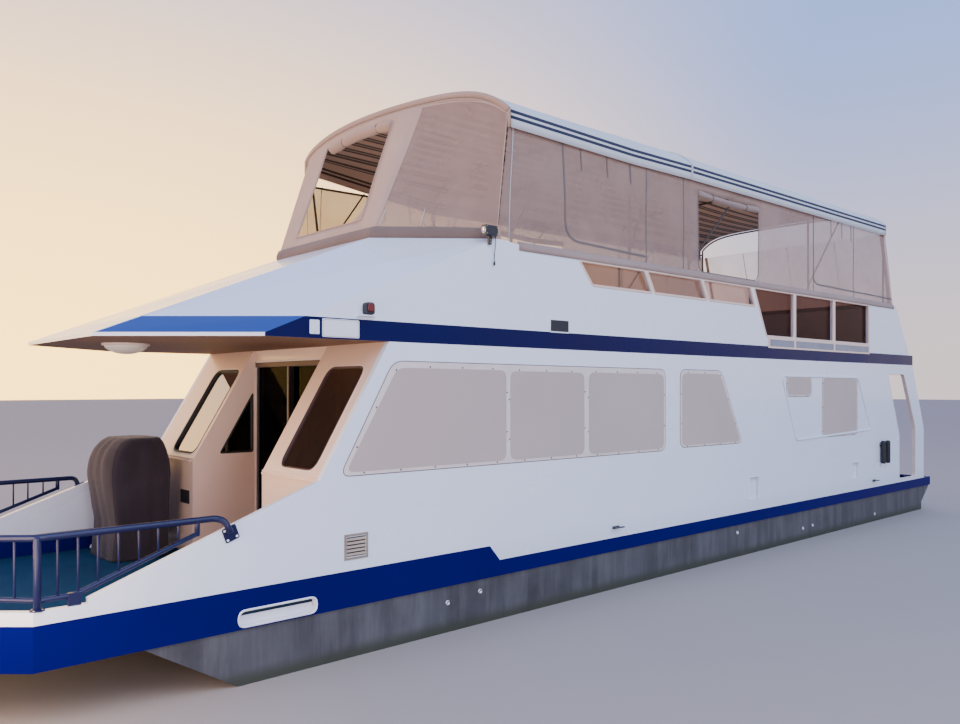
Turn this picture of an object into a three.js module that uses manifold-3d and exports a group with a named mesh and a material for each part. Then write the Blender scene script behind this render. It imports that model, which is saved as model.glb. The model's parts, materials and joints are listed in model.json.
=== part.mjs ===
// Flat-bottomed cabin houseboat with a canopied upper deck, twin stern drives and a railed foredeck.
// Millimetres. +X points to the bow, +Y to port, +Z up. The origin is amidships on the centreline,
// at the waterline.
import * as THREE from 'three';
import { mergeVertices } from 'three/addons/utils/BufferGeometryUtils.js';
import { ConvexGeometry } from 'three/addons/geometries/ConvexGeometry.js';
import Module from 'manifold-3d';

const wasm = await Module();
wasm.setup();

// Driving sizes of the hull and its decks
const GAP = 0.3;
const HALF_BEAM = 1826;
const WALL = 56;
const INNER = HALF_BEAM - WALL;
const STERN_X = -8070;
const BOW_X = 8050;
const BOW_SHOULDER_X = 7070;
const BOW_HALF = 950;
const KEEL_Z = -400;
const BAND_Z = 427;
const BAND_AFT_TOP = 577;
const BAND_FORE_TOP = 727;
const BAND_STEP_X = [3000, 3130];
const BULWARK_TOP = 815;
const WING_TOE_X = 6740;
const DECK_Z = 519;
const HULL_HALF = 1806;

// Driving sizes of the cabin
const CABIN_FRONT_X = 4990;
const SILL_Z = 1490;
const RAKE = 0.5893;
const SOFFIT_Z = 2641;
// How far the recess's two walls stand from the centreline
const RECESS_EDGE = { port: 830, starboard: 700 };
const DOOR_X = 4284;
const DOOR_HALF = 690;
const DOOR_TOP = 2510;
const AFT_BULKHEAD_X = -6000;
const CABIN_AFT_X = -7760;

// Driving sizes of the roof, the fairing and the upper deck
const ROOF_AFT_X = -7233;
const ROOF_TOP = 2815;
const LIP_Z = 2670;
const VISOR_X = 6460;
const VISOR_SHOULDER_X = 5470;
const UPPER_WALL = 50;
const UPPER_FRONT_X = 2950;
const COAMING_TOP = 3680;
const UPPER_SILL = 3345;
const UPPER_TOP = 3660;
const FAIRING_NOSE = { x: 3880, y: 886, z: 3715 };
const FAIRING_SHOULDER_X = 3040;

// Driving sizes of the canopy
const CANOPY_SKIN = 14;
const DROP = 180;

const paint = (color, roughness, metalness = 0) =>
  new THREE.MeshStandardMaterial({ color, roughness, metalness });
const finishes = {
  white: paint(0xe9ebee, 0.35),
  navy: paint(0x14235f, 0.35),
  carpet: paint(0x17344c, 0.95),
  hullMetal: paint(0x5b6167, 0.6, 0.6),
  glass: paint(0x3a3532, 0.1),
  canvas: paint(0xa08f84, 0.9),
  canopy: paint(0xe6e4e0, 0.85),
  steel: paint(0xb9bcc0, 0.25, 0.9),
  dark: paint(0x1c1c20, 0.6),
  cover: paint(0x3f332f, 0.9),
  teak: paint(0xcfc8bc, 0.8),
  bronze: paint(0x8d8f92, 0.3, 0.8),
};

const group = new THREE.Group();

function solidOf(geometry) {
  const bare = geometry.clone();
  bare.deleteAttribute('normal');
  bare.deleteAttribute('uv');
  const merged = mergeVertices(bare, 1e-3);
  return new wasm.Manifold(new wasm.Mesh({
    numProp: 3,
    vertProperties: new Float32Array(merged.attributes.position.array),
    triVerts: new Uint32Array(merged.index.array),
  }));
}

function geometryOf(solid) {
  const mesh = solid.getMesh();
  const geometry = new THREE.BufferGeometry();
  geometry.setAttribute('position', new THREE.BufferAttribute(new Float32Array(mesh.vertProperties), 3));
  geometry.setIndex(new THREE.BufferAttribute(new Uint32Array(mesh.triVerts), 1));
  geometry.computeVertexNormals();
  return geometry;
}

const join = (...solids) => solids.reduce((whole, next) => whole.add(next));
const cut = (body, ...tools) => tools.reduce((left, tool) => left.subtract(tool), body);

function place(name, solid, material) {
  const mesh = new THREE.Mesh(geometryOf(solid), material);
  mesh.name = name;
  group.add(mesh);
}

// Outlines are lists of [across, up] points, extruded along the third axis
function outline(points, radius = 0, arcSteps = 3) {
  const shape = new THREE.Shape();
  if (!radius) {
    shape.setFromPoints(points.map(([u, v]) => new THREE.Vector2(u, v)));
    return shape;
  }
  const corners = points.map(([u, v]) => new THREE.Vector2(u, v));
  const path = [];
  corners.forEach((corner, i) => {
    const before = corners[(i + corners.length - 1) % corners.length];
    const after = corners[(i + 1) % corners.length];
    const start = corner.clone().add(before.clone().sub(corner).setLength(radius));
    const end = corner.clone().add(after.clone().sub(corner).setLength(radius));
    path.push(...new THREE.QuadraticBezierCurve(start, corner, end).getPoints(arcSteps));
  });
  shape.setFromPoints(path);
  return shape;
}

const extrude = (shape, depth) =>
  new THREE.ExtrudeGeometry(shape, { depth, bevelEnabled: false, curveSegments: 4 });

// Side view [x, z], from yLow to yHigh
function sideways(points, yLow, yHigh, radius = 0) {
  const geometry = extrude(outline(points, radius), yHigh - yLow);
  geometry.rotateX(Math.PI / 2);
  geometry.translate(0, yHigh, 0);
  return solidOf(geometry);
}

// Front view [y, z], from xLow to xHigh
function crosswise(points, xLow, xHigh, radius = 0) {
  const geometry = extrude(outline(points, radius), xHigh - xLow);
  const turn = new THREE.Matrix4().makeBasis(
    new THREE.Vector3(0, 1, 0), new THREE.Vector3(0, 0, 1), new THREE.Vector3(1, 0, 0));
  geometry.applyMatrix4(turn);
  geometry.translate(xLow, 0, 0);
  return solidOf(geometry);
}

// Plan view [x, y], from zLow to zHigh
function upright(points, zLow, zHigh, radius = 0) {
  const geometry = extrude(outline(points, radius), zHigh - zLow);
  geometry.translate(0, 0, zLow);
  return solidOf(geometry);
}

function block(x0, x1, y0, y1, z0, z1) {
  const geometry = new THREE.BoxGeometry(x1 - x0, y1 - y0, z1 - z0);
  geometry.translate((x0 + x1) / 2, (y0 + y1) / 2, (z0 + z1) / 2);
  return solidOf(geometry);
}

function hullOfPoints(points) {
  return solidOf(new ConvexGeometry(points.map((p) => new THREE.Vector3(...p))));
}

// A straight round bar between two points
function bar(a, b, radius, sides = 8) {
  const start = new THREE.Vector3(...a);
  const end = new THREE.Vector3(...b);
  const along = end.clone().sub(start);
  const geometry = new THREE.CylinderGeometry(radius, radius, along.length(), sides);
  geometry.applyQuaternion(new THREE.Quaternion().setFromUnitVectors(
    new THREE.Vector3(0, 1, 0), along.clone().normalize()));
  geometry.translate(...start.add(end).multiplyScalar(0.5).toArray());
  return solidOf(geometry);
}

// A bent tube through a list of points, mitred at each bend
function pipe(points, radius, sides = 8) {
  const stops = points.map((p) => new THREE.Vector3(...p));
  const runs = stops.slice(1).map((p, i) => p.clone().sub(stops[i]).normalize());
  const spare = Math.abs(runs[0].z) > 0.9 ? new THREE.Vector3(1, 0, 0) : new THREE.Vector3(0, 0, 1);
  const first = runs[0].clone().cross(spare).normalize();
  const second = runs[0].clone().cross(first);
  let spokes = Array.from({ length: sides }, (_, i) => {
    const turn = i * 2 * Math.PI / sides;
    const across = first.clone().multiplyScalar(radius * Math.cos(turn));
    return across.addScaledVector(second, radius * Math.sin(turn));
  });
  const rings = stops.map((stop, i) => {
    const into = runs[Math.max(i - 1, 0)];
    const out = runs[Math.min(i, runs.length - 1)];
    const mitre = into.clone().add(out).normalize();
    const ring = spokes.map((v) => v.clone().addScaledVector(into, -v.dot(mitre) / into.dot(mitre)));
    spokes = ring.map((v) => v.clone().addScaledVector(out, -v.dot(out)));
    return ring.map((v) => v.add(stop));
  });
  const positions = rings.flat().concat([stops[0], stops[stops.length - 1]]);
  const [startHub, endHub] = [rings.length * sides, rings.length * sides + 1];
  const last = (rings.length - 1) * sides;
  const index = [];
  for (let i = 0; i < sides; i += 1) {
    const next = (i + 1) % sides;
    for (let at = 0; at < last; at += sides) {
      index.push(at + i, at + next, at + sides + i, at + next, at + sides + next, at + sides + i);
    }
    index.push(startHub, next, i, endHub, last + i, last + next);
  }
  const geometry = new THREE.BufferGeometry().setFromPoints(positions);
  geometry.setIndex(index);
  return solidOf(geometry);
}

// A closed skin through cross-sections with the same count of points, capped at both ends
function loft(sections) {
  const section = sections[0].map(([, y, z]) => new THREE.Vector2(y, z));
  const turned = THREE.ShapeUtils.isClockWise(section);
  const rings = turned ? sections.map((ring) => [...ring].reverse()) : sections;
  const cap = turned ? [...section].reverse() : section;
  const count = cap.length;
  const last = (rings.length - 1) * count;
  const index = [];
  for (let start = 0; start < last; start += count) {
    for (let i = 0; i < count; i += 1) {
      const a = start + i;
      const b = start + (i + 1) % count;
      index.push(b, a, a + count, b, a + count, b + count);
    }
  }
  THREE.ShapeUtils.triangulateShape(cap, []).forEach(([a, b, c]) => {
    index.push(a, b, c, last + a, last + c, last + b);
  });
  const geometry = new THREE.BufferGeometry();
  geometry.setAttribute('position', new THREE.Float32BufferAttribute(rings.flat(2), 3));
  geometry.setIndex(index);
  return solidOf(geometry);
}

const mirrored = (points) => points.map(([x, y, ...rest]) => [x, -y, ...rest]);
const SIDES = [['port', 1], ['starboard', -1]];
// A cutting solid reaches this far past the faces that it cuts, and this far to each side
const PAST = 10;
const WIDE = 2000;
const onSide = (sign, low, high) => (sign > 0 ? [low, high] : [-high, -low]);

// Deck outline, drawn in from the outer edge by an inset
function deckOutline(inset) {
  const dx = BOW_X - BOW_SHOULDER_X;
  const dy = HALF_BEAM - BOW_HALF;
  const length = Math.hypot(dx, dy);
  const shoulder = BOW_SHOULDER_X - inset * (length - dx) / dy;
  const corner = BOW_HALF - inset * (length - dy) / dx;
  const port = [
    [STERN_X + inset, HALF_BEAM - inset], [shoulder, HALF_BEAM - inset], [BOW_X - inset, corner],
  ];
  return [...mirrored(port), ...port.reverse()];
}

// A wall that follows the deck outline
const deckRing = (low, high) =>
  cut(upright(deckOutline(0), low, high), upright(deckOutline(WALL), low - PAST, high + PAST));

// Hull: a flat-bottomed scow, raked at the bow, with an open well for the engines
const WELL = { x0: -7600, x1: -6450, y: 1150, floor: -330 };
const HATCH = { x0: -7480, x1: -6560, y: 520, lid: 28, lip: 25, sunk: 2 };
const HULL_SIDE = [
  [-7700, KEEL_Z], [5023, KEEL_Z], [6380, BAND_Z - GAP], [STERN_X, BAND_Z - GAP], [-7700, 140],
];
{
  const shell = sideways(HULL_SIDE, -HULL_HALF, HULL_HALF);
  const well = block(WELL.x0, WELL.x1, -WELL.y, WELL.y, WELL.floor, BAND_Z + PAST);
  place('hull', cut(shell, well), finishes.hullMetal);
}

// Gunwale band: a ring round the decks, taller forward, with a scupper slot each side
const SLOT = [[5020, 447], [5680, 447], [5680, 565], [5020, 565]];
const SLOT_RADIUS = 40;
const STERN_GAP_HALF = 1150;
{
  const low = block(STERN_X - PAST, BAND_STEP_X[0], -WIDE, WIDE, BAND_AFT_TOP, BAND_FORE_TOP + PAST);
  const step = sideways([
    [BAND_STEP_X[0], BAND_AFT_TOP],
    [BAND_STEP_X[1], BAND_FORE_TOP + GAP],
    [BAND_STEP_X[0], BAND_FORE_TOP + GAP],
  ], -WIDE, WIDE);
  const sternGap = block(
    STERN_X - PAST, STERN_X + WALL + PAST, -STERN_GAP_HALF, STERN_GAP_HALF, DECK_Z, BAND_FORE_TOP);
  const slots = SIDES.map(([, sign]) =>
    sideways(SLOT, ...onSide(sign, INNER - PAST, HALF_BEAM + PAST), SLOT_RADIUS));
  const ring = deckRing(BAND_Z, BAND_FORE_TOP);
  place('gunwale_band', cut(ring, low, step, sternGap, ...slots), finishes.navy);
}

// White bulwark cap round the bow, with a gap for the gate
const GATE_HALF = 450;
{
  const top = BULWARK_TOP + PAST;
  const aft = block(STERN_X - PAST, WING_TOE_X + GAP, -WIDE, WIDE, BAND_FORE_TOP, top);
  const gate = block(BOW_X - 2 * WALL, BOW_X + PAST, -GATE_HALF, GATE_HALF, BAND_FORE_TOP, top);
  const halves = cut(deckRing(BAND_FORE_TOP + GAP, BULWARK_TOP), aft, gate);
  SIDES.forEach(([side, sign]) => {
    const half = block(WING_TOE_X, BOW_X + PAST, ...onSide(sign, 1, WIDE), 0, WIDE);
    place(`bulwark_${side}`, halves.intersect(half), finishes.white);
  });
}

// Decks inside the band: blue carpet forward, cabin sole and open aft deck behind
const RIM = WALL + GAP;
{
  const slab = upright(deckOutline(RIM), BAND_Z + GAP, DECK_Z);
  place('foredeck', slab.intersect(block(DOOR_X + GAP, BOW_X, -WIDE, WIDE, 0, WIDE)), finishes.carpet);
  const aft = slab.intersect(block(STERN_X, DOOR_X, -WIDE, WIDE, 0, WIDE));
  const { x0, x1, y, lid, lip, sunk } = HATCH;
  const rebate = block(x0, x1, -y, y, DECK_Z - lid - sunk - GAP, WIDE);
  const manhole = block(x0 + lip, x1 - lip, -y + lip, y - lip, 0, WIDE);
  place('main_deck', cut(aft, rebate, manhole), finishes.teak);
}

// Side walls, with the wing walls that slope down to the bow and the boarding openings aft
// Windows: [name, top aft x, top fore x, bottom aft x, bottom fore x, bottom z, top z]
const WINDOWS = [
  ['saloon_1', 2920, 4200, 2920, 4700, 1520, 2451],
  ['saloon_2', 1750, 2870, 1750, 2870, 1520, 2451],
  ['saloon_3', 345, 1700, 345, 1700, 1520, 2451],
  ['saloon_4', -896, -22, -1326, -22, 1520, 2451],
  ['galley', -3360, -2640, -3360, -2640, 2124, 2402],
  ['aft_cabin', -4920, -3740, -4920, -3740, 1500, 2402],
];
const WINDOW_RADIUS = 90;
const windowOutline = ([, topAft, topFore, bottomAft, bottomFore, low, high], inset = 0) => [
  [bottomAft + inset, low + inset], [bottomFore - inset, low + inset],
  [topFore - inset, high - inset], [topAft + inset, high - inset],
];
const WING = [
  [WING_TOE_X, BAND_FORE_TOP + GAP], [WING_TOE_X, 850], [5825, 1185], [CABIN_FRONT_X, 1494],
  [4311, SOFFIT_Z - GAP],
];
const SIDE_WALL = [
  [CABIN_AFT_X, BAND_AFT_TOP + GAP], [BAND_STEP_X[0] - GAP, BAND_AFT_TOP + GAP],
  [BAND_STEP_X[1] - GAP, BAND_FORE_TOP + GAP], ...WING, [ROOF_AFT_X, SOFFIT_Z - GAP], [CABIN_AFT_X, 1492],
];
const BOARDING = [
  [-7360, 630], [-6640, 634], [-6640, 1417], [-6150, 2466], [-6840, 2474], [-7364, 1508],
];
const POCKETS = [[-1860, -1615, 738, 1028], [-5000, -4750, 776, 1032]];
const POCKET_DEPTH = 40;
const BOARDING_RADIUS = 40;
// The joint behind the aft bulkhead, where the cabin's wall meets the stern porch's
const PORCH_SEAM_X = -6030;
SIDES.forEach(([side, sign]) => {
  const skin = sideways(SIDE_WALL, ...onSide(sign, INNER, HALF_BEAM));
  const through = onSide(sign, INNER - PAST, HALF_BEAM + PAST);
  const windows = WINDOWS.map((row) => sideways(windowOutline(row), ...through, WINDOW_RADIUS));
  const boarding = sideways(BOARDING, ...through, BOARDING_RADIUS);
  const pockets = POCKETS.map(([x0, x1, z0, z1]) =>
    block(x0, x1, ...onSide(sign, HALF_BEAM - POCKET_DEPTH, HALF_BEAM + PAST), z0, z1));
  const aft = block(STERN_X - PAST, PORCH_SEAM_X, -WIDE, WIDE, 0, SOFFIT_Z + PAST);
  const fore = block(PORCH_SEAM_X - GAP, BOW_X + PAST, -WIDE, WIDE, 0, SOFFIT_Z + PAST);
  place(`side_wall_${side}`, cut(skin, aft, ...windows, ...pockets), finishes.white);
  place(`porch_wall_${side}`, cut(skin, fore, boarding), finishes.white);
});

// Side glazing: one inner casing a side, with a plug in each window
const CASING = [[-5040, 1430], [4790, 1430], [4215, 2520], [-5040, 2520]];
const CASING_DEPTH = 12;
const PLUG_RECESS = 16;
SIDES.forEach(([side, sign]) => {
  const casing = sideways(CASING, ...onSide(sign, INNER - CASING_DEPTH, INNER - GAP));
  const plugs = WINDOWS.map((row) => sideways(
    windowOutline(row, GAP), ...onSide(sign, INNER - 4, HALF_BEAM - PLUG_RECESS), WINDOW_RADIUS));
  place(`side_windows_${side}`, join(casing, ...plugs), finishes.glass);
});

// Front quarters: a low front wall, a raked window wall and the side of the door recess
const RAKE_TOP_X = CABIN_FRONT_X - (SOFFIT_Z - GAP - SILL_Z) * RAKE;
const RAKE_DEPTH = 58;
const FRONT_WALL = 50;
const RECESS_WALL = 40;
const RAKED_WINDOW = { z0: 1560, z1: 2430, radius: 60, port: [1070, 1660], starboard: [760, 1350] };
const RECESS_WINDOW = [[4320, 1550], [4690, 1550], [4320, 2180]];
const PANE = { z0: 1520, z1: 2500, outer: 1720, thick: 8, clear: 0.5 };
const rakeX = (z, back) => CABIN_FRONT_X - (z - SILL_Z) * RAKE - back;
SIDES.forEach(([side, sign]) => {
  const edge = RECESS_EDGE[side];
  const span = onSide(sign, edge, INNER - GAP);
  const front = block(CABIN_FRONT_X - FRONT_WALL, CABIN_FRONT_X, ...span, DECK_Z + GAP, SILL_Z + 20);
  const raked = sideways([
    [rakeX(SILL_Z, RAKE_DEPTH), SILL_Z], [CABIN_FRONT_X, SILL_Z], [RAKE_TOP_X, SOFFIT_Z - GAP],
    [RAKE_TOP_X - RAKE_DEPTH, SOFFIT_Z - GAP],
  ], ...span);
  const recess = sideways([
    [DOOR_X + GAP, DECK_Z + GAP], [CABIN_FRONT_X, DECK_Z + GAP], [CABIN_FRONT_X, SILL_Z],
    [RAKE_TOP_X, SOFFIT_Z - GAP], [DOOR_X + GAP, SOFFIT_Z - GAP],
  ], ...onSide(sign, edge, edge + RECESS_WALL));
  const { z0, z1, radius } = RAKED_WINDOW;
  const [y0, y1] = RAKED_WINDOW[side];
  const corners = [[y0, z0], [y1, z0], [y1, z1], [y0, z1]].map(([y, z]) => [sign * y, z]);
  const window = crosswise(corners, DOOR_X - 84, CABIN_FRONT_X + 210, radius);
  const recessWindow = sideways(RECESS_WINDOW, ...onSide(sign, edge - 30, edge + 70));
  const bulkheadSpace = block(DOOR_X - 284, DOOR_X + GAP, ...onSide(sign, 0, edge + RECESS_WALL + 1), 0, 3000);
  const shell = cut(join(front, raked, recess), window, recessWindow, bulkheadSpace);
  place(`front_quarter_${side}`, shell, finishes.white);

  const near = RAKE_DEPTH + PANE.clear;
  const far = near + PANE.thick + PANE.clear;
  const pane = sideways([
    [rakeX(PANE.z0, far), PANE.z0], [rakeX(PANE.z0, near), PANE.z0],
    [rakeX(PANE.z1, near), PANE.z1], [rakeX(PANE.z1, far), PANE.z1],
  ], ...onSide(sign, edge + RECESS_WALL + GAP, PANE.outer));
  const recessPane = sideways([
    [DOOR_X + 6, PANE.z0], [rakeX(PANE.z0, near + 1.5), PANE.z0],
    [rakeX(PANE.z1, near + 1.5), PANE.z1], [DOOR_X + 6, PANE.z1],
  ], ...onSide(sign, edge + RECESS_WALL + GAP, edge + RECESS_WALL + PANE.thick));
  place(`front_glass_${side}`, join(pane, recessPane), finishes.glass);
});

// Front bulkhead round the doorway, with a sliding leaf behind a fixed one
const BULKHEAD_DEPTH = 90;
{
  const ends = [-RECESS_EDGE.starboard - RECESS_WALL, RECESS_EDGE.port + RECESS_WALL];
  const face = block(DOOR_X - BULKHEAD_DEPTH, DOOR_X, ...ends, DECK_Z + GAP, SOFFIT_Z - GAP);
  const opening = block(
    DOOR_X - BULKHEAD_DEPTH - PAST, DOOR_X + PAST, -DOOR_HALF, DOOR_HALF, 0, DOOR_TOP);
  place('front_bulkhead', cut(face, opening), finishes.white);
}
// A glazed leaf in a frame, across the boat: frame bars and one thin pane
function glazedLeaf(x0, x1, y0, y1, z0, z1, frameWidth) {
  const middle = (x0 + x1) / 2;
  const frame = cut(
    block(x0, x1, y0, y1, z0, z1),
    block(x0 - 5, x1 + 5, y0 + frameWidth, y1 - frameWidth, z0 + frameWidth, z1 - frameWidth));
  return join(frame, block(middle - 4, middle + 4, y0 + 5, y1 - 5, z0 + 5, z1 - 5));
}
// Leaves: how far each one's two faces lie behind the bulkhead's front, and its frame's width
const LEAF = { clear: 5, frame: 45, fixed: [38, 8], sliding: [80, 50], overlap: 20, shoes: [60, 540] };
place('door_fixed_leaf', glazedLeaf(
  DOOR_X - LEAF.fixed[0], DOOR_X - LEAF.fixed[1], -DOOR_HALF + GAP, LEAF.overlap,
  DECK_Z + GAP, DOOR_TOP - GAP, LEAF.frame), finishes.dark);
{
  const leaf = glazedLeaf(
    DOOR_X - LEAF.sliding[0], DOOR_X - LEAF.sliding[1], -LEAF.overlap - LEAF.clear, DOOR_HALF - LEAF.clear,
    DECK_Z + LEAF.clear, DOOR_TOP - LEAF.clear, LEAF.frame);
  const shoes = LEAF.shoes.map((y) =>
    block(DOOR_X - 75, DOOR_X - 55, y, y + 60, DECK_Z + 2 * GAP, DECK_Z + 20));
  place('door_sliding_leaf', join(leaf, ...shoes), finishes.dark);
}

// Barrel hinges: knuckles of one side, with webs to the face that they are screwed to
function knuckles(axisPoint, along, spans, radius, web) {
  return spans.map(([from, to]) => {
    const a = axisPoint.map((v, i) => v + along[i] * from);
    const b = axisPoint.map((v, i) => v + along[i] * to);
    const low = a.map((v, i) => Math.min(v, b[i], v + web[i]));
    const high = a.map((v, i) => Math.max(v, b[i], v + web[i]));
    along.forEach((v, i) => {
      if (v) return;
      const thin = web[i] ? 0 : 3;
      low[i] -= thin;
      high[i] += thin;
    });
    return join(bar(a, b, radius, 10), block(low[0], high[0], low[1], high[1], low[2], high[2]));
  });
}

// Each pair of knuckles on an upright pin: the fixed one below, the moving one above
const KNUCKLE = 39.6;
const KNUCKLE_STEP = 40.4;

// Aft bulkhead with a hinged door that swings out onto the aft deck
const AFT_WALL = 50;
const AFT_DOOR = { y0: -1250, y1: -600, top: 2450, thick: 40, frame: 110, hinges: [700, 2200] };
const AFT_HINGE = [AFT_BULKHEAD_X - 60, AFT_DOOR.y0, 0];
{
  const face = block(
    AFT_BULKHEAD_X - AFT_WALL, AFT_BULKHEAD_X, -INNER + GAP, INNER - GAP, DECK_Z + GAP, SOFFIT_Z - GAP);
  const opening = block(
    AFT_BULKHEAD_X - AFT_WALL - PAST, AFT_BULKHEAD_X + PAST, AFT_DOOR.y0, AFT_DOOR.y1, 0, AFT_DOOR.top);
  const fixed = AFT_DOOR.hinges.flatMap((z) => knuckles(
    AFT_HINGE, [0, 0, 1], [[z, z + KNUCKLE]], 7, [12, -6, 0]));
  place('aft_bulkhead', join(cut(face, opening), ...fixed), finishes.white);
  const leaf = glazedLeaf(
    AFT_BULKHEAD_X - 6 - AFT_DOOR.thick, AFT_BULKHEAD_X - 6, AFT_DOOR.y0 + 6, AFT_DOOR.y1 - LEAF.clear,
    DECK_Z + 8, AFT_DOOR.top - LEAF.clear, AFT_DOOR.frame);
  const moving = AFT_DOOR.hinges.flatMap((z) => knuckles(
    AFT_HINGE, [0, 0, 1], [[z + KNUCKLE_STEP, z + KNUCKLE_STEP + KNUCKLE]], 7, [20, 12, 0]));
  place('aft_door', join(leaf, ...moving), finishes.white);
}

// Roof slab with a faceted visor; the facets rise aft from a low lip
const FACET = (COAMING_TOP - LIP_Z) / (VISOR_SHOULDER_X - FAIRING_SHOULDER_X);
const sideFacetX = (z) => VISOR_SHOULDER_X - (z - LIP_Z) / FACET;
const ridge = (z) => {
  const share = (z - LIP_Z) / (FAIRING_NOSE.z - LIP_Z);
  return [VISOR_X + (FAIRING_NOSE.x - VISOR_X) * share, BOW_HALF + (FAIRING_NOSE.y - BOW_HALF) * share, z];
};
const bothSides = (points) => [...points, ...mirrored(points)];
place('roof', hullOfPoints(bothSides([
  [ROOF_AFT_X, HALF_BEAM, SOFFIT_Z], [VISOR_SHOULDER_X, HALF_BEAM, SOFFIT_Z], [VISOR_X, BOW_HALF, SOFFIT_Z],
  [VISOR_SHOULDER_X, HALF_BEAM, LIP_Z], [VISOR_X, BOW_HALF, LIP_Z],
  [ROOF_AFT_X, HALF_BEAM, ROOF_TOP], [sideFacetX(ROOF_TOP), HALF_BEAM, ROOF_TOP], ridge(ROOF_TOP),
])), finishes.white);

// Fairing: the facets carried up to the coaming, open behind for the upper helm
{
  const base = ROOF_TOP + GAP;
  const solid = hullOfPoints(bothSides([
    [UPPER_FRONT_X, HALF_BEAM, base], [sideFacetX(base), HALF_BEAM, base], ridge(base),
    [FAIRING_NOSE.x, FAIRING_NOSE.y, FAIRING_NOSE.z], [FAIRING_SHOULDER_X, HALF_BEAM, COAMING_TOP],
    [UPPER_FRONT_X, HALF_BEAM, COAMING_TOP],
  ]));
  const helmWell = [[UPPER_FRONT_X - 50, 1700], [3010, 1700], [3740, 830]];
  const space = upright([...mirrored(helmWell), ...helmWell.reverse()], ROOF_TOP, 4000);
  place('fairing', cut(solid, space), finishes.white);
}

// Upper side walls with glazed openings
// Openings: [bottom aft x, bottom fore x, top fore x, top aft x, bottom z, top z]
const UPPER_OPENINGS = [
  [545, 1625, 1840, 700, UPPER_SILL, 3600],
  [-600, 505, 660, -460, UPPER_SILL, 3600],
  [-1760, -640, -500, -1640, UPPER_SILL, 3600],
  [-2845, -2060, -1725, -2845, 2950, 3600],
  [-4095, -2885, -2885, -4095, 2950, 3600],
  [-5385, -4137, -4137, -5385, 2950, 3600],
];
const LOW_STRIP = [-5385, -2110, 2850, 2912];
const AFT_TOP_X = -6490;
const AFT_FOOT_X = -7080;
const UPPER_SIDE = [
  [UPPER_FRONT_X - GAP, ROOF_TOP + GAP], [UPPER_FRONT_X - GAP, COAMING_TOP], [2780, UPPER_TOP],
  [AFT_TOP_X, UPPER_TOP], [AFT_FOOT_X, ROOF_TOP + GAP],
];
const UPPER_GLASS = [
  [1700, 3300], [1960, 3630], [-5430, 3630], [-5430, 2832], [-2010, 2832], [-1760, 3300],
];
SIDES.forEach(([side, sign]) => {
  const skin = sideways(UPPER_SIDE, ...onSide(sign, HALF_BEAM - UPPER_WALL, HALF_BEAM));
  const through = onSide(sign, HALF_BEAM - UPPER_WALL - PAST, HALF_BEAM + PAST);
  const openings = UPPER_OPENINGS.map(([aft, fore, topFore, topAft, low, high]) =>
    sideways([[aft, low], [fore, low], [topFore, high], [topAft, high]], ...through, 14));
  const [x0, x1, z0, z1] = LOW_STRIP;
  place(`upper_wall_${side}`, cut(skin, ...openings, block(x0, x1, ...through, z0, z1)), finishes.white);
  const inner = HALF_BEAM - UPPER_WALL - GAP;
  place(`upper_glass_${side}`, sideways(UPPER_GLASS, ...onSide(sign, inner - 6, inner)), finishes.glass);
});

// Upper aft wall, raked, with a gap at the head of the ladder
const LADDER = { y0: -1600, y1: -1050, gapFoot: 2900 };
{
  const half = HALF_BEAM - UPPER_WALL - GAP;
  const wall = sideways([
    [AFT_FOOT_X, ROOF_TOP + GAP], [AFT_FOOT_X + UPPER_WALL, ROOF_TOP + GAP],
    [AFT_TOP_X + UPPER_WALL, UPPER_TOP], [AFT_TOP_X, UPPER_TOP],
  ], -half, half);
  const gap = block(AFT_FOOT_X - 120, AFT_TOP_X + 190, LADDER.y0, LADDER.y1, LADDER.gapFoot, 4000);
  place('upper_aft_wall', cut(wall, gap), finishes.white);
}

// Canopy: one skin over five bows; [x, valance bottom z, crown z]
const BOWS = [
  [2850, 4757, 5270],
  [930, 4790, 5290],
  [-260, 4812, 5300],
  [-3370, 4825, 5310],
  [-6070, 4836, 5300],
];
const FRONT_REACH = 330;
const FRONT_SKEW = 170;
const ARCH_STEPS = 12;
const SHOULDER_POWER = 8;
const CROWN_FALL = 40;
// Height of the roof cloth over a bow at a distance from the centreline
function archZ(y, valance, crown) {
  const share = Math.abs(y) / HALF_BEAM;
  const edge = valance + DROP;
  return crown - CROWN_FALL * share ** 2 - (crown - CROWN_FALL - edge) * share ** SHOULDER_POWER;
}
// Stations across the boat, closer together at the shoulders
const acrossStations = Array.from(
  { length: ARCH_STEPS + 1 }, (_, i) => Math.sin((i / ARCH_STEPS - 0.5) * Math.PI));
// How far the front bow bulges forward, and further still towards starboard
const frontX = (y, first) => (first
  ? FRONT_REACH * (1 - (y / HALF_BEAM) ** 2) + FRONT_SKEW * (1 - y / HALF_BEAM) / 2 : 0);
function bowLine(row, inset, low = 0) {
  const [x, valance, crown] = row;
  const first = row === BOWS[0];
  const half = HALF_BEAM - inset;
  const top = acrossStations.map((s) =>
    [x + frontX(s * half, first), s * half, archZ(s * half, valance, crown) - inset]);
  return [[x, -half, valance + low], ...top, [x, half, valance + low]];
}
const canopyRings = BOWS.map((row) => [...bowLine(row, 0), ...bowLine(row, CANOPY_SKIN).reverse()]);
place('canopy_top', loft(canopyRings), finishes.canopy);

// Canopy frame: bows, legs, a rail along each shoulder, and braces
const TUBE = 15;
const BRACE_TUBE = 11;
const BRACE_REACH = 0.4;
const FRAME_HALF = HALF_BEAM - 50;
const FRONT_BOW_BACK = 70;
const SHOULDER_CLEAR = 16;
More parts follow.
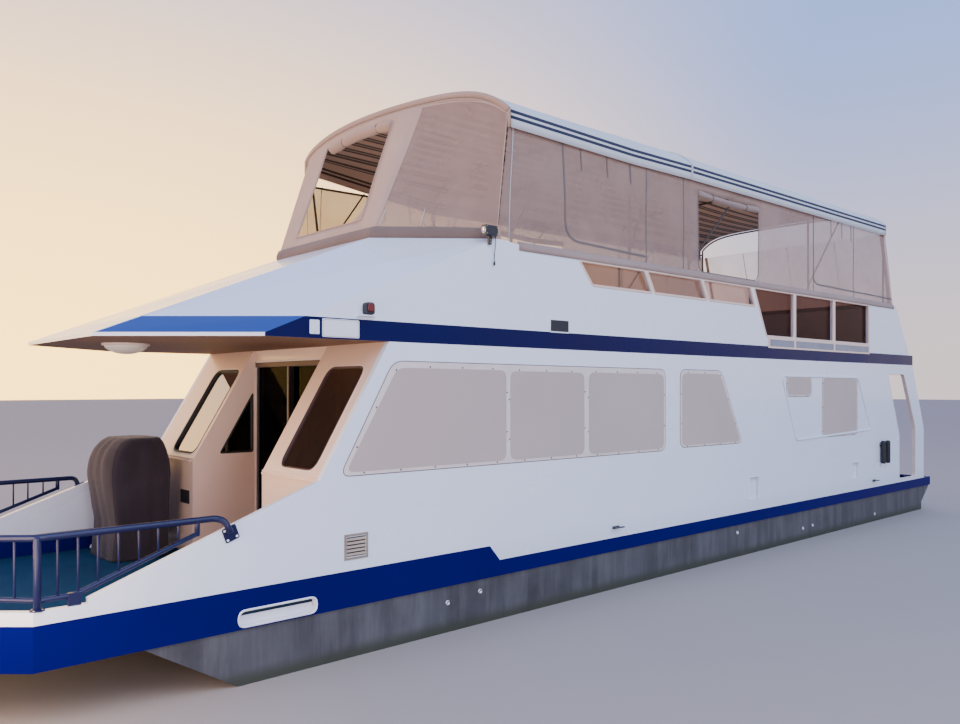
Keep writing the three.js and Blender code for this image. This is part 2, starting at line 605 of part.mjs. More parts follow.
// The tube's centre line under the roof cloth, at its own radius below it
function frameLine(row) {
  const [x, valance, crown] = row;
  const first = row === BOWS[0];
  return acrossStations.map((s) => {
    const y = s * FRAME_HALF;
    const slope = (archZ(y + 1, valance, crown) - archZ(y, valance, crown));
    const below = CANOPY_SKIN + TUBE * Math.hypot(1, slope) + 2 * GAP + SHOULDER_CLEAR * s ** 4;
    return [x + frontX(y, first) - (first ? FRONT_BOW_BACK : 0), y, archZ(y, valance, crown) - below];
  });
}
{
  const lines = BOWS.map(frameLine);
  const members = lines.map((line, i) => {
    const footZ = UPPER_TOP + GAP + (i ? 0 : 6);
    const foot = (sign) => [line[line.length - 1][0], sign * FRAME_HALF, footZ];
    return pipe([foot(-1), ...line, foot(1)], TUBE, 6);
  });
  const rails = SIDES.flatMap(([, sign]) => {
    const ends = lines.map((line) => (sign < 0 ? line[0] : line[line.length - 1]));
    const stops = ends.map((end, i) => [end[0], sign * FRAME_HALF, BOWS[i][1] + 90]);
    const braces = stops.slice(1).map((stop, i) => {
      const [x, y] = stops[i];
      return bar([x, y, UPPER_TOP + 80], [x + (stop[0] - x) * BRACE_REACH, y, stop[2]], BRACE_TUBE, 6);
    });
    return [pipe(stops, TUBE, 6), ...braces];
  });
  place('canopy_frame', join(...members, ...rails), finishes.steel);
}

// Side curtains under the canopy, each with an open window
const CURTAIN = { y0: 1797, y1: 1803, foot: 1.9 };
const CURTAIN_CORNER = 60;
const sideCurtain = (sign) => [
  [2940, COAMING_TOP + 4], [2780, UPPER_TOP + GAP], [-6420, UPPER_TOP + GAP], [-6085, 4900],
  [2830 + (sign < 0 ? FRONT_SKEW : 0), 4860],
];
const SIDE_OPENING = [[-1885, 3700], [-430, 3700], [-430, 4700], [-1885, 4700]];
SIDES.forEach(([side, sign]) => {
  const cloth = sideways(sideCurtain(sign), ...onSide(sign, CURTAIN.y0, CURTAIN.y1));
  const through = onSide(sign, CURTAIN.y0 - PAST, CURTAIN.y1 + PAST);
  const opening = sideways(SIDE_OPENING, ...through, CURTAIN_CORNER);
  place(`curtain_${side}`, cut(cloth, opening), finishes.canvas);
});

// Aft curtain, raked with the aft wall
{
  const half = CURTAIN.y0 - 40;
  place('curtain_aft', sideways([
    [AFT_TOP_X + 15, UPPER_TOP + GAP], [AFT_TOP_X + 21, UPPER_TOP + GAP], [-6114, 4880], [-6120, 4880],
  ], -half, half), finishes.canvas);
}

// Front curtain: ruled from the coaming's corners up to the front bow, with a roll-up window
{
  const skin = 8;
  const inward = 0.996;
  const reach = CURTAIN.y0 - 4;
  const shoulder = [FAIRING_SHOULDER_X - 30, COAMING_TOP + CURTAIN.foot];
  const nose = [FAIRING_NOSE.x - 20, FAIRING_NOSE.z + CURTAIN.foot];
  const noseHalf = FAIRING_NOSE.y - 8;
  const bottomCorners = [
    [shoulder[0], -reach, shoulder[1]], [nose[0], -noseHalf, nose[1]],
    [nose[0], noseHalf, nose[1]], [shoulder[0], reach, shoulder[1]],
  ];
  const topBreaks = [-reach, -700, 700, reach];
  const stepsPerFace = 5;
  const [bowX, valance, crown] = BOWS[0];
  const stations = [];
  for (let face = 0; face < 3; face += 1) {
    for (let i = face ? 1 : 0; i <= stepsPerFace; i += 1) {
      const t = i / stepsPerFace;
      const low = bottomCorners[face].map((v, k) => v + (bottomCorners[face + 1][k] - v) * t);
      const y = topBreaks[face] + (topBreaks[face + 1] - topBreaks[face]) * t;
      stations.push([low, [bowX - 4 + frontX(y, true), y, archZ(y, valance, crown) - 2 * CANOPY_SKIN]]);
    }
  }
  // Each station is a flat blade across the cloth: outer edge forward, inner edge aft
  const rings = stations.map(([low, high]) => [
    low, high, [high[0] - skin, high[1] * inward, high[2]], [low[0] - skin, low[1] * inward, low[2]],
  ]);
  const index = [];
  rings.slice(1).forEach((_, r) => {
    for (let i = 0; i < 4; i += 1) {
      const a = r * 4 + i;
      const b = r * 4 + (i + 1) % 4;
      index.push(a, a + 4, b, b, a + 4, b + 4);
    }
  });
  const last = (rings.length - 1) * 4;
  index.push(0, 1, 2, 0, 2, 3, last, last + 2, last + 1, last, last + 3, last + 2);
  const geometry = new THREE.BufferGeometry();
  geometry.setAttribute('position', new THREE.Float32BufferAttribute(rings.flat(2), 3));
  geometry.setIndex(index);
  const window = [[-690, 3950], [690, 3950], [600, 5080], [-600, 5080]];
  const opening = crosswise(window, 2500, 4500, CURTAIN_CORNER);
  place('curtain_front', cut(solidOf(geometry), opening), finishes.canvas);
}

// Bow rails: from a plate on each wing wall, round the chamfer, to a gate post
const RAIL_Z = 1281;
const RAIL_TUBE = 24;
const LOW_TUBE = 18;
const SPINDLE = 8;
const RAIL_Y = HALF_BEAM - 30;
const CORNER = [7040, RAIL_Y];
const PROW = [BOW_X - 30, BOW_HALF - 14];
const GATE_POST_Y = GATE_HALF + 40;
// The lower bar follows the wing wall's slope, then runs level round the chamfer
const SLOPE_FOOT = [6795, 889];
const SLOPE_HEAD = [5990, 1184];
const LOW_Z = 880;
const LOW_PROW_Z = 925;
const BALUSTERS = [6920, 6795, 6671, 6538, 6403, 6270, 6128];
const CHAMFER_BALUSTERS = 8;
const GATE_SIDE_BALUSTERS = 2;
const RAIL_PLATE = { x0: 5700, x1: 5800, z0: 1112, z1: 1212 };
function lowBarZ(x) {
  if (x > SLOPE_FOOT[0]) return LOW_Z;
  const share = (SLOPE_FOOT[0] - x) / (SLOPE_FOOT[0] - SLOPE_HEAD[0]);
  return SLOPE_FOOT[1] + share * (SLOPE_HEAD[1] - SLOPE_FOOT[1]);
}
// Stops that split the way from a to b in count + 1 equal runs
const between = (a, b, count) => Array.from(
  { length: count }, (_, i) => a.map((v, k) => v + (b[k] - v) * (i + 1) / (count + 1)));
SIDES.forEach(([side, sign]) => {
  const at = (x, y, z) => [x, sign * y, z];
  const base = BULWARK_TOP + GAP;
  const { x0, x1, z0, z1 } = RAIL_PLATE;
  const top = pipe([
    at(5760, RAIL_Y + 66, 1175), at(5800, RAIL_Y + 40, 1262), at(5850, RAIL_Y, RAIL_Z),
    at(...CORNER, RAIL_Z), at(...PROW, RAIL_Z), at(PROW[0], GATE_POST_Y, RAIL_Z),
  ], RAIL_TUBE);
  const low = pipe([
    at(SLOPE_HEAD[0], RAIL_Y, SLOPE_HEAD[1]), at(SLOPE_FOOT[0], RAIL_Y, SLOPE_FOOT[1]),
    at(6850, RAIL_Y, LOW_Z), at(...CORNER, LOW_Z),
    at(...PROW, LOW_PROW_Z), at(PROW[0], GATE_POST_Y, LOW_PROW_Z),
  ], LOW_TUBE);
  const posts = [CORNER, PROW, [PROW[0], GATE_POST_Y]].map(([x, y]) =>
    bar(at(x, y, base), at(x, y, RAIL_Z), RAIL_TUBE));
  const shortPost = bar(at(SLOPE_HEAD[0], RAIL_Y, SLOPE_HEAD[1]), at(SLOPE_HEAD[0], RAIL_Y, RAIL_Z), 20);
  const feet = [
    ...BALUSTERS.map((x) => [x, RAIL_Y, lowBarZ(x)]),
    ...between([...CORNER, LOW_Z], [...PROW, LOW_PROW_Z], CHAMFER_BALUSTERS),
    ...between([...PROW, LOW_PROW_Z], [PROW[0], GATE_POST_Y, LOW_PROW_Z], GATE_SIDE_BALUSTERS),
  ];
  const spindles = feet.map(([x, y, z]) => bar(at(x, y, z), at(x, y, RAIL_Z), SPINDLE, 6));
  const foot = block(6780, 6860, ...onSide(sign, RAIL_Y - 20, RAIL_Y + 20), base, 900);
  const plate = block(x0, x1, ...onSide(sign, HALF_BEAM + GAP, HALF_BEAM + 9), z0, z1);
  const stub = block(x0 + 38, x1 - 18, ...onSide(sign, HALF_BEAM + 5, RAIL_Y + 66), z0 + 38, z1 - 22);
  const keepers = sign > 0 ? gateKnuckles('post') : [];
  const rail = join(top, low, ...posts, ...spindles, shortPost, foot, plate, stub, ...keepers);
  place(`bow_rail_${side}`, rail, finishes.navy);
});

// Bow gate, hinged on the port gate post and swinging inboard
const GATE_FOOT = 860;
const GATE_BALUSTERS = 5;
function gateKnuckles(owner) {
  const [lift, web] = owner === 'post' ? [0, [0, 32, 0]] : [KNUCKLE_STEP, [0, -32, 0]];
  const pin = [PROW[0], GATE_HALF, 0];
  return [950, 1180].flatMap((z) => knuckles(pin, [0, 0, 1], [[z + lift, z + lift + KNUCKLE]], 9, web));
}
{
  const y0 = -GATE_HALF + 12;
  const y1 = GATE_HALF - 34;
  const x = PROW[0];
  const frame = pipe([
    [x, y1, GATE_FOOT], [x, y1, RAIL_Z], [x, y0, RAIL_Z], [x, y0, GATE_FOOT], [x, y1, GATE_FOOT + 1],
  ], LOW_TUBE);
  const feet = between([x, y0, GATE_FOOT], [x, y1, GATE_FOOT], GATE_BALUSTERS);
  const spindles = feet.map(([, y, z]) => bar([x, y, z], [x, y, RAIL_Z], SPINDLE, 6));
  place('bow_gate', join(frame, ...spindles, ...gateKnuckles('gate')), finishes.navy);
}

// Covered grill on the foredeck: a soft box, narrower at the top
// Rings: [aft x, fore x, starboard y, port y, z]
const GRILL_COVER = [
  [5170, 5790, -1550, -760, DECK_Z + GAP],
  [5150, 5810, -1590, -720, 1300],
  [5180, 5730, -1550, -735, 1610],
  [5230, 5560, -1430, -790, 1735],
];
place('grill_cover', hullOfPoints(GRILL_COVER.flatMap(([aft, fore, y0, y1, z]) =>
  [[aft, y0, z], [fore, y0, z], [aft, y1, z], [fore, y1, z]])), finishes.cover);

// Stern fittings on the port wall: two black bumpers on one bracket
const BUMPER = { xs: [-6025, -5875], radius: 55, z0: 956, z1: 1343 };
{
  const y = HALF_BEAM + BUMPER.radius + 8;
  const bracket = block(-6110, -5790, HALF_BEAM + GAP, HALF_BEAM + 14, 1250, 1300);
  const bumpers = BUMPER.xs.map((x) => bar([x, y, BUMPER.z0], [x, y, BUMPER.z1], BUMPER.radius, 12));
  place('stern_bumpers', join(bracket, ...bumpers), finishes.dark);
}

// Spotlight on the port side of the coaming, and its lead, which hangs to a plug
const SPOT = { x0: 3070, x1: 3230, y0: 1812, y1: 1880, z0: 3692, z1: 3790 };
const LEAD_RADIUS = 3.5;
const LEAD_ROUTE = [
  [3090, 1862, 3691.7], [3090, 1862, 3680], [3089, 1862, 3665], [3088, 1861, 3648], [3087, 1859, 3630],
  [3086, 1856, 3612], [3085, 1853, 3594], [3085, 1850, 3576], [3085, 1848, 3558], [3086, 1846, 3540],
  [3087, 1845, 3522], [3088, 1844, 3504], [3088, 1844, 3486], [3088, 1844, 3468], [3088, 1844, 3450.3],
];
{
  const lamp = block(SPOT.x0, SPOT.x1, SPOT.y0, SPOT.y1, SPOT.z0, SPOT.z1);
  const bracket = block(3125, 3165, HALF_BEAM + GAP, HALF_BEAM + 24, 3610, SPOT.z0 + 8);
  place('spotlight', join(lamp, bracket), finishes.dark);
  const route = new THREE.CatmullRomCurve3(LEAD_ROUTE.map((p) => new THREE.Vector3(...p)));
  const section = new THREE.Shape().absarc(0, 0, LEAD_RADIUS, 0, 2 * Math.PI);
  const lead = new THREE.ExtrudeGeometry(section, { steps: 16, curveSegments: 4, extrudePath: route });
  place('spotlight_cord', solidOf(lead), finishes.dark);
  const [x, y, z] = LEAD_ROUTE[LEAD_ROUTE.length - 1];
  place('spotlight_plug', bar([x, y, z - GAP], [x, y, z - 35], 9, 10), finishes.dark);
}

// Engines on shared bearers in the well
const ENGINE_Y = 560;
const ENGINE = { x0: -7350, x1: -6650, half: 310, z0: -240, z1: 380, bearers: [-7250, -6800] };
{
  const blocks = [-ENGINE_Y, ENGINE_Y].map((y) =>
    block(ENGINE.x0, ENGINE.x1, y - ENGINE.half, y + ENGINE.half, ENGINE.z0, ENGINE.z1));
  const bearers = ENGINE.bearers.map((x) => block(x, x + 90, -1000, 1000, WELL.floor + GAP, ENGINE.z0 + 40));
  place('engines', join(...blocks, ...bearers), finishes.dark);
}

// Engine hatch in the aft deck, hinged along its forward edge
{
  const { x0, x1, y, lid, sunk } = HATCH;
  const top = DECK_Z - sunk;
  const axis = [x1 + 10, 0, DECK_Z + 12];
  const strapWidth = 60;
  const straps = [-300, 300];
  const panel = block(
    x0 + LEAF.clear, x1 - LEAF.clear, -y + LEAF.clear, y - LEAF.clear, top - lid, top);
  const hinges = straps.flatMap((at) => knuckles(axis, [0, 1, 0], [[at, at + strapWidth]], 8, [-30, 0, 0]));
  const flaps = straps.map((at) => block(x1 - 90, x1 - 6, at, at + strapWidth, DECK_Z - 8, DECK_Z + 15));
  place('engine_hatch', join(panel, ...hinges, ...flaps), finishes.teak);
}

// Stern drives on the transom, each turning about an upright steering axis, and their propellers
const TRANSOM_X = -7700;
const STEER_X = TRANSOM_X - 150;
const YOKES = [[0, 45], [-270, -225]];
const LEG = { x0: -8070, x1: -7906, y: 40, top: -220, foot: -530 };
const CAVITATION_PLATE = { x0: -8250, y: 110, z0: -255, z1: -240 };
const GEARCASE = { x: -7760, radius: 58 };
const SKEG = [[-8060, -480], [-7850, -480], [-7960, -690], [-8050, -690]];
const PROP = { x: -8130, z: -480, hub: 45, reach: 185, chord: 130, blades: 3, pitch: 0.6 };
SIDES.forEach(([side, sign]) => {
  const y = sign * ENGINE_Y;
  const shield = block(TRANSOM_X - 40, TRANSOM_X - GAP, y - 150, y + 150, -290, 70);
  const yokes = YOKES.map(([low, high]) => block(STEER_X - 40, TRANSOM_X - 30, y - 28, y + 28, low, high));
  place(`transom_bracket_${side}`, join(shield, ...yokes), finishes.dark);

  const head = block(STEER_X - 190, STEER_X + 60, y - 85, y + 85, YOKES[1][1] + 0.5, YOKES[0][0] - 0.5);
  const leg = block(LEG.x0, LEG.x1, y - LEG.y, y + LEG.y, LEG.foot, LEG.top);
  const { x0, z0, z1, y: half } = CAVITATION_PLATE;
  const plate = block(x0, LEG.x1, y - half, y + half, z0, z1);
  const gearcase = bar([PROP.x + 30, y, PROP.z], [GEARCASE.x, y, PROP.z], GEARCASE.radius, 12);
  const skeg = sideways(SKEG, y - 9, y + 9);
  place(`stern_drive_${side}`, join(head, leg, plate, gearcase, skeg), finishes.dark);

  const hub = bar([PROP.x - 110, y, PROP.z], [PROP.x + 30 - 0.5, y, PROP.z], PROP.hub, 12);
  const blades = Array.from({ length: PROP.blades }, (_, i) => {
    const blade = new THREE.BoxGeometry(12, PROP.chord, PROP.reach - 20);
    blade.translate(0, 0, (PROP.reach + 20) / 2);
    blade.rotateZ(sign * PROP.pitch);
    blade.rotateX(i * 2 * Math.PI / PROP.blades);
    blade.translate(PROP.x - 45, y, PROP.z);
    return solidOf(blade);
  });
  place(`propeller_${side}`, join(hub, ...blades), finishes.bronze);
});

// Boarding ladder from the aft deck to the upper deck
const RUNGS = 8;
{
  const foot = [-7680, DECK_Z + 20];
  const head = [-7262, 2790];
  const [y0, y1] = [LADDER.y0 + 60, LADDER.y1 - 60];
  const rails = [y0, y1].map((y) => pipe([
    [foot[0], y, foot[1]], [head[0], y, head[1]], [-7256, y, 3450], [-7130, y, 3500],
    [-7130, y, ROOF_TOP + 20],
  ], 18));
  const rungs = between(foot, head, RUNGS).map(([x, z]) => block(x - 45, x + 45, y0, y1, z - 12, z + 12));
  const feet = [y0, y1].flatMap((y) => [
    block(foot[0] - 40, foot[0] + 40, y - 35, y + 35, DECK_Z + GAP, DECK_Z + 24),
    block(-7170, -7090, y - 35, y + 35, ROOF_TOP + GAP, ROOF_TOP + 24),
  ]);
  place('aft_ladder', join(...rails, ...rungs, ...feet), finishes.steel);
}

// Upper helm console with its column
const WHEEL = { x: 2770, y: -620, z: 3640, radius: 190, tilt: 0.45, stand: 55, rim: 14, spokes: 3 };
const wheelAxis = new THREE.Vector3(-Math.cos(WHEEL.tilt), 0, Math.sin(WHEEL.tilt));
{
  const pod = sideways([
    [3000, ROOF_TOP + GAP], [3560, ROOF_TOP + GAP], [3560, 3600], [3350, 3690], [3000, 3560],
  ], -1000, -240);
  const alongAxis = (back) => [WHEEL.x - wheelAxis.x * back, WHEEL.y, WHEEL.z - wheelAxis.z * back];
  place('upper_helm', join(pod, bar(alongAxis(275), alongAxis(WHEEL.stand), 30, 10)), finishes.white);
}

// Helm wheel, made flat and then turned onto its column
{
  const spokes = Array.from({ length: WHEEL.spokes }, (_, i) => {
    const turn = i * 2 * Math.PI / WHEEL.spokes;
    return bar([0, 0, 0], [WHEEL.radius * Math.cos(turn), WHEEL.radius * Math.sin(turn), 0], 10, 6);
  });
  const rim = solidOf(new THREE.TorusGeometry(WHEEL.radius, WHEEL.rim, 8, 20));
  const hub = bar([0, 0, 2 * GAP - WHEEL.stand], [0, 0, 30], 36, 12);
  const geometry = geometryOf(join(rim, ...spokes, hub));
  geometry.applyQuaternion(new THREE.Quaternion().setFromUnitVectors(new THREE.Vector3(0, 0, 1), wheelAxis));
  const wheel = new THREE.Mesh(geometry, finishes.dark);
  wheel.position.set(WHEEL.x, WHEEL.y, WHEEL.z);
  wheel.name = 'helm_wheel';
  group.add(wheel);
}

// Helm bench: a seat with a low back
place('helm_bench', join(
  block(1750, 2250, -1150, 1150, ROOF_TOP + GAP, 3250),
  block(1650, 1750.5, -1150, 1150, ROOF_TOP + GAP, 3700)), finishes.canvas);

// Dome lamp under the visor
// Profile: [radius, drop below the soffit]
const DOME = [[0, -96], [80, -88], [150, -65], [190, -30], [200, 0], [0, 0]];
{
  const dome = new THREE.LatheGeometry(DOME.map(([r, z]) => new THREE.Vector2(r, z)), 20);
  dome.rotateX(Math.PI / 2);
  dome.translate(5890, 0, SOFFIT_Z - GAP);
  place('visor_lamp', solidOf(dome), finishes.white);
}

export default group;
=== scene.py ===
# %% [markdown]
# A cabin houseboat, dressed around its measured frame
#
# The boat's solids come in ready: every one keeps its place and size, and moves with its own body.
# This lesson gives them their finishes and adds what a plain solid can't show: cloth with seams and sag,
# round rails, glass in its gaskets, and the many small fittings. Lengths are in metres, +X is the bow,
# +Y is port, and z = 0 is the water's surface.

import json
import math

import bmesh
import bpy
from mathutils import Matrix, Vector, noise
from mathutils.bvhtree import BVHTree


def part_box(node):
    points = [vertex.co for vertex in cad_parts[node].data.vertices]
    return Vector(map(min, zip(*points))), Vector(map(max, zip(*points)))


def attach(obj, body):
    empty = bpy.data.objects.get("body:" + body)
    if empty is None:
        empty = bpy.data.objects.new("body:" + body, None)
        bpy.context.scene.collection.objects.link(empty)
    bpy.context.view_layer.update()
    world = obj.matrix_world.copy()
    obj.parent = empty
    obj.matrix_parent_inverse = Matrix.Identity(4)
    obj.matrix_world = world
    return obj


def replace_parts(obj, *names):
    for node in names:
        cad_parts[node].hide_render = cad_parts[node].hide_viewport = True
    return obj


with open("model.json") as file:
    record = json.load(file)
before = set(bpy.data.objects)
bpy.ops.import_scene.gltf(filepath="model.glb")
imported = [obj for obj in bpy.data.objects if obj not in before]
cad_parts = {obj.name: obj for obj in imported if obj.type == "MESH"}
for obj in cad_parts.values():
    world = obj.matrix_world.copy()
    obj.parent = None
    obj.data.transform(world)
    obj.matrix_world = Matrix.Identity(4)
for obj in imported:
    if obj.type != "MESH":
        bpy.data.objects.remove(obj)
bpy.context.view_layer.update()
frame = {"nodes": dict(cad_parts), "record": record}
nodes = frame["nodes"]
scene = bpy.context.scene

# %% [markdown]
# The camera
#
# The picture was taken from beside the bow, with the eye 2.25 m over the water and the camera level.
# A level camera keeps posts upright, so the picture is framed with a small vertical shift instead of a tilt.

# %% Camera
EYE = Vector((8.418, 7.576, 2.25))
HEADING = math.radians(138.1)
PICTURE_WIDTH = 960
FOCAL_LENGTH_PIXELS = 816
HORIZON_BELOW_MIDDLE = 25
SENSOR = 36

lens = bpy.data.cameras.new("camera")
lens.sensor_width = SENSOR
lens.lens = SENSOR * FOCAL_LENGTH_PIXELS / PICTURE_WIDTH
lens.shift_y = HORIZON_BELOW_MIDDLE / PICTURE_WIDTH
lens.clip_end = 500
camera = bpy.data.objects.new("camera", lens)
camera.location = EYE
camera.rotation_euler = (math.radians(90), 0, HEADING)
scene.collection.objects.link(camera)
scene.camera = camera
print("lens:", round(lens.lens, 2), "mm")

# %% [markdown]
# Light and floor
#
# Soft evening light: a pale cool sky overhead, and a warm low glow beyond the starboard bow. The sides that
# face port get only cool light and look bluish, and what faces the bow turns warm. Small lamps brighten the
# foredeck and the space under the canopy. The floor is plain and pale and lies at the waterline, so the hull
# passes through it as it does through water.

# %% Node helpers
# Places of a mix node's colour sockets: both inputs and the output
MIX_LOW, MIX_HIGH, MIX_RESULT = 6, 7, 2


def add(tree, kind, inputs=None, **settings):
    """Adds a node, sets its settings, and fills or links its inputs."""
    made = tree.nodes.new(kind)
    for key, value in settings.items():
        setattr(made, key, value)
    for socket, value in (inputs or {}).items():
        if isinstance(value, bpy.types.NodeSocket):
            tree.links.new(value, made.inputs[socket])
        else:
            made.inputs[socket].default_value = value
    return made


def calc(tree, operation, first, second=0.0, third=0.0):
    """The result of one sum on values or sockets."""
    return add(tree, "ShaderNodeMath", {0: first, 1: second, 2: third}, operation=operation).outputs[0]


def mixed(tree, share, low, high):
    """A colour between two colours."""
    return add(tree, "ShaderNodeMix", {0: share, MIX_LOW: low, MIX_HIGH: high}, data_type="RGBA").outputs[MIX_RESULT]


def smooth_step(tree, value, low, high, to_low=0.0, to_high=1.0):
    """A value that rises smoothly from to_low to to_high as its input goes from low to high."""
    node = add(tree, "ShaderNodeMapRange", {"Value": value, "From Min": low, "From Max": high,
                                            "To Min": to_low, "To Max": to_high}, interpolation_type="SMOOTHSTEP")
    return node.outputs["Result"]


print("node helpers ready")

# %% Sky
GLOW_DIRECTION = Vector((0.15, -0.98, 0.12)).normalized()
SKY_TOP = (0.42, 0.60, 1.22, 1)
SKY_EDGE = (1.02, 0.86, 0.86, 1)
SKY_GLOW = (4.8, 2.9, 0.80, 1)
world = bpy.data.worlds.new("evening sky")
scene.world = world
world.use_nodes = True
sky = world.node_tree
sky.nodes.clear()
direction = add(sky, "ShaderNodeTexCoord").outputs["Generated"]
height = add(sky, "ShaderNodeSeparateXYZ", {0: direction}).outputs["Z"]
toward_glow = add(sky, "ShaderNodeVectorMath", {0: direction, 1: GLOW_DIRECTION}, operation="DOT_PRODUCT")
glow = calc(sky, "MULTIPLY", smooth_step(sky, toward_glow.outputs["Value"], 0.30, 0.96),
            smooth_step(sky, height, 0.64, 0.0))
dome = mixed(sky, smooth_step(sky, height, 0.0, 0.40), SKY_EDGE, SKY_TOP)
backdrop = add(sky, "ShaderNodeBackground", {"Color": mixed(sky, glow, dome, SKY_GLOW), "Strength": 1.15})
add(sky, "ShaderNodeOutputWorld", {"Surface": backdrop.outputs[0]})
print("sky:", len(sky.nodes), "nodes")

# %% Lamps
def area_lamp(name, place, target, size, power, colour):
    lamp = bpy.data.lights.new(name, "AREA")
    lamp.shape = "DISK"
    lamp.size = size
    lamp.energy = power
    lamp.color = colour
    holder = bpy.data.objects.new(name, lamp)
    holder.location = place
    holder.rotation_euler = (Vector(target) - Vector(place)).to_track_quat("-Z", "Y").to_euler()
    scene.collection.objects.link(holder)
    return holder


area_lamp("warm low light", (30, -16, 6), (4, 0, 2.2), 14, 7000, (1.0, 0.66, 0.40))
area_lamp("cool high light", (2, 20, 20), (1, 0, 2), 22, 4600, (0.76, 0.88, 1.0))
front_fill = area_lamp("glow on the foredeck", (8.2, 2.3, 1.5), (4.6, -0.8, 1.7), 1.8, 92, (1.0, 0.72, 0.52))
front_fill.visible_camera = False
area_lamp("cool low light", (7.4, 14.0, 2.6), (6.6, 1.8, 0.6), 4, 520, (0.88, 0.84, 1.0))
for lamp_x, lamp_power in ((2.2, 48), (-1.2, 20), (-4.0, 20)):
    under = area_lamp(f"light under the canopy {lamp_x}", (lamp_x, 0, 3.1), (lamp_x, 0, 5), 2.4, lamp_power,
                      (1.0, 0.76, 0.56))
    under.visible_camera = False

# %% Floor
FLOOR_HALF = 150
floor_mesh = bpy.data.meshes.new("floor")
floor_mesh.from_pydata([(-FLOOR_HALF, -FLOOR_HALF, 0), (FLOOR_HALF, -FLOOR_HALF, 0),
                        (FLOOR_HALF, FLOOR_HALF, 0), (-FLOOR_HALF, FLOOR_HALF, 0)], [], [(0, 1, 2, 3)])
floor = bpy.data.objects.new("floor", floor_mesh)
scene.collection.objects.link(floor)
floor_finish = bpy.data.materials.new("pale floor")
floor_finish.use_nodes = True
floor_shader = floor_finish.node_tree.nodes["Principled BSDF"]
floor_shader.inputs["Base Color"].default_value = (0.36, 0.305, 0.265, 1)
floor_shader.inputs["Roughness"].default_value = 0.75
floor_mesh.materials.append(floor_finish)
print("floor:", 2 * FLOOR_HALF, "m square")

# %% [markdown]
# Shared effects
#
# Four small shader groups are used again and again: soft blotches of colour, streaks that rain and spray
# leave down a side, the threads of a woven cloth, and the fine grain of a surface. Each gives only masks and
# heights, and each finish decides what to do with them.

# %% Shader groups
def effect(name, inputs, outputs):
    """An empty shader group with named float inputs and outputs."""
    group = bpy.data.node_groups.new(name, "ShaderNodeTree")
    for label, value in inputs:
        kind = "NodeSocketVector" if value is None else "NodeSocketFloat"
        socket = group.interface.new_socket(name=label, in_out="INPUT", socket_type=kind)
        if value is not None:
            socket.default_value = value
    for label in outputs:
        group.interface.new_socket(name=label, in_out="OUTPUT", socket_type="NodeSocketFloat")
    return group, group.nodes.new("NodeGroupInput"), group.nodes.new("NodeGroupOutput")


def object_place(tree):
    return add(tree, "ShaderNodeTexCoord").outputs["Object"]


def axes_of(tree):
    """The X, Y and Z of each point in the object's own frame."""
    return add(tree, "ShaderNodeSeparateXYZ", {0: object_place(tree)}).outputs


def ripples(tree, scale, detail, **more):
    """The height of a soft noise over the object."""
    inputs = {"Vector": object_place(tree), "Scale": scale, "Detail": detail, **more}
    return add(tree, "ShaderNodeTexNoise", inputs).outputs["Fac"]


BLOTCHES, given, result = effect("soft blotches", [("Scale", 1.0), ("Contrast", 1.0)], ["Mask"])
cloud = add(BLOTCHES, "ShaderNodeTexNoise", {"Vector": object_place(BLOTCHES), "Scale": given.outputs["Scale"],
                                             "Detail": 5.0, "Roughness": 0.55})
centred = calc(BLOTCHES, "MULTIPLY", calc(BLOTCHES, "SUBTRACT", cloud.outputs["Fac"], 0.5), given.outputs["Contrast"])
BLOTCHES.links.new(calc(BLOTCHES, "ADD", centred, 0.5), result.inputs["Mask"])

STREAKS, given, result = effect("rain streaks", [("Across", 9.0), ("Down", 0.6), ("Cover", 0.5)], ["Mask"])
spread = add(STREAKS, "ShaderNodeCombineXYZ", {"X": given.outputs["Across"], "Y": given.outputs["Across"],
                                               "Z": given.outputs["Down"]})
stretched = add(STREAKS, "ShaderNodeVectorMath", {0: object_place(STREAKS), 1: spread.outputs[0]},
                operation="MULTIPLY")
runs = add(STREAKS, "ShaderNodeTexNoise", {"Vector": stretched.outputs[0], "Scale": 1.0, "Detail": 7.0,
                                           "Roughness": 0.62})
edge = calc(STREAKS, "SUBTRACT", 0.72, calc(STREAKS, "MULTIPLY", given.outputs["Cover"], 0.4))
STREAKS.links.new(smooth_step(STREAKS, runs.outputs["Fac"], edge, calc(STREAKS, "ADD", edge, 0.22)),
                  result.inputs["Mask"])

print("blotches:", len(BLOTCHES.nodes), "nodes, streaks:", len(STREAKS.nodes))

# %% Threads and grain
WEAVE, given, result = effect("woven threads", [("Place", None), ("Threads", 260.0)], ["Height", "Gap"])
axes = add(WEAVE, "ShaderNodeSeparateXYZ", {0: given.outputs["Place"]})
turn = calc(WEAVE, "MULTIPLY", given.outputs["Threads"], math.pi)
warp = calc(WEAVE, "ABSOLUTE", calc(WEAVE, "SINE", calc(WEAVE, "MULTIPLY", axes.outputs["X"], turn)))
weft = calc(WEAVE, "ABSOLUTE", calc(WEAVE, "SINE", calc(WEAVE, "MULTIPLY", axes.outputs["Y"], turn)))
WEAVE.links.new(calc(WEAVE, "MAXIMUM", warp, weft), result.inputs["Height"])
WEAVE.links.new(smooth_step(WEAVE, calc(WEAVE, "MAXIMUM", warp, weft), 0.55, 0.25), result.inputs["Gap"])

GRAIN, given, result = effect("fine grain", [("Scale", 300.0), ("Stretch", 1.0)], ["Height"])
pull = add(GRAIN, "ShaderNodeCombineXYZ", {"X": 1.0, "Y": 1.0, "Z": given.outputs["Stretch"]})
pulled = add(GRAIN, "ShaderNodeVectorMath", {0: object_place(GRAIN), 1: pull.outputs[0]}, operation="MULTIPLY")
specks = add(GRAIN, "ShaderNodeTexNoise", {"Vector": pulled.outputs[0], "Scale": given.outputs["Scale"],
                                           "Detail": 3.0})
GRAIN.links.new(specks.outputs["Fac"], result.inputs["Height"])


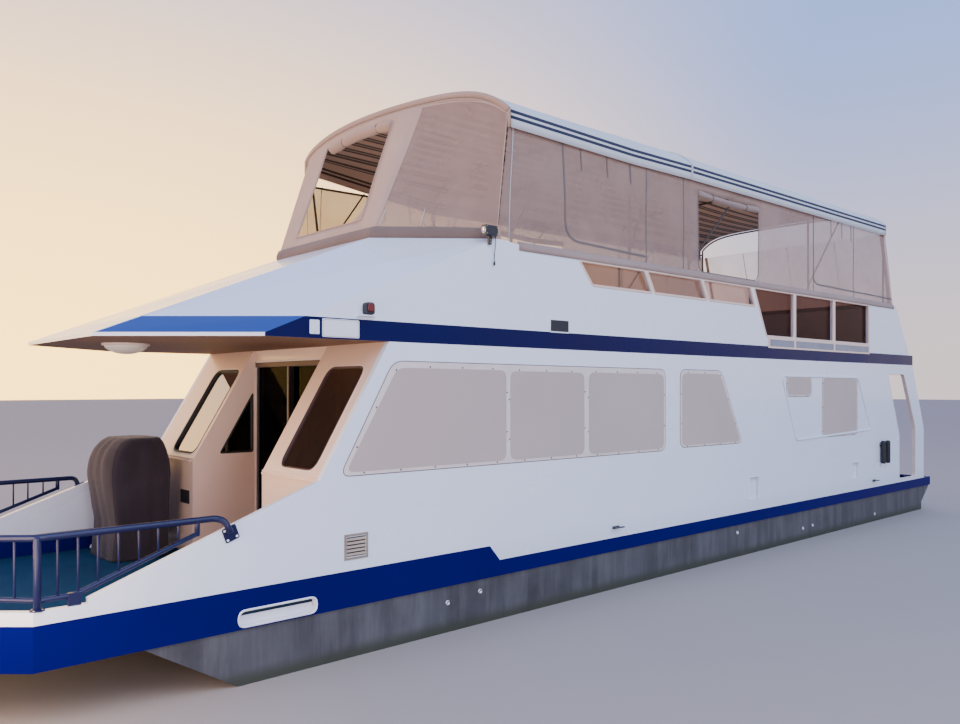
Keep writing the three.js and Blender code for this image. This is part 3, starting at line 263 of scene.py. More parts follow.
def place_effect(tree, group, **values):
    return add(tree, "ShaderNodeGroup", values, node_tree=group)


def blotches(tree, scale, contrast):
    """A mask of soft blotches."""
    return place_effect(tree, BLOTCHES, Scale=scale, Contrast=contrast).outputs["Mask"]


print("shader groups:", [g.name for g in (BLOTCHES, STREAKS, WEAVE, GRAIN)])

# %% [markdown]
# Finishes
#
# Each finish starts from one Principled shader. A painted side is glossy, with faint waves in the plating
# and thin grey runs. Numbers that are the same everywhere are set on the shader itself, and only what
# changes over the surface comes through nodes.

# %% Starting a finish
def new_finish(name, colour=(0.8, 0.8, 0.8), roughness=0.5, metallic=0.0, **sockets):
    """A material with a Principled shader; returns it with its tree and shader."""
    made = bpy.data.materials.new(name)
    made.use_nodes = True
    tree = made.node_tree
    shader = tree.nodes["Principled BSDF"]
    shader.inputs["Base Color"].default_value = (*colour, 1)
    shader.inputs["Roughness"].default_value = roughness
    shader.inputs["Metallic"].default_value = metallic
    for label, value in sockets.items():
        shader.inputs[label.replace("_", " ")].default_value = value
    return made, tree, shader


def feed(tree, shader, **sockets):
    for label, value in sockets.items():
        tree.links.new(value, shader.inputs[label.replace("_", " ")])


def bumped(tree, shader, height, distance, strength=1.0):
    bump = add(tree, "ShaderNodeBump", {"Height": height, "Distance": distance, "Strength": strength})
    tree.links.new(bump.outputs["Normal"], shader.inputs["Normal"])
    return bump


print("the first finish starts here, so there are", len(bpy.data.materials), "materials so far")

# %% Glossy paints
WAVE_DISTANCE = 0.0045


def paint_finish(name, colour, tint, runs_colour, roughness=0.24, cover=0.22, low_z=None, coat=0.35, shine=0.5):
    """Glossy paint over welded plate: slow waves, faint blotches and thin runs."""
    made, tree, shader = new_finish(name, colour, roughness, Coat_Weight=coat, Coat_Roughness=0.06,
                                    Specular_IOR_Level=shine)
    blotch = blotches(tree, 0.9, 1.6)
    runs = place_effect(tree, STREAKS, Across=7.0, Down=0.35, Cover=cover).outputs["Mask"]
    base = mixed(tree, blotch, (*colour, 1), (*tint, 1))
    thin = calc(tree, "MULTIPLY", runs, 0.35)
    if low_z is not None:
        thin = calc(tree, "ADD", thin, smooth_step(tree, axes_of(tree)["Z"], low_z + 0.25, low_z, 0.0, 0.25))
    feed(tree, shader, Base_Color=mixed(tree, thin, base, (*runs_colour, 1)),
         Roughness=smooth_step(tree, blotch, 0.2, 0.8, roughness - 0.05, roughness + 0.08))
    waves = ripples(tree, 1.15, 2.0)
    grain = place_effect(tree, GRAIN, Scale=240.0).outputs["Height"]
    bumped(tree, shader, calc(tree, "ADD", waves, calc(tree, "MULTIPLY", grain, 0.012)), WAVE_DISTANCE)
    return made


WHITE = paint_finish("white_paint", (0.74, 0.78, 0.85), (0.78, 0.81, 0.87), (0.52, 0.54, 0.57), low_z=0.577)
# The cabin's front walls, bulkheads, raked sills and upper window frames are white paint too; this warm peach tone is
# painted warm evening light.
WARM_LIT_WHITE = paint_finish("white_paint_painted_warm_light", (0.76, 0.54, 0.42), (0.80, 0.59, 0.47), (0.52, 0.38, 0.30), 0.38)
NAVY = paint_finish("navy_paint", (0.001, 0.0, 0.080), (0.002, 0.0, 0.100), (0.02, 0.022, 0.12), 0.34, 0.16,
                    coat=0.0, shine=0.05)
RAIL_NAVY = paint_finish("navy_tube", (0.003, 0.005, 0.034), (0.006, 0.009, 0.052), (0.02, 0.024, 0.06), 0.34, 0.3,
                         coat=0.1, shine=0.3)
print("paints:", [m.name for m in (WHITE, WARM_LIT_WHITE, NAVY, RAIL_NAVY)])

# %% [markdown]
# The roof slab carries four colours: navy on its side band, a clearer blue on the chamfered facets of the
# visor, white on the middle facet and along the thin lip, and underneath a dull warm brown, which is painted
# shade on the white paint. The colours end where the facets end, so they're worked out from the place of each
# point.

# %% Roof paint
BEAM_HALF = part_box("roof")[1].y
RIDGE_NOSE = (6.46, 0.95)
RIDGE_SLOPE = 0.0248
LIP_TOP = 2.67
PAINT_EDGE = 0.0008
roof_low, roof_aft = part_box("roof")[0].z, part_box("roof")[0].x


def roof_finish():
    made, tree, shader = new_finish("roof_paint", roughness=0.26, Coat_Roughness=0.06, Specular_IOR_Level=0.15)
    axes = axes_of(tree)
    across = calc(tree, "ABSOLUTE", axes["Y"])
    ridge = calc(tree, "SUBTRACT", RIDGE_NOSE[1],
                 calc(tree, "MULTIPLY", calc(tree, "SUBTRACT", RIDGE_NOSE[0], axes["X"]), RIDGE_SLOPE))
    side = calc(tree, "MAXIMUM", calc(tree, "GREATER_THAN", across, BEAM_HALF - PAINT_EDGE),
                calc(tree, "LESS_THAN", axes["X"], roof_aft + PAINT_EDGE))
    facet = calc(tree, "MULTIPLY", calc(tree, "GREATER_THAN", across, calc(tree, "ADD", ridge, 0.012)),
                 calc(tree, "GREATER_THAN", axes["Z"], LIP_TOP + 0.002))
    facet = calc(tree, "MULTIPLY", facet, calc(tree, "GREATER_THAN", axes["X"], 0))
    navy = calc(tree, "MAXIMUM", side, facet)
    under = calc(tree, "LESS_THAN", axes["Z"], roof_low + 0.001)
    blotch = blotches(tree, 0.8, 1.5)
    white = mixed(tree, blotch, (0.76, 0.79, 0.85, 1), (0.81, 0.83, 0.88, 1))
    band_blue = mixed(tree, blotch, (0.0, 0.001, 0.046, 1), (0.0, 0.003, 0.066, 1))
    blue = mixed(tree, side, (0.010, 0.046, 0.24, 1), band_blue)
    # The underside is white paint; this dull warm brown is painted shade.
    painted_underside_shade = mixed(tree, blotch, (0.17, 0.098, 0.060, 1), (0.21, 0.125, 0.080, 1))
    feed(tree, shader, Base_Color=mixed(tree, under, mixed(tree, navy, white, blue), painted_underside_shade),
         Roughness=calc(tree, "MAXIMUM", smooth_step(tree, blotch, 0.2, 0.8, 0.22, 0.34),
                        calc(tree, "MULTIPLY", under, 0.62)),
         Coat_Weight=calc(tree, "MULTIPLY", calc(tree, "SUBTRACT", 1.0, calc(tree, "MAXIMUM", side, under)), 0.35))
    bumped(tree, shader, ripples(tree, 1.0, 2.0), WAVE_DISTANCE)
    return made


ROOF = roof_finish()
print("roof paint:", len(ROOF.node_tree.nodes), "nodes")

# %% [markdown]
# The hull is bare metal, dulled by water: dark in blotches, with pale runs down its sides and a scum line at
# the water. The decks are a fuzzy blue carpet forward and a plain panel aft.

# %% Hull, decks and other hard finishes
def hull_finish():
    made, tree, shader = new_finish("hull_metal", (0.16, 0.17, 0.18), 0.5, 0.35, Specular_IOR_Level=0.25)
    height = axes_of(tree)["Z"]
    blotch = blotches(tree, 1.6, 2.2)
    runs = place_effect(tree, STREAKS, Across=6.5, Down=0.7, Cover=0.75).outputs["Mask"]
    fine = place_effect(tree, STREAKS, Across=26.0, Down=1.4, Cover=0.45).outputs["Mask"]
    base = mixed(tree, blotch, (0.055, 0.054, 0.060, 1), (0.105, 0.104, 0.112, 1))
    pale = calc(tree, "MAXIMUM", calc(tree, "MULTIPLY", runs, 0.20), calc(tree, "MULTIPLY", fine, 0.13))
    scum = smooth_step(tree, height, 0.14, 0.02)
    streaked = mixed(tree, pale, base, (0.24, 0.235, 0.235, 1))
    feed(tree, shader, Base_Color=mixed(tree, scum, streaked, (0.055, 0.060, 0.045, 1)),
         Roughness=smooth_step(tree, blotch, 0.1, 0.9, 0.38, 0.68))
    bumped(tree, shader, ripples(tree, 2.2, 4.0), 0.012)
    return made


def carpet_finish():
    made, tree, shader = new_finish("deck_carpet", (0.004, 0.040, 0.085), 0.95, Specular_IOR_Level=0.1)
    blotch = blotches(tree, 2.4, 2.0)
    pile = place_effect(tree, GRAIN, Scale=210.0).outputs["Height"]
    tone = mixed(tree, blotch, (0.003, 0.028, 0.062, 1), (0.008, 0.052, 0.100, 1))
    feed(tree, shader, Base_Color=mixed(tree, calc(tree, "MULTIPLY", pile, 0.5), tone, (0.015, 0.07, 0.13, 1)))
    bumped(tree, shader, pile, 0.004)
    return made


def plain_finish(name, dark, light, roughness, metallic=0.0, grain=300.0, stretch=1.0, depth=0.0006, **sockets):
    """A plain coloured surface with blotches of two tones and a fine grain."""
    made, tree, shader = new_finish(name, light, roughness, metallic, **sockets)
    blotch = blotches(tree, 5.0, 1.8)
    fine = place_effect(tree, GRAIN, Scale=grain, Stretch=stretch).outputs["Height"]
    feed(tree, shader, Base_Color=mixed(tree, blotch, (*dark, 1), (*light, 1)),
         Roughness=smooth_step(tree, fine, 0.2, 0.8, max(roughness - 0.08, 0.03), min(roughness + 0.1, 1.0)))
    bumped(tree, shader, fine, depth)
    return made


HULL = hull_finish()
CARPET = carpet_finish()
PANEL = plain_finish("deck_panel", (0.42, 0.40, 0.36), (0.55, 0.53, 0.49), 0.7, grain=90.0, depth=0.001)
DARK = plain_finish("dark_frame", (0.010, 0.010, 0.013), (0.022, 0.021, 0.026), 0.42)
RUBBER = plain_finish("black_rubber", (0.008, 0.008, 0.009), (0.020, 0.020, 0.021), 0.62, grain=160.0)
TUBE = plain_finish("polished_tube", (0.42, 0.42, 0.43), (0.62, 0.62, 0.63), 0.26, 0.95, grain=400.0, depth=0.0001)
BRONZE_TUBE = plain_finish("dull_tube", (0.035, 0.028, 0.025), (0.065, 0.052, 0.046), 0.4, 0.5, grain=400.0,
                           depth=0.0001)
ENGINE = plain_finish("engine_paint", (0.025, 0.03, 0.035), (0.05, 0.055, 0.06), 0.45, grain=120.0)
DRIVE = plain_finish("drive_paint", (0.030, 0.032, 0.036), (0.055, 0.058, 0.064), 0.38, 0.2, grain=150.0)
BLADES = plain_finish("propeller_metal", (0.45, 0.45, 0.46), (0.62, 0.62, 0.63), 0.3, 0.9, grain=200.0, stretch=0.2)
TRIM = plain_finish("window_trim", (0.66, 0.56, 0.50), (0.76, 0.66, 0.60), 0.55)
BOLT = plain_finish("bolt_metal", (0.60, 0.60, 0.62), (0.75, 0.75, 0.77), 0.3, 0.9, depth=0.0001)
BRICK_RED = plain_finish("lens_red", (0.10, 0.010, 0.012), (0.15, 0.016, 0.018), 0.2)
HEADER_BROWN = plain_finish("header_brown", (0.045, 0.016, 0.013), (0.075, 0.028, 0.022), 0.45)
VENT_TAN = plain_finish("vent_tan", (0.13, 0.095, 0.068), (0.20, 0.15, 0.11), 0.5)
LOUVRE_TAN = plain_finish("louvre_tan", (0.34, 0.25, 0.18), (0.44, 0.34, 0.255), 0.5)
SHADOW_LINE = plain_finish("shadow_line", (0.13, 0.10, 0.09), (0.19, 0.15, 0.135), 0.8)
VENT_FRAME = plain_finish("vent_frame", (0.22, 0.175, 0.135), (0.30, 0.245, 0.195), 0.5)
PLATE_WHITE = plain_finish("plate_white", (0.72, 0.73, 0.76), (0.80, 0.81, 0.84), 0.4)
print("hard finishes:", len(bpy.data.materials))

# %% [markdown]
# Cloth finishes
#
# A striped roof cloth, taupe screens that let some light through, canvas and bindings for their borders, a
# tight pale cover over each window, and dark drapes. Their threads follow the cloth's own UV map, which is in
# metres, so the weave keeps its scale on every piece.

# %% Cloth
def cloth_place(tree):
    return add(tree, "ShaderNodeTexCoord").outputs["UV"]


def band(tree, value, low, high):
    """1 where a value lies between two bounds."""
    return calc(tree, "MULTIPLY", calc(tree, "GREATER_THAN", value, low), calc(tree, "LESS_THAN", value, high))


def cloth_finish(name, dark, light, alpha=1.0, threads=260.0, depth=0.0012, wrinkle=0.010, scale=1.3):
    """A woven cloth: two close tones, threads, and slow wrinkles."""
    made, tree, shader = new_finish(name, light, 0.85, Sheen_Weight=0.15)
    place = cloth_place(tree)
    blotch = blotches(tree, scale, 1.8)
    weave = place_effect(tree, WEAVE, Place=place, Threads=threads)
    tone = mixed(tree, blotch, (*dark, 1), (*light, 1))
    shade = mixed(tree, calc(tree, "MULTIPLY", weave.outputs["Gap"], 0.35), tone, (*[v * 0.5 for v in dark], 1))
    feed(tree, shader, Base_Color=shade)
    if alpha < 1.0:
        feed(tree, shader, Alpha=smooth_step(tree, blotch, 0.1, 0.9, alpha - 0.05, alpha + 0.05))
    folds = ripples(tree, 2.6, 3.0, Distortion=0.6)
    height = calc(tree, "ADD", calc(tree, "MULTIPLY", folds, wrinkle),
                  calc(tree, "MULTIPLY", weave.outputs["Height"], depth))
    bumped(tree, shader, height, 1.0)
    return made


print("finishes before the cloths:", len(bpy.data.materials))

# %% Striped roof cloth
HEM_STRIPES = ((0.080, 0.112), (0.136, 0.168))
ROOF_CLOTH_HALF = 2.03
EAVE_CLEAR = 0.34
STRIPE_START = 0.085


def striped_finish(name, ground, shade, stripe, hem_stripe, pairs=(0.035, 0.022, 0.26)):
    """Roof cloth: v runs from the port hem (0) over the top to the starboard hem."""
    made, tree, shader = new_finish(name, ground, 0.8, Sheen_Weight=0.1)
    place = cloth_place(tree)
    v = add(tree, "ShaderNodeSeparateXYZ", {0: place}).outputs["Y"]
    centre = calc(tree, "ABSOLUTE", calc(tree, "SUBTRACT", v, ROOF_CLOTH_HALF))
    hem = calc(tree, "SUBTRACT", ROOF_CLOTH_HALF, centre)
    stripe_wide, stripe_gap, period = pairs
    phase = calc(tree, "FLOORED_MODULO", calc(tree, "ADD", centre, STRIPE_START), period)
    pair = calc(tree, "ADD", band(tree, phase, 0.0, stripe_wide),
                band(tree, phase, stripe_wide + stripe_gap, 2 * stripe_wide + stripe_gap))
    roof = calc(tree, "MULTIPLY", pair, calc(tree, "GREATER_THAN", hem, EAVE_CLEAR))
    edge_pair = calc(tree, "ADD", band(tree, hem, *HEM_STRIPES[0]), band(tree, hem, *HEM_STRIPES[1]))
    blotch = blotches(tree, 1.1, 1.6)
    weave = place_effect(tree, WEAVE, Place=place, Threads=260.0)
    tone = mixed(tree, blotch, (*shade, 1), (*ground, 1))
    striped = mixed(tree, edge_pair, mixed(tree, roof, tone, (*stripe, 1)), (*hem_stripe, 1))
    feed(tree, shader, Base_Color=striped)
    folds = ripples(tree, 1.7, 3.0)
    height = calc(tree, "ADD", calc(tree, "MULTIPLY", folds, 0.012),
                  calc(tree, "MULTIPLY", weave.outputs["Height"], 0.001))
    bumped(tree, shader, height, 1.0)
    return made


CANOPY_OUT = striped_finish("canopy_cloth", (0.66, 0.67, 0.67), (0.56, 0.57, 0.58), (0.012, 0.016, 0.05),
                            (0.010, 0.014, 0.045))
CANOPY_IN = striped_finish("canopy_underside", (0.37, 0.25, 0.19), (0.31, 0.205, 0.155), (0.016, 0.009, 0.008),
                          (0.016, 0.009, 0.008), (0.052, 0.018, 0.24))
print("stripes along a hem:", len(HEM_STRIPES))

# %% Screens, canvas, covers and drapes
SCREEN = cloth_finish("curtain_mesh", (0.41, 0.268, 0.215), (0.50, 0.335, 0.268), alpha=0.50)
SCREEN_HEM = cloth_finish("mesh_hem", (0.33, 0.228, 0.192), (0.40, 0.282, 0.238))
CLEAR_SCREEN = cloth_finish("clear_mesh", (0.46, 0.30, 0.245), (0.54, 0.365, 0.30), alpha=0.50)
CLEAR_FILM = cloth_finish("clear_film", (0.55, 0.48, 0.44), (0.65, 0.58, 0.54), alpha=0.14)
CANVAS = cloth_finish("canvas", (0.45, 0.305, 0.235), (0.54, 0.375, 0.29), threads=320.0)
# The foot band's canvas is the same canvas, darkened by painted shade.
SHADED_BAND_CANVAS = cloth_finish("canvas_painted_shade", (0.150, 0.100, 0.080), (0.20, 0.135, 0.108), threads=320.0)
SEAM = cloth_finish("seam_tape", (0.15, 0.12, 0.11), (0.20, 0.165, 0.15), threads=500.0, wrinkle=0.002)
WHITE_CLOTH = cloth_finish("white_binding", (0.56, 0.53, 0.51), (0.66, 0.63, 0.60), threads=500.0, wrinkle=0.002)
WINDOW_CLOTH = cloth_finish("window_cover", (0.50, 0.395, 0.34), (0.56, 0.445, 0.39), threads=380.0,
                            wrinkle=0.004, scale=0.8)
COVER = cloth_finish("cover_cloth", (0.011, 0.005, 0.010), (0.028, 0.015, 0.023), threads=300.0, wrinkle=0.022,
                     scale=3.4)
DRAPE = cloth_finish("dark_drape", (0.012, 0.011, 0.018), (0.028, 0.024, 0.032), threads=300.0, wrinkle=0.01)
PALE_DRAPE = cloth_finish("grey_drape", (0.05, 0.045, 0.047), (0.10, 0.09, 0.09), threads=300.0, wrinkle=0.01)
VINYL = plain_finish("seat_vinyl", (0.55, 0.53, 0.50), (0.66, 0.64, 0.61), 0.45, grain=220.0, depth=0.0012)
print("finishes:", len(bpy.data.materials))

# %% [markdown]
# Glass
#
# The panes are tinted brown and hide a dark cabin, so most of what shows in them is the sky. One recipe serves
# all of them: the panes at the cabin's front have a film, and upstairs the aft ones are darker than the forward
# ones, a painted shade, and they also bend the light less.

# %% Panes and lamp glass
# Aft of here the upper panes take a darker tint, which is painted shade
AFT_PANES_X = -1.69
AFT_PANES_BEND = 1.10


def glass_finish(name, colour, roughness=0.03, film=0.0, bend=1.5, aft_shade_colour=None):
    made, tree, shader = new_finish(name, colour, roughness, Transmission_Weight=1.0, IOR=bend, Coat_Weight=film,
                                    Coat_IOR=3.3, Coat_Roughness=0.02, Coat_Tint=(1.0, 0.82, 0.64, 1))
    bumped(tree, shader, ripples(tree, 1.1, 1.0), 0.0012)
    blotch = blotches(tree, 2.0, 1.5)
    tone = mixed(tree, blotch, (*[v * 0.8 for v in colour], 1), (*colour, 1))
    if aft_shade_colour:
        aft = calc(tree, "LESS_THAN", axes_of(tree)["X"], AFT_PANES_X)
        tone = mixed(tree, aft, tone, (*aft_shade_colour, 1))
        feed(tree, shader, IOR=calc(tree, "SUBTRACT", bend, calc(tree, "MULTIPLY", aft, bend - AFT_PANES_BEND)))
    feed(tree, shader, Base_Color=tone)
    return made


GLASS = glass_finish("tinted_glass", (0.20, 0.13, 0.10))
MIRROR_GLASS = glass_finish("filmed_glass", (0.20, 0.13, 0.10), film=1.0)
DOOR_GLASS = glass_finish("door_glass", (0.12, 0.08, 0.07), bend=1.06)
STRIP_GLASS = plain_finish("strip_glass", (0.16, 0.18, 0.23), (0.24, 0.26, 0.32), 0.08)
UPPER_GLASS = glass_finish("upper_glass", (0.60, 0.44, 0.39), aft_shade_colour=(0.14, 0.070, 0.056))
LAMP = plain_finish("lamp_glass", (0.66, 0.63, 0.58), (0.74, 0.71, 0.66), 0.25, depth=0.0002)
print("glass:", [m.name for m in (GLASS, MIRROR_GLASS, DOOR_GLASS, STRIP_GLASS, UPPER_GLASS, LAMP)])

# %% [markdown]
# Finishing the solids
#
# Most solids already have the right shape, so they only get their finish. The record's slot names say which
# finish each one takes.

# %% Dress the solids
SLOT_FINISHES = {
    "hull_metal": HULL, "navy_paint": NAVY, "white_paint": WHITE, "deck_carpet": CARPET, "deck_panel": PANEL,
    "window_cover": WINDOW_CLOTH, "tinted_glass": GLASS, "dark_frame": DARK, "canopy_cloth": CANOPY_OUT,
    "polished_tube": TUBE, "curtain_mesh": SCREEN, "navy_tube": RAIL_NAVY, "cover_cloth": COVER,
    "black_rubber": RUBBER, "engine_paint": ENGINE, "drive_paint": DRIVE, "propeller_metal": BLADES,
    "seat_vinyl": VINYL, "lamp_glass": LAMP,
}
SPECIAL_FINISHES = {
    "roof": ROOF, "front_quarter_port": WARM_LIT_WHITE, "front_quarter_starboard": WARM_LIT_WHITE, "front_bulkhead": WARM_LIT_WHITE,
    "aft_bulkhead": WARM_LIT_WHITE, "side_windows_port": DARK, "side_windows_starboard": DARK,
    "upper_glass_port": UPPER_GLASS, "upper_glass_starboard": UPPER_GLASS,
    "front_glass_port": MIRROR_GLASS, "front_glass_starboard": MIRROR_GLASS,
}
slot_of = {part["node"]: part["material_slot"] for part in frame["record"]["subparts"]}
for name, node in nodes.items():
    node.data.materials.clear()
    node.data.materials.append(SPECIAL_FINISHES.get(name, SLOT_FINISHES[slot_of[name]]))
print("dressed:", len(nodes))

# %% [markdown]
# The other finishes belong to the same slots: paint, tube, glass or cloth, and this table says which slot
# each finish belongs to.

# %% Usual slots
OTHER_FINISHES = {
    "white_paint": (WARM_LIT_WHITE, TRIM, PLATE_WHITE, LOUVRE_TAN, VENT_FRAME), "polished_tube": (BOLT, BRONZE_TUBE),
    "curtain_mesh": (SCREEN_HEM, CLEAR_SCREEN, CLEAR_FILM, CANVAS, SHADED_BAND_CANVAS, SEAM, WHITE_CLOTH),
    "tinted_glass": (MIRROR_GLASS, DOOR_GLASS, STRIP_GLASS), "dark_frame": (HEADER_BROWN, VENT_TAN),
    "lamp_glass": (BRICK_RED,), "window_cover": (SHADOW_LINE,), "cover_cloth": (DRAPE, PALE_DRAPE),
}
USUAL_SLOTS = {finish.name: slot for slot, finish in SLOT_FINISHES.items()}
USUAL_SLOTS.update({finish.name: slot for slot, others in OTHER_FINISHES.items() for finish in others})
print("usual slots:", len(USUAL_SLOTS))

# %% [markdown]
# Making shapes
#
# A few helpers make most of the added pieces: a mesh from points, tubes along bent paths, blocks with softened
# edges, turned shapes, and patchwork cloth. A patchwork is a surface given by a formula and cut into columns and
# rows, and each patch takes its own cloth or is left open for a window.

# %% Meshes from points
SIDES = (("port", 1), ("starboard", -1))


def finished(name, mesh, finish, body="boat", slot=None, smooth=True):
    """Puts a mesh in the scene with its finish and the body it moves with; its slot is looked up but not kept."""
    piece = bpy.data.objects.new(name, mesh)
    scene.collection.objects.link(piece)
    finishes = finish if isinstance(finish, list) else [finish]
    for material in finishes:
        mesh.materials.append(material)
    for polygon in mesh.polygons:
        polygon.use_smooth = smooth
    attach(piece, body)
    slot or USUAL_SLOTS[finishes[0].name]
    return piece


def mesh_from(name, points, faces):
    mesh = bpy.data.meshes.new(name)
    mesh.from_pydata([tuple(p) for p in points], [], faces)
    mesh.update()
    return mesh


def joined(parts):
    """One list of points and faces from several."""
    points, faces = [], []
    for part_points, part_faces in parts:
        start = len(points)
        points.extend(part_points)
        faces.extend([tuple(i + start for i in face) for face in part_faces])
    return points, faces


def quads(rows, wide, closed=True, looped=False):
    """Faces between rows of points: closed joins each row's ends, looped joins the last row to the first."""
    return [(j * wide + i, j * wide + (i + 1) % wide, (j + 1) % rows * wide + (i + 1) % wide, (j + 1) % rows * wide + i)
            for j in range(rows if looped else rows - 1) for i in range(wide if closed else wide - 1)]


def circle(centre, across, other, radius, count):
    """Points on a circle, starting at across and turning towards other."""
    return [centre + (across * math.cos(t) + other * math.sin(t)) * radius
            for t in (2 * math.pi * k / count for k in range(count))]


print("a grid of 3 by 4 points has", len(quads(3, 4, closed=False)), "faces, and a ring of them", len(quads(3, 4)))

# %% Tubes
# How far a tube's domed end reaches past it, and how wide the dome's last ring is, as shares of its radius
DOME_REACH, DOME_SHARE = 0.35, 0.72


def rounded(path, bend, steps=5, closed=False):
    """A path whose corners are replaced by smooth bends."""
    stops = [Vector(p) for p in path]
    if not bend:
        return stops
    result = []
    count = len(stops)
    for i, stop in enumerate(stops):
        if not closed and i in (0, count - 1):
            result.append(stop)
            continue
        before, after = stops[i - 1], stops[(i + 1) % count]
        reach = min(bend, (before - stop).length * 0.48, (after - stop).length * 0.48)
        start = stop + (before - stop).normalized() * reach
        end = stop + (after - stop).normalized() * reach
        for k in range(steps + 1):
            t = k / steps
            result.append(start * (1 - t) ** 2 + stop * 2 * t * (1 - t) + end * t ** 2)
    return result


def swept(path, radius, sides=14, closed=False):
    """Points and faces of a round tube along a path, with domed ends."""
    stops = [Vector(p) for p in path]
    count = len(stops)
    tangents = []
    for i in range(count):
        before = stops[i - 1] if i or closed else stops[i]
        after = stops[(i + 1) % count] if i < count - 1 or closed else stops[i]
        tangents.append((after - before).normalized())
    normal = tangents[0].orthogonal().normalized()
    points = []
    for i, stop in enumerate(stops):
        normal = (normal - tangents[i] * normal.dot(tangents[i])).normalized()
        other = tangents[i].cross(normal)
        if i == 0 and not closed:
            points += circle(stop - tangents[i] * radius * DOME_REACH, normal, other, radius * DOME_SHARE, sides)
        points += circle(stop, normal, other, radius, sides)
        if i == count - 1 and not closed:
            points += circle(stop + tangents[i] * radius * DOME_REACH, normal, other, radius * DOME_SHARE, sides)
    faces = quads(len(points) // sides, sides, looped=closed)
    if not closed:
        faces += [tuple(reversed(range(sides))), tuple(range(len(points) - sides, len(points)))]
    return points, faces


def tubes(name, runs, finish, body="boat", slot=None, sides=14):
    """One piece from several tubes: each run is (path, radius, bend)."""
    parts = [swept(rounded(path, bend), radius, sides) for path, radius, bend in runs]
    return shape(name, parts, finish, None, body, slot)


print("a straight tube has", len(swept([(0, 0, 0), (1, 0, 0)], 0.01)[0]), "points")

# %% Blocks and plates
def soften(mesh, width, segments=2, angle=30):
    """Rounds the sharp edges of a mesh."""
    work = bmesh.new()
    work.from_mesh(mesh)
    bmesh.ops.remove_doubles(work, verts=work.verts, dist=1e-6)
    bmesh.ops.recalc_face_normals(work, faces=work.faces)
    sharp = [e for e in work.edges if len(e.link_faces) == 2 and e.calc_face_angle(0) > math.radians(angle)]
    if width:
        bmesh.ops.bevel(work, geom=sharp, offset=width, segments=segments, affect="EDGES", profile=0.6,
                        clamp_overlap=True)
    work.to_mesh(mesh)
    work.free()
    mesh.update()
    return mesh


def shape(name, parts, finish, width=0, body="boat", slot=None, smooth=True):
    """One piece from several parts; width rounds its sharp edges, and None leaves the parts as they are."""
    mesh = mesh_from(name, *joined(parts))
    if width is not None:
        soften(mesh, width)
    return finished(name, mesh, finish, body, slot, smooth)


BLOCK_FACES = [(0, 1, 3, 2), (4, 6, 7, 5), (0, 4, 5, 1), (2, 3, 7, 6), (0, 2, 6, 4), (1, 5, 7, 3)]


def block(low, high):
    points = [(x, y, z) for x in (low[0], high[0]) for y in (low[1], high[1]) for z in (low[2], high[2])]
    return points, BLOCK_FACES


def blocks(name, boxes, finish, width=0.004, body="boat", slot=None):
    """One piece from several blocks with softened edges."""
    return shape(name, [block(low, high) for low, high in boxes], finish, width, body, slot, smooth=False)


def slab(outline, to_place, low, high):
    """A flat outline with a thickness; to_place turns (u, v, w) into a point."""
    count = len(outline)
    points = [to_place(u, v, w) for w in (low, high) for u, v in outline]
    return points, [tuple(reversed(range(count))), tuple(range(count, 2 * count)), *quads(2, count)]


def plates(name, outlines, to_place, low, high, finish, width=0.003, body="boat", slot=None):
    """One piece from several flat outlines with a thickness."""
    parts = [slab(outline, to_place, low, high) for outline in outlines]
    return shape(name, parts, finish, width, body, slot, smooth=False)


print("a block has", len(block((0, 0, 0), (1, 1, 1))[1]), "faces")

# %% Outlines and the frames round them
def shifted(outline, out):
    """An outline moved outwards, or inwards when out is negative; it runs anticlockwise."""
    count = len(outline)
    area = sum(outline[i - 1][0] * outline[i][1] - outline[i][0] * outline[i - 1][1] for i in range(count))
    sign = 1 if area > 0 else -1
    result = []
    for i in range(count):
        before, here, after = (Vector(outline[k % count][:2]) for k in (i - 1, i, i + 1))
        into, away = (here - before).normalized(), (after - here).normalized()
        first, second = Vector((into.y, -into.x)), Vector((away.y, -away.x))
        mitre = (first + second).normalized()
        result.append(tuple(here + mitre * (sign * out / max(mitre.dot(first), 0.3))))
    return result


def round_corners(outline, radius, steps=5):
    return [tuple(p[:2]) for p in rounded([(u, v, 0) for u, v in outline], radius, steps, closed=True)]


def ring_of(x0, x1, z0, z1, bend=0.0):
    """A rectangle's outline, with rounded corners if bend is given."""
    corners = [(x0, z0), (x1, z0), (x1, z1), (x0, z1)]
    return round_corners(corners, bend, 4) if bend else corners


def surround(outline, to_place, inner, outer, low, high):
    """A raised frame that follows an outline, from inner to outer, with rounded shoulders."""
    ease = min((high - low), (outer - inner)) * 0.3
    section = [(outer, low), (outer, high - ease), (outer - ease, high), (inner + ease, high), (inner, high - ease),
               (inner, low)]
    points = [to_place(u, v, w) for out, w in section for u, v in shifted(outline, out)]
    return points, quads(len(section), len(outline), looped=True)


def surrounds(name, outlines, to_place, inner, outer, low, high, finish, body="boat", slot=None):
    parts = [surround(outline, to_place, inner, outer, low, high) for outline in outlines]
    return shape(name, parts, finish, 0, body, slot, smooth=False)


print("a rectangle with rounded corners has", len(ring_of(0, 2, 0, 1, 0.1)), "points")

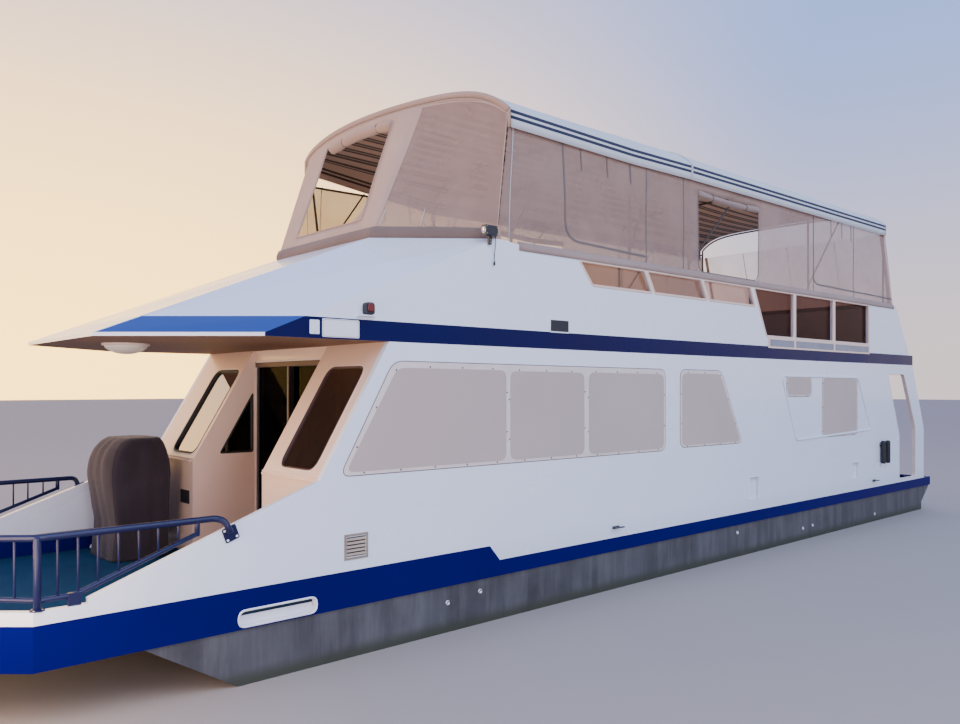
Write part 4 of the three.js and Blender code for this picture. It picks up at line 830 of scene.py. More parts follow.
# %% Turned shapes and upright sides
def turned(profile, origin, axis, steps=32):
    """A shape of revolution: profile is (radius, height) along the axis."""
    axis = Vector(axis).normalized()
    across = axis.orthogonal().normalized()
    other = axis.cross(across)
    points, faces, rings = [], [], []
    for radius, lift in profile:
        centre = Vector(origin) + axis * lift
        rings.append((len(points), radius < 1e-6))
        if radius < 1e-6:
            points.append(centre)
            continue
        points += circle(centre, across, other, radius, steps)
    for (a, a_tip), (b, b_tip) in zip(rings, rings[1:]):
        for k in range(steps):
            n = (k + 1) % steps
            if a_tip and not b_tip:
                faces.append((a, b + n, b + k))
            elif b_tip and not a_tip:
                faces.append((a + k, a + n, b))
            elif not a_tip:
                faces.append((a + k, a + n, b + n, b + k))
    return points, faces


def side_place(sign, face):
    """Turns (x, z, out) into a point on an upright side, out being measured outwards from it."""
    return lambda u, v, w: Vector((u, sign * (face + w), v))


print("a turned cone has", len(turned([(1, 0), (0, 1)], (0, 0, 0), (0, 0, 1))[1]), "faces")

# %% [markdown]
# The spotlight's lead
#
# A lead hangs from the small spotlight at the port corner of the upper deck, down the wall to its plug. Cords
# come before the rest, because their route was settled with the solids. These stops repeat it, in metres.

# %% Spotlight lead
LEAD_RADIUS = 0.0035
LEAD_ROUTE = [
    (3.090, 1.862, 3.6917), (3.090, 1.862, 3.680), (3.089, 1.862, 3.665), (3.088, 1.861, 3.648), (3.087, 1.859, 3.630),
    (3.086, 1.856, 3.612), (3.085, 1.853, 3.594), (3.085, 1.850, 3.576), (3.085, 1.848, 3.558), (3.086, 1.846, 3.540),
    (3.087, 1.845, 3.522), (3.088, 1.844, 3.504), (3.088, 1.844, 3.486), (3.088, 1.844, 3.468), (3.088, 1.844, 3.4503),
]
lead = tubes("spotlight_lead", [(LEAD_ROUTE, LEAD_RADIUS, 0)], RUBBER, sides=16)
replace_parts(lead, "spotlight_cord")
print("lead:", round(sum((Vector(b) - Vector(a)).length for a, b in zip(LEAD_ROUTE, LEAD_ROUTE[1:])), 3), "m")

# %% [markdown]
# Copies on points
#
# Snaps, bolts, slats and louvres repeat. A Geometry Nodes tree sets one small shape on each point of a mesh and
# turns it by the point's own angles. The tree has named inputs for the size and the finish, and what it makes is
# turned into a plain mesh at once.

# %% Copy trees
def copy_tree(kind):
    """A tree that sets a stud or a slat on each point of the mesh that it's given."""
    tree = bpy.data.node_groups.new(f"a {kind} on each point", "GeometryNodeTree")
    for label, socket, way in (("Points", "NodeSocketGeometry", "INPUT"), ("Size", "NodeSocketVector", "INPUT"),
                               ("Finish", "NodeSocketMaterial", "INPUT"), ("Copies", "NodeSocketGeometry", "OUTPUT")):
        tree.interface.new_socket(label, in_out=way, socket_type=socket)
    start, end = add(tree, "NodeGroupInput"), add(tree, "NodeGroupOutput")
    if kind == "stud":
        unit = add(tree, "GeometryNodeMeshUVSphere", {"Segments": 14, "Rings": 8, "Radius": 1.0})
    else:
        unit = add(tree, "GeometryNodeMeshCube", {"Size": (1.0, 1.0, 1.0)})
    sized = add(tree, "GeometryNodeTransform", {"Geometry": unit.outputs["Mesh"], "Scale": start.outputs["Size"]})
    turn = add(tree, "GeometryNodeInputNamedAttribute", {"Name": "turn"}, data_type="FLOAT_VECTOR")
    angles = add(tree, "FunctionNodeEulerToRotation", {"Euler": turn.outputs["Attribute"]})
    copies_on = add(tree, "GeometryNodeInstanceOnPoints", {
        "Points": start.outputs["Points"], "Instance": sized.outputs["Geometry"],
        "Rotation": angles.outputs["Rotation"]})
    real = add(tree, "GeometryNodeRealizeInstances", {"Geometry": copies_on.outputs["Instances"]})
    coloured = add(tree, "GeometryNodeSetMaterial", {"Geometry": real.outputs["Geometry"],
                                                     "Material": start.outputs["Finish"]})
    tree.links.new(coloured.outputs["Geometry"], end.inputs["Copies"])
    return tree


COPY_TREES = {kind: copy_tree(kind) for kind in ("stud", "slat")}


def copies(name, kind, places, size, finish, turns=None, body="boat", slot=None, width=0.0):
    """One piece with a copy at each place; turns are the copies' angles, one for all or one each."""
    turns = turns or (0, 0, 0)
    angles = turns if isinstance(turns, list) else [turns] * len(places)
    mesh = mesh_from(name, places, [])
    own = mesh.attributes.new("turn", "FLOAT_VECTOR", "POINT")
    own.data.foreach_set("vector", [v for angle in angles for v in angle])
    grower = bpy.data.objects.new(name, mesh)
    scene.collection.objects.link(grower)
    grow = grower.modifiers.new("grow", "NODES")
    grow.node_group = COPY_TREES[kind]
    values = {"Size": size, "Finish": finish}
    for item in grow.node_group.interface.items_tree:
        if item.in_out == "INPUT" and item.name in values:
            grow[item.identifier] = values[item.name]
    grown = bpy.data.meshes.new_from_object(grower.evaluated_get(bpy.context.evaluated_depsgraph_get()))
    bpy.data.objects.remove(grower)
    grown.name = name
    grown.materials.clear()
    return finished(name, soften(grown, width, angle=40), finish, body, slot, smooth=kind == "stud")


print("copy trees:", [tree.name for tree in COPY_TREES.values()])

# %% [markdown]
# Cloth in patches
#
# Canvas work is sewn from panels: screen in the middle, canvas at the borders, and openings with a bound edge.
# One helper lays a grid over a surface. Its main lines are where the sewer's seams are, each line may slant, and
# every patch between them takes one cloth or stays open. Solidify then gives the cloth two sides and a hem.

# %% Lines of a patchwork
def fine_lines(lines, cell):
    """The given lines with more lines in between, at most a cell apart."""
    result = []
    for first, second in zip(lines, lines[1:]):
        count = max(1, math.ceil(max(abs(second[0] - first[0]), abs(second[1] - first[1])) / cell))
        result += [tuple(a + (b - a) * k / count for a, b in zip(first, second)) for k in range(count)]
    return result + [tuple(lines[-1])]


def shares(lines):
    """How far each line lies between the first and the last, from 0 to 1."""
    middles = [(a + b) / 2 for a, b in lines]
    return [(m - middles[0]) / (middles[-1] - middles[0]) for m in middles]


def straight(*values):
    """Columns or rows of a patchwork that don't slant."""
    return [(v, v) for v in values]


def on_profile(profile, v):
    """The point at step v of a profile, between the two it lies between."""
    k = min(int(v), len(profile) - 2)
    return [a + (b - a) * (v - k) for a, b in zip(profile[k], profile[k + 1])]


print("lines from 0 to 1, at most 0.3 apart:", len(fine_lines(straight(0, 1), 0.3)))

# %% Patchwork
CLOTH_THICKNESS = 0.003


def two_sided(piece, thickness, offset=0, **materials):
    """Gives a cloth its two sides and its hem."""
    hem = piece.modifiers.new("two sides", "SOLIDIFY")
    hem.thickness, hem.offset = thickness, offset
    for setting, value in materials.items():
        setattr(hem, setting, value)


def patchwork(name, columns, rows, place, patch_at, finishes, cell, slot=None, scale=(1, 1),
              thickness=CLOTH_THICKNESS):
    """Cloth over place(u, v). A column gives u at the first and last row, a row gives v at the first and last
    column. patch_at(u, v) picks one of the finishes, or None where the cloth is open."""
    columns, rows = fine_lines(columns, cell[0]), fine_lines(rows, cell[1])
    across, up = shares(columns), shares(rows)
    spots = [[(c[0] + (c[1] - c[0]) * up[j], r[0] + (r[1] - r[0]) * across[i]) for i, c in enumerate(columns)]
             for j, r in enumerate(rows)]
    wide = len(columns)
    points = [place(u, v) for row in spots for u, v in row]
    faces, patches, corners = [], [], []
    for j in range(len(rows) - 1):
        for i in range(wide - 1):
            cell_spots = [spots[j][i], spots[j][i + 1], spots[j + 1][i + 1], spots[j + 1][i]]
            patch = patch_at(sum(s[0] for s in cell_spots) / 4, sum(s[1] for s in cell_spots) / 4)
            if patch is None:
                continue
            a = j * wide + i
            faces.append((a, a + 1, a + wide + 1, a + wide))
            patches.append(patch)
            corners.append(cell_spots)
    mesh = mesh_from(name, points, faces)
    uv = mesh.uv_layers.new(name="cut")
    for polygon, patch, cell_spots in zip(mesh.polygons, patches, corners):
        polygon.material_index = patch
        for loop, spot in zip(polygon.loop_indices, cell_spots):
            uv.data[loop].uv = (spot[0] * scale[0], spot[1] * scale[1])
    work = bmesh.new()
    work.from_mesh(mesh)
    bmesh.ops.delete(work, geom=[v for v in work.verts if not v.link_faces], context="VERTS")
    work.to_mesh(mesh)
    work.free()
    piece = finished(name, mesh, finishes, slot=slot)
    two_sided(piece, thickness, material_offset=0)
    return piece


print("cloth thickness:", CLOTH_THICKNESS, "m")

# %% Strips and gussets
def strip(path, width, thickness, normal):
    """A flat band along a path, square to a normal, which may be a function of the point."""
    stops = [Vector(p) for p in path]
    points = []
    for i, stop in enumerate(stops):
        along = (stops[min(i + 1, len(stops) - 1)] - stops[max(i - 1, 0)]).normalized()
        out = Vector(normal(stop) if callable(normal) else normal).normalized()
        across = along.cross(out).normalized() * width / 2
        rise = out * thickness / 2
        points += [stop - across - rise, stop + across - rise, stop + across + rise, stop - across + rise]
    last = 4 * (len(stops) - 1)
    return points, [*quads(len(stops), 4), (3, 2, 1, 0), (last, last + 1, last + 2, last + 3)]


def strips(name, bands, finish, slot=None):
    """One piece from several strips: each is (path, width, thickness, normal)."""
    return shape(name, [strip(*band) for band in bands], finish, slot=slot, smooth=False)


def gusset(corner, first, second, lift):
    """Fills the corner of an opening out to a round bend; first and second reach along its two edges."""
    corner, first, second, lift = (Vector(v) for v in (corner, first, second, lift))
    steps = 6
    arc = [corner + first * (1 - math.sin(t)) + second * (1 - math.cos(t))
           for t in (math.pi / 2 * k / steps for k in range(steps + 1))]
    points = [p + shift for shift in (-lift / 2, lift / 2) for p in [corner, *arc]]
    high = steps + 2
    faces = [(0, k + 2, k + 1) for k in range(steps)] + [(high, high + k + 1, high + k + 2) for k in range(steps)]
    return points, faces + quads(2, high)


def sample(first, second, count):
    first, second = Vector(first), Vector(second)
    return [first.lerp(second, k / count) for k in range(count + 1)]


print("a gusset has", len(gusset((0, 0, 0), (1, 0, 0), (0, 1, 0), (0, 0, 0.1))[1]), "faces")


def slack(x, y, z, size=1.6, seed=0.0):
    """A slow random swell between about -0.5 and 0.5, the same on every run."""
    return noise.noise(Vector((x * size + seed, y * size, z * size))) * 0.7

# %% [markdown]
# The roof cloth
#
# One long sheet lies over five bows. Its section rises steeply at the shoulders and is almost flat on top, and
# its front edge bows forward. Between two bows the cloth sinks a little, and a straight valance hangs from each
# shoulder. The sheet's UV map runs in metres from hem to hem, so the stripes stay parallel to the hems.

# %% Roof cloth
BOWS = ((2.85, 4.757, 5.27), (0.93, 4.79, 5.29), (-0.26, 4.812, 5.30), (-3.37, 4.825, 5.31), (-6.07, 4.836, 5.30))
FRONT_REACH = 0.33
FRONT_SKEW = 0.17
VALANCE = 0.18
# The cloth's starboard front corner is pulled up, and less so further aft
CORNER_LIFT = {"port": 0.045, "starboard": 0.24}
CORNER_TRIM = 0.02
CROWN_FALL = 0.04
SHOULDER_POWER = 8
SAG_PER_METRE = 0.0085


def roof_z(y, valance, crown):
    share = abs(y) / BEAM_HALF
    edge = valance + VALANCE
    return crown - CROWN_FALL * share ** 2 - (crown - CROWN_FALL - edge) * share ** SHOULDER_POWER


def front_x(y):
    return FRONT_REACH * (1 - min(abs(y) / BEAM_HALF, 1) ** 2) + FRONT_SKEW * (1 - y / BEAM_HALF) / 2


def corner_lift(y, share):
    """How far a shoulder is pulled up; share falls from 1 at the front bow to 0 at the next."""
    lift = CORNER_LIFT["starboard" if y < 0 else "port"]
    return lift * share * (abs(y) / BEAM_HALF) ** SHOULDER_POWER


print("the cloth's front edge, at its middle: x", round(BOWS[0][0] + front_x(0), 3))

# %% The cloth's section
ARCH_STEPS = 44
HEM_STEPS = 3


def section_stations():
    """Stations from the port hem over the top: (y, how far down the valance), closer at the shoulders."""
    ys = [BEAM_HALF * math.sin(math.pi * (0.5 - k / ARCH_STEPS)) for k in range(ARCH_STEPS + 1)]
    port = [(BEAM_HALF, 1 - k / HEM_STEPS) for k in range(HEM_STEPS)]
    return port + [(y, 0) for y in ys] + [(-y, down) for y, down in reversed(port)]


STATIONS = section_stations()


def roof_point(span, t, station, lift=0.0):
    """A point of the roof cloth between bow number span and the next, at a station of the section."""
    (x0, valance0, crown0), (x1, valance1, crown1) = BOWS[span], BOWS[span + 1]
    y, down = station
    start = x0 + (front_x(y) if span == 0 else 0)
    valance, crown = valance0 + (valance1 - valance0) * t, crown0 + (crown1 - crown0) * t
    inner = 1 - (abs(y) / BEAM_HALF) ** 6
    sag = SAG_PER_METRE * (x0 - x1) * 4 * t * (1 - t)
    point = Vector((start + (x1 - start) * t, y, roof_z(y, valance, crown) - VALANCE * down - sag * inner))
    if span == 0:
        point.z += corner_lift(y, 1 - t) + (CORNER_TRIM * down * (1 - t) if y < 0 else 0)
    if down == 0 and inner > 0.02:
        point.z += 0.006 * slack(point.x, point.y, 0, 0.9) * inner
    if down:
        point.y += math.copysign(0.006 * slack(point.x, 3, point.z, 1.1, 5.0) * down, y)
    return point + Vector((0, math.copysign(lift, y) if abs(y) > BEAM_HALF * 0.99 else 0, lift))


section = [roof_point(2, 0.5, s) for s in STATIONS]
hem_to_hem = [0.0]
for a, b in zip(section, section[1:]):
    hem_to_hem.append(hem_to_hem[-1] + (b - a).length)
cloth_scale = 2 * ROOF_CLOTH_HALF / hem_to_hem[-1]
hem_to_hem = [v * cloth_scale for v in hem_to_hem]
print("roof cloth, hem to hem:", round(hem_to_hem[-1] / cloth_scale, 3), "m")

# %% Lay the roof cloth
SPAN_STEP = 0.14


def roof_cloth():
    lines = []
    for span in range(len(BOWS) - 1):
        count = round((BOWS[span][0] - BOWS[span + 1][0]) / SPAN_STEP)
        lines += [(span, k / count) for k in range(count)]
    lines.append((len(BOWS) - 2, 1.0))
    wide = len(STATIONS)
    points = [roof_point(span, t, station) for span, t in lines for station in STATIONS]
    mesh = mesh_from("roof_cloth", points, quads(len(lines), wide, closed=False))
    uv = mesh.uv_layers.new(name="cut")
    for loop in mesh.loops:
        uv.data[loop.index].uv = (points[loop.vertex_index].x, hem_to_hem[loop.vertex_index % wide])
    if mesh.polygons[wide // 2].normal.z < 0:
        mesh.flip_normals()
    piece = finished("roof_cloth", mesh, [CANOPY_OUT, CANOPY_IN, CANOPY_OUT])
    two_sided(piece, 0.004, -1, material_offset=1, material_offset_rim=2)
    return piece


canopy = roof_cloth()
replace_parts(canopy, "canopy_top")

# %% [markdown]
# A tan facing closes the cloth's front edge: two bands that follow the front bow down both shoulders. A white
# strap lies over the cloth where its two lengths are laced together, and a cord runs along each hem.

# %% Facing, strap and hems
FACING = 0.052
SECOND_FACING = 0.030
FACE_FORWARD = 0.012


def front_edge(inset):
    """The front edge's line, moved towards the inside of the arch."""
    line = [roof_point(0, 0, station) for station in STATIONS]
    result = []
    for i, point in enumerate(line):
        before, after = line[max(i - 1, 0)], line[min(i + 1, len(line) - 1)]
        along = Vector((0, after.y - before.y, after.z - before.z)).normalized()
        inward = Vector((0, along.z, -along.y))
        if inward.dot(Vector((0, -point.y, 4.4 - point.z))) < 0:
            inward = -inward
        result.append(point + inward * inset + Vector((FACE_FORWARD, 0, 0)))
    return result


def facing(name, outer, inner, forward, finish):
    """A closed band between two insets of the front edge."""
    outline = [front_edge(outer), front_edge(inner)]
    points = [p + Vector((shift, 0, 0)) for shift in (forward, forward - 0.006) for line in outline for p in line]
    count = len(STATIONS)
    faces = []
    loops = [0, count, 3 * count, 2 * count]
    for a, b in zip(loops, loops[1:] + loops[:1]):
        faces += [(a + i, a + i + 1, b + i + 1, b + i) for i in range(count - 1)]
    faces += [tuple(reversed(loops)), tuple(k + count - 1 for k in loops)]
    return shape(name, [(points, faces)], finish, slot="canopy_cloth")


canopy_facing = facing("canopy_facing", -0.006, FACING, 0.006, CANVAS)
inner_facing = facing("canopy_inner_facing", FACING + 0.004, FACING + SECOND_FACING, 0.002, CANVAS)

strap_line = [roof_point(1, 1, s, 0.004) for s in STATIONS]
lacing_strap = strips("canopy_strap", [(strap_line, 0.035, 0.003, lambda p: (0, p.y * 0.6, p.z - 4.2))], WHITE_CLOTH,
                      slot="canopy_cloth")
hem_runs = []
for _, sign in SIDES:
    hem = [roof_point(span, k / 8, (sign * BEAM_HALF, 1)) for span in range(len(BOWS) - 1) for k in range(9)]
    hem_runs.append((hem, 0.005, 0))
hem_cord = tubes("canopy_hem_cord", hem_runs, WHITE_CLOTH, slot="canopy_cloth", sides=8)
print("facing, strap and hem cords made")

# %% [markdown]
# The canopy's frame
#
# Five bent tubes carry the cloth, with a long tube at each shoulder and slanting braces between the bows. The
# solid has the right lines, but a bent tube should be round, so it's made again with more sides.

# %% Frame tubes
FRAME_TUBE = 0.015
BRACE_TUBE = 0.011
FRAME_HALF = BEAM_HALF - 0.05
FRONT_BOW_BACK = 0.07
UPPER_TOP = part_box("upper_wall_port")[1].z
BRACE_REACH = 0.4
SHOULDER_CLEAR = 0.016
CLOTH_SKIN = 0.014


def bow_path(index):
    x, valance, crown = BOWS[index]
    path = []
    for k in range(25):
        s = math.sin((k / 24 - 0.5) * math.pi)
        y = s * FRAME_HALF
        slope = (roof_z(y + 0.001, valance, crown) - roof_z(y, valance, crown)) / 0.001
        below = CLOTH_SKIN + FRAME_TUBE * math.hypot(1, slope) + SHOULDER_CLEAR * s ** 4
        forward = front_x(y) - FRONT_BOW_BACK if index == 0 else 0
        path.append(Vector((x + forward, y, roof_z(y, valance, crown) - below)))
    foot = UPPER_TOP + (0.007 if index == 0 else 0.001)
    ends = [Vector((path[-1].x, sign * FRAME_HALF, foot)) for sign in (-1, 1)]
    return [ends[0], *path, ends[1]]


frame_runs = [(bow_path(i), FRAME_TUBE, 0) for i in range(len(BOWS))]
for _, sign in SIDES:
    end = 1 if sign < 0 else -2
    stops = [Vector((bow_path(i)[end].x, sign * FRAME_HALF, BOWS[i][1] + 0.09)) for i in range(len(BOWS))]
    frame_runs.append((stops, FRAME_TUBE, 0.02))
    for first, second in zip(stops, stops[1:]):
        foot = Vector((first.x, first.y, UPPER_TOP + 0.08))
        head = Vector((first.x + (second.x - first.x) * BRACE_REACH, first.y, second.z))
        frame_runs.append(([foot, head], BRACE_TUBE, 0))
canopy_tubes = tubes("canopy_tubes", frame_runs, BRONZE_TUBE)
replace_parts(canopy_tubes, "canopy_frame")
print("frame tubes:", len(frame_runs))

# %% [markdown]
# Side curtains
#
# Each side has one long screen with bound seams. One panel is a door with a zip that bends round its lower
# corner, one window is rolled up, and the aft panel has a zip of its own.

# %% Side curtains
CURTAIN_Y = 1.800
CURTAIN_FOOT = 3.6615
CURTAIN_HEAD = (4.86, 4.898)
CURTAIN_FRONT = {1: (3.012, 2.852), -1: (3.012, 3.022)}
CURTAIN_AFT = (-6.415, -6.088)
CURTAIN_SEAMS = (0.638, -0.108, -3.485, -4.858)
WINDOW_X = (-0.43, -1.885)
WINDOW_Z = (3.70, 4.70)


def curtain_y(x, z):
    """Slight swells, still at the seams' height, top and bottom."""
    free = math.sin(math.pi * min(max((z - CURTAIN_FOOT) / 1.2, 0), 1))
    drag = 0.004 * math.sin(x * 9 + z * 6) * max(0.0, 1 - abs(x + 1.2) / 1.8)
    return CURTAIN_Y + free * (0.020 * slack(x, 1, z, 1.3) + 0.010 * slack(x, 2, z, 3.4) + drag)


def curtain_place(sign):
    def place(x, z):
        front = 0.022 if x > 2.78 and z < CURTAIN_FOOT + 0.001 else 0
        return Vector((x, sign * curtain_y(x, z), z + front))
    return place


def curtain_patch(x, z):
    if WINDOW_X[1] < x < WINDOW_X[0] and WINDOW_Z[0] < z < WINDOW_Z[1]:
        return None
    return 1 if x < WINDOW_X[1] - 0.1 else 0


CURTAIN_COLUMNS = [(2.78, 2.76), *straight(*CURTAIN_SEAMS[:2], *WINDOW_X, -1.985, *CURTAIN_SEAMS[2:]), CURTAIN_AFT]
CURTAIN_ROWS = [*straight(CURTAIN_FOOT, *WINDOW_Z), CURTAIN_HEAD]
for side, sign in SIDES:
    cloth = patchwork(f"curtain_cloth_{side}", [CURTAIN_FRONT[sign], *CURTAIN_COLUMNS], CURTAIN_ROWS,
                      curtain_place(sign), curtain_patch, [SCREEN, CLEAR_SCREEN], (0.09, 0.08))
    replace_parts(cloth, f"curtain_{side}")
    print(cloth.name, len(cloth.data.polygons), "patches")

# %% [markdown]
# Seams, zips and bindings lie on the cloth as thin tapes that follow its swells. The rolled window hangs under
# the head of its opening in two ties, and short straps for the other rolls hang down from the valance.

# %% Tapes, zips and rolls
TAPE = 0.0022


def on_curtain(sign, x, z, lift=0.0):
    return Vector((x, sign * (curtain_y(x, z) + lift), z))


def curtain_line(sign, stops, lift, bend=0.0):
    """A fine line through (x, z) stops that follows the cloth."""
    path = rounded([(x, 0, z) for x, z in stops], bend, 8)
    fine = []
    for a, b in zip(path, path[1:]):
        fine += sample(a, b, max(1, round((b - a).length / 0.09)))[:-1]
    return [on_curtain(sign, p.x, p.z, lift) for p in fine + [path[-1]]]


def curtain_head(x):
    share = (2.85 - x) / (2.85 - CURTAIN_AFT[1])
    return CURTAIN_HEAD[0] + (CURTAIN_HEAD[1] - CURTAIN_HEAD[0]) * share


DOOR_ZIP = [(2.08, 4.86), (2.05, 4.3), (2.03, 3.80), (0.638, 3.765)]
AFT_ZIP = [(-3.485, 4.88), (-3.485, 3.80), (-6.36, 3.775)]
WINDOW_BIND = [(WINDOW_X[0], 4.69), (WINDOW_X[0], 3.70), (WINDOW_X[1], 3.70), (WINDOW_X[1], 4.69)]
STRAP_XS = (1.80, 1.36, 0.95, -4.05, -4.42, -4.75)
# The curtain's foot laps over the wall's top edge: (distance from the centreline, height)
FOOT_PROFILE = ((CURTAIN_Y + 0.004, 3.694), (CURTAIN_Y + 0.006, 3.674), (1.8295, 3.664), (1.8305, 3.634),
                (1.831, 3.602))


def foot_place(sign):
    def place(x, v):
        y, z = on_profile(FOOT_PROFILE, v)
        loose = max(0.0, v - 2) / 2
        return Vector((x, sign * (y + 0.003 * loose * max(0.0, slack(x, 0, 0, 2.4) + 0.4)),
                       z + 0.005 * loose * slack(x, 4, 0, 1.1)))
    return place


for side, sign in SIDES:
    out = (0, sign, 0)
    dark = [(curtain_line(sign, [(x, CURTAIN_FOOT + 0.02), (x, curtain_head(x) - 0.01)], 0.003), 0.016, TAPE, out)
            for x in CURTAIN_SEAMS]
    dark += [(curtain_line(sign, DOOR_ZIP, 0.004, 0.22), 0.024, 0.003, out),
             (curtain_line(sign, AFT_ZIP, 0.004, 0.16), 0.022, 0.003, out)]
    dark += [(curtain_line(sign, [(x, curtain_head(x) - 0.04), (x - 0.02, curtain_head(x) - 0.30)], 0.006),
              0.018, TAPE, out) for x in STRAP_XS]
    strips(f"curtain_seams_{side}", dark, SEAM)
    patchwork(f"curtain_base_{side}", straight(2.74, -6.39), straight(*range(len(FOOT_PROFILE))), foot_place(sign),
              lambda u, v: 0, [SCREEN_HEM], (0.15, 1), thickness=0.0022)
    piping = [(curtain_line(sign, [(2.86, 3.70), (2.80, 4.84)], 0.004), 0.005, 0)]
    tubes(f"curtain_piping_{side}", piping, WHITE_CLOTH, sides=8)
    tubes(f"curtain_binding_{side}", [(curtain_line(sign, WINDOW_BIND, 0.002, 0.14), 0.005, 0)], SEAM, sides=8)
    fills = []
    for x, toward in ((WINDOW_X[0], -1), (WINDOW_X[1], 1)):
        fills.append(gusset(on_curtain(sign, x, WINDOW_Z[0]), (0.07 * toward, 0, 0), (0, 0, 0.07), (0, 0.003, 0)))
    shape(f"curtain_gussets_{side}", fills, CANVAS, smooth=False)
print("tapes and bindings made")

# %% Rolled windows
ROLL = 0.042
ROLL_TIES = (0.22, 0.78)


def roll(start, end, radius, wave, sides=16):
    """A rolled length of cloth that sags and swells a little between its ties."""
    count = 28
    path = [p + Vector((0, 0, wave * math.sin(math.pi * k / count) * -1)) for k, p in
            enumerate(sample(start, end, count))]
    points, faces = swept(path, radius, sides)
    rings = len(points) // sides
    axis = (Vector(end) - Vector(start)).normalized()
    shaped = []
    for ring in range(rings):
        centre = sum((points[ring * sides + k] for k in range(sides)), Vector()) / sides
        share = min(max((ring - 1) / (rings - 3), 0), 1)
        pinch = 1 - 0.22 * sum(math.exp(-((share - tie) / 0.03) ** 2) for tie in ROLL_TIES)
        for k in range(sides):
            away = (points[ring * sides + k] - centre).normalized()
            turn = 2 * math.pi * k / sides
            lap = 1 + 0.10 * math.sin(turn) + 0.05 * math.sin(3 * turn + share * 7) + 0.08 * slack(share * 9, turn, 0)
            inner = 0.72 if ring in (0, rings - 1) else 1.0
            shaped.append(centre + away * radius * pinch * lap * inner)
    ties = []
    for tie in ROLL_TIES:
        middle = path[round(tie * count)]
        across = axis.orthogonal().normalized()
        other = axis.cross(across)
        ties.append(swept(circle(middle, across, other, radius * 0.86, 20), 0.005, 8, closed=True))
    return (shaped, faces), ties


for side, sign in SIDES:
    place = curtain_place(sign)
    start, end = (place(x, WINDOW_Z[1] - 0.03) + Vector((0, -sign * 0.012, 0))
                  for x in (WINDOW_X[0] - 0.02, WINDOW_X[1] + 0.02))
    bundle, ties = roll(start, end, ROLL, 0.02)
    shape(f"rolled_window_{side}", [bundle], SCREEN_HEM, None)
    shape(f"rolled_window_ties_{side}", ties, SEAM, None)
print("rolled windows made")

# %% [markdown]
# The front enclosure
#
# Three faces run up from the corners of the coaming to the front bow: a wide middle face of plain canvas with
# its window rolled up, and a screen on each side face. The lines all slant, so the patchwork's columns are given
# by where they start at the foot and where they end at the head.

# %% Front enclosure
FRONT_FOOT = ((3.010, 1.793, 3.6825), (3.860, 0.878, 3.7175), (3.925, -0.882, 3.698), (3.010, -1.793, 3.6825))
FRONT_BREAKS = (1.793, 0.70, -1.60, -1.793)
# The window's port and starboard edges at the foot and at the head, and how far each low corner is rounded
FRONT_WINDOW_U = ((1.150, 1.108), (1.850, 1.680))
FRONT_WINDOW_TURNS = (0.17, 0.05)
FRONT_WINDOW_V = (0.153, 0.905)
FRONT_BEAD_HEAD = 0.90
FRONT_FOOT_BAND, FRONT_HEAD_BAND = 0.065, 0.955
SCREEN_SIDE = 0.008
SCREEN_FOLD = (0.99, 0.875)
STARBOARD_FOLD = tuple(3 - u for u in SCREEN_FOLD)


def front_place(u, v, lift=0.0):
    """u counts faces from port, from 0 to 3, and v goes up from the foot to the front bow."""
    face = min(int(u), 2)
    t = u - face
    low = Vector(FRONT_FOOT[face]).lerp(Vector(FRONT_FOOT[face + 1]), t)
    y = FRONT_BREAKS[face] + (FRONT_BREAKS[face + 1] - FRONT_BREAKS[face]) * t
    high = Vector((BOWS[0][0] - 0.006 + front_x(y), y, roof_z(y, *BOWS[0][1:]) + corner_lift(y, 1) - 0.030))
    point = low.lerp(high, v)
    out = Vector((0.5, 0.62 * (1 - u / 1.5), 0.25)).normalized()
    loose = math.sin(math.pi * v) * math.sin(math.pi * t) ** 0.5
    return point + out * (lift + loose * (0.016 * slack(point.x, point.y, point.z, 1.8, 9) - 0.006))


def window_edge_u(edge, v):
    foot, head = FRONT_WINDOW_U[edge]
    return foot + (head - foot) * v


def front_patch(u, v):
    if 1 < u < 2:
        inside = window_edge_u(0, v) < u < window_edge_u(1, v)
        return None if inside and FRONT_WINDOW_V[0] < v < FRONT_WINDOW_V[1] else 1
    u = min(u, 3 - u)
    fold = SCREEN_FOLD[0] + (SCREEN_FOLD[1] - SCREEN_FOLD[0]) * v
    return 0 if SCREEN_SIDE < u < fold and FRONT_FOOT_BAND < v < FRONT_HEAD_BAND else 1


front_cloth = patchwork(
    "front_curtain_cloth",
    [*straight(0, SCREEN_SIDE), SCREEN_FOLD, (1, 1), *FRONT_WINDOW_U, (2, 2), STARBOARD_FOLD,
     *straight(3 - SCREEN_SIDE, 3)],
    straight(0, FRONT_FOOT_BAND, *FRONT_WINDOW_V, FRONT_HEAD_BAND, 1), front_place, front_patch,
    [SCREEN, CANVAS], (0.05, 0.05), scale=(1.45, 1.5))
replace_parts(front_cloth, "curtain_front")
print(front_cloth.name, len(front_cloth.data.polygons), "patches")

# %% Bands of the front enclosure
def front_line(stops, lift):
    """A fine line through (u, v) stops over the front enclosure."""
    fine = []
    for a, b in zip(stops, stops[1:]):
        count = max(2, round(max(abs(b[0] - a[0]), abs(b[1] - a[1])) / 0.05))
        fine += [(a[0] + (b[0] - a[0]) * k / count, a[1] + (b[1] - a[1]) * k / count) for k in range(count)]
    return [front_place(u, v, lift) for u, v in [*fine, stops[-1]]]


def front_normal(point):
    return (0.8, 0.55 if point.y > 0.88 else -0.55 if point.y < -0.88 else 0, 0.35)


# The foot is a doubled band that stands out and turns back under itself: (height, lift)
FOOT_BAND = ((0.078, 0.005), (0.066, 0.022), (0.020, 0.026), (-0.004, 0.012), (-0.006, 0.002))


def foot_band_place(u, v):
    height, lift = on_profile(FOOT_BAND, v)
    return front_place(u, height, lift + 0.004 * slack(u * 3, v, 0, 2.0))


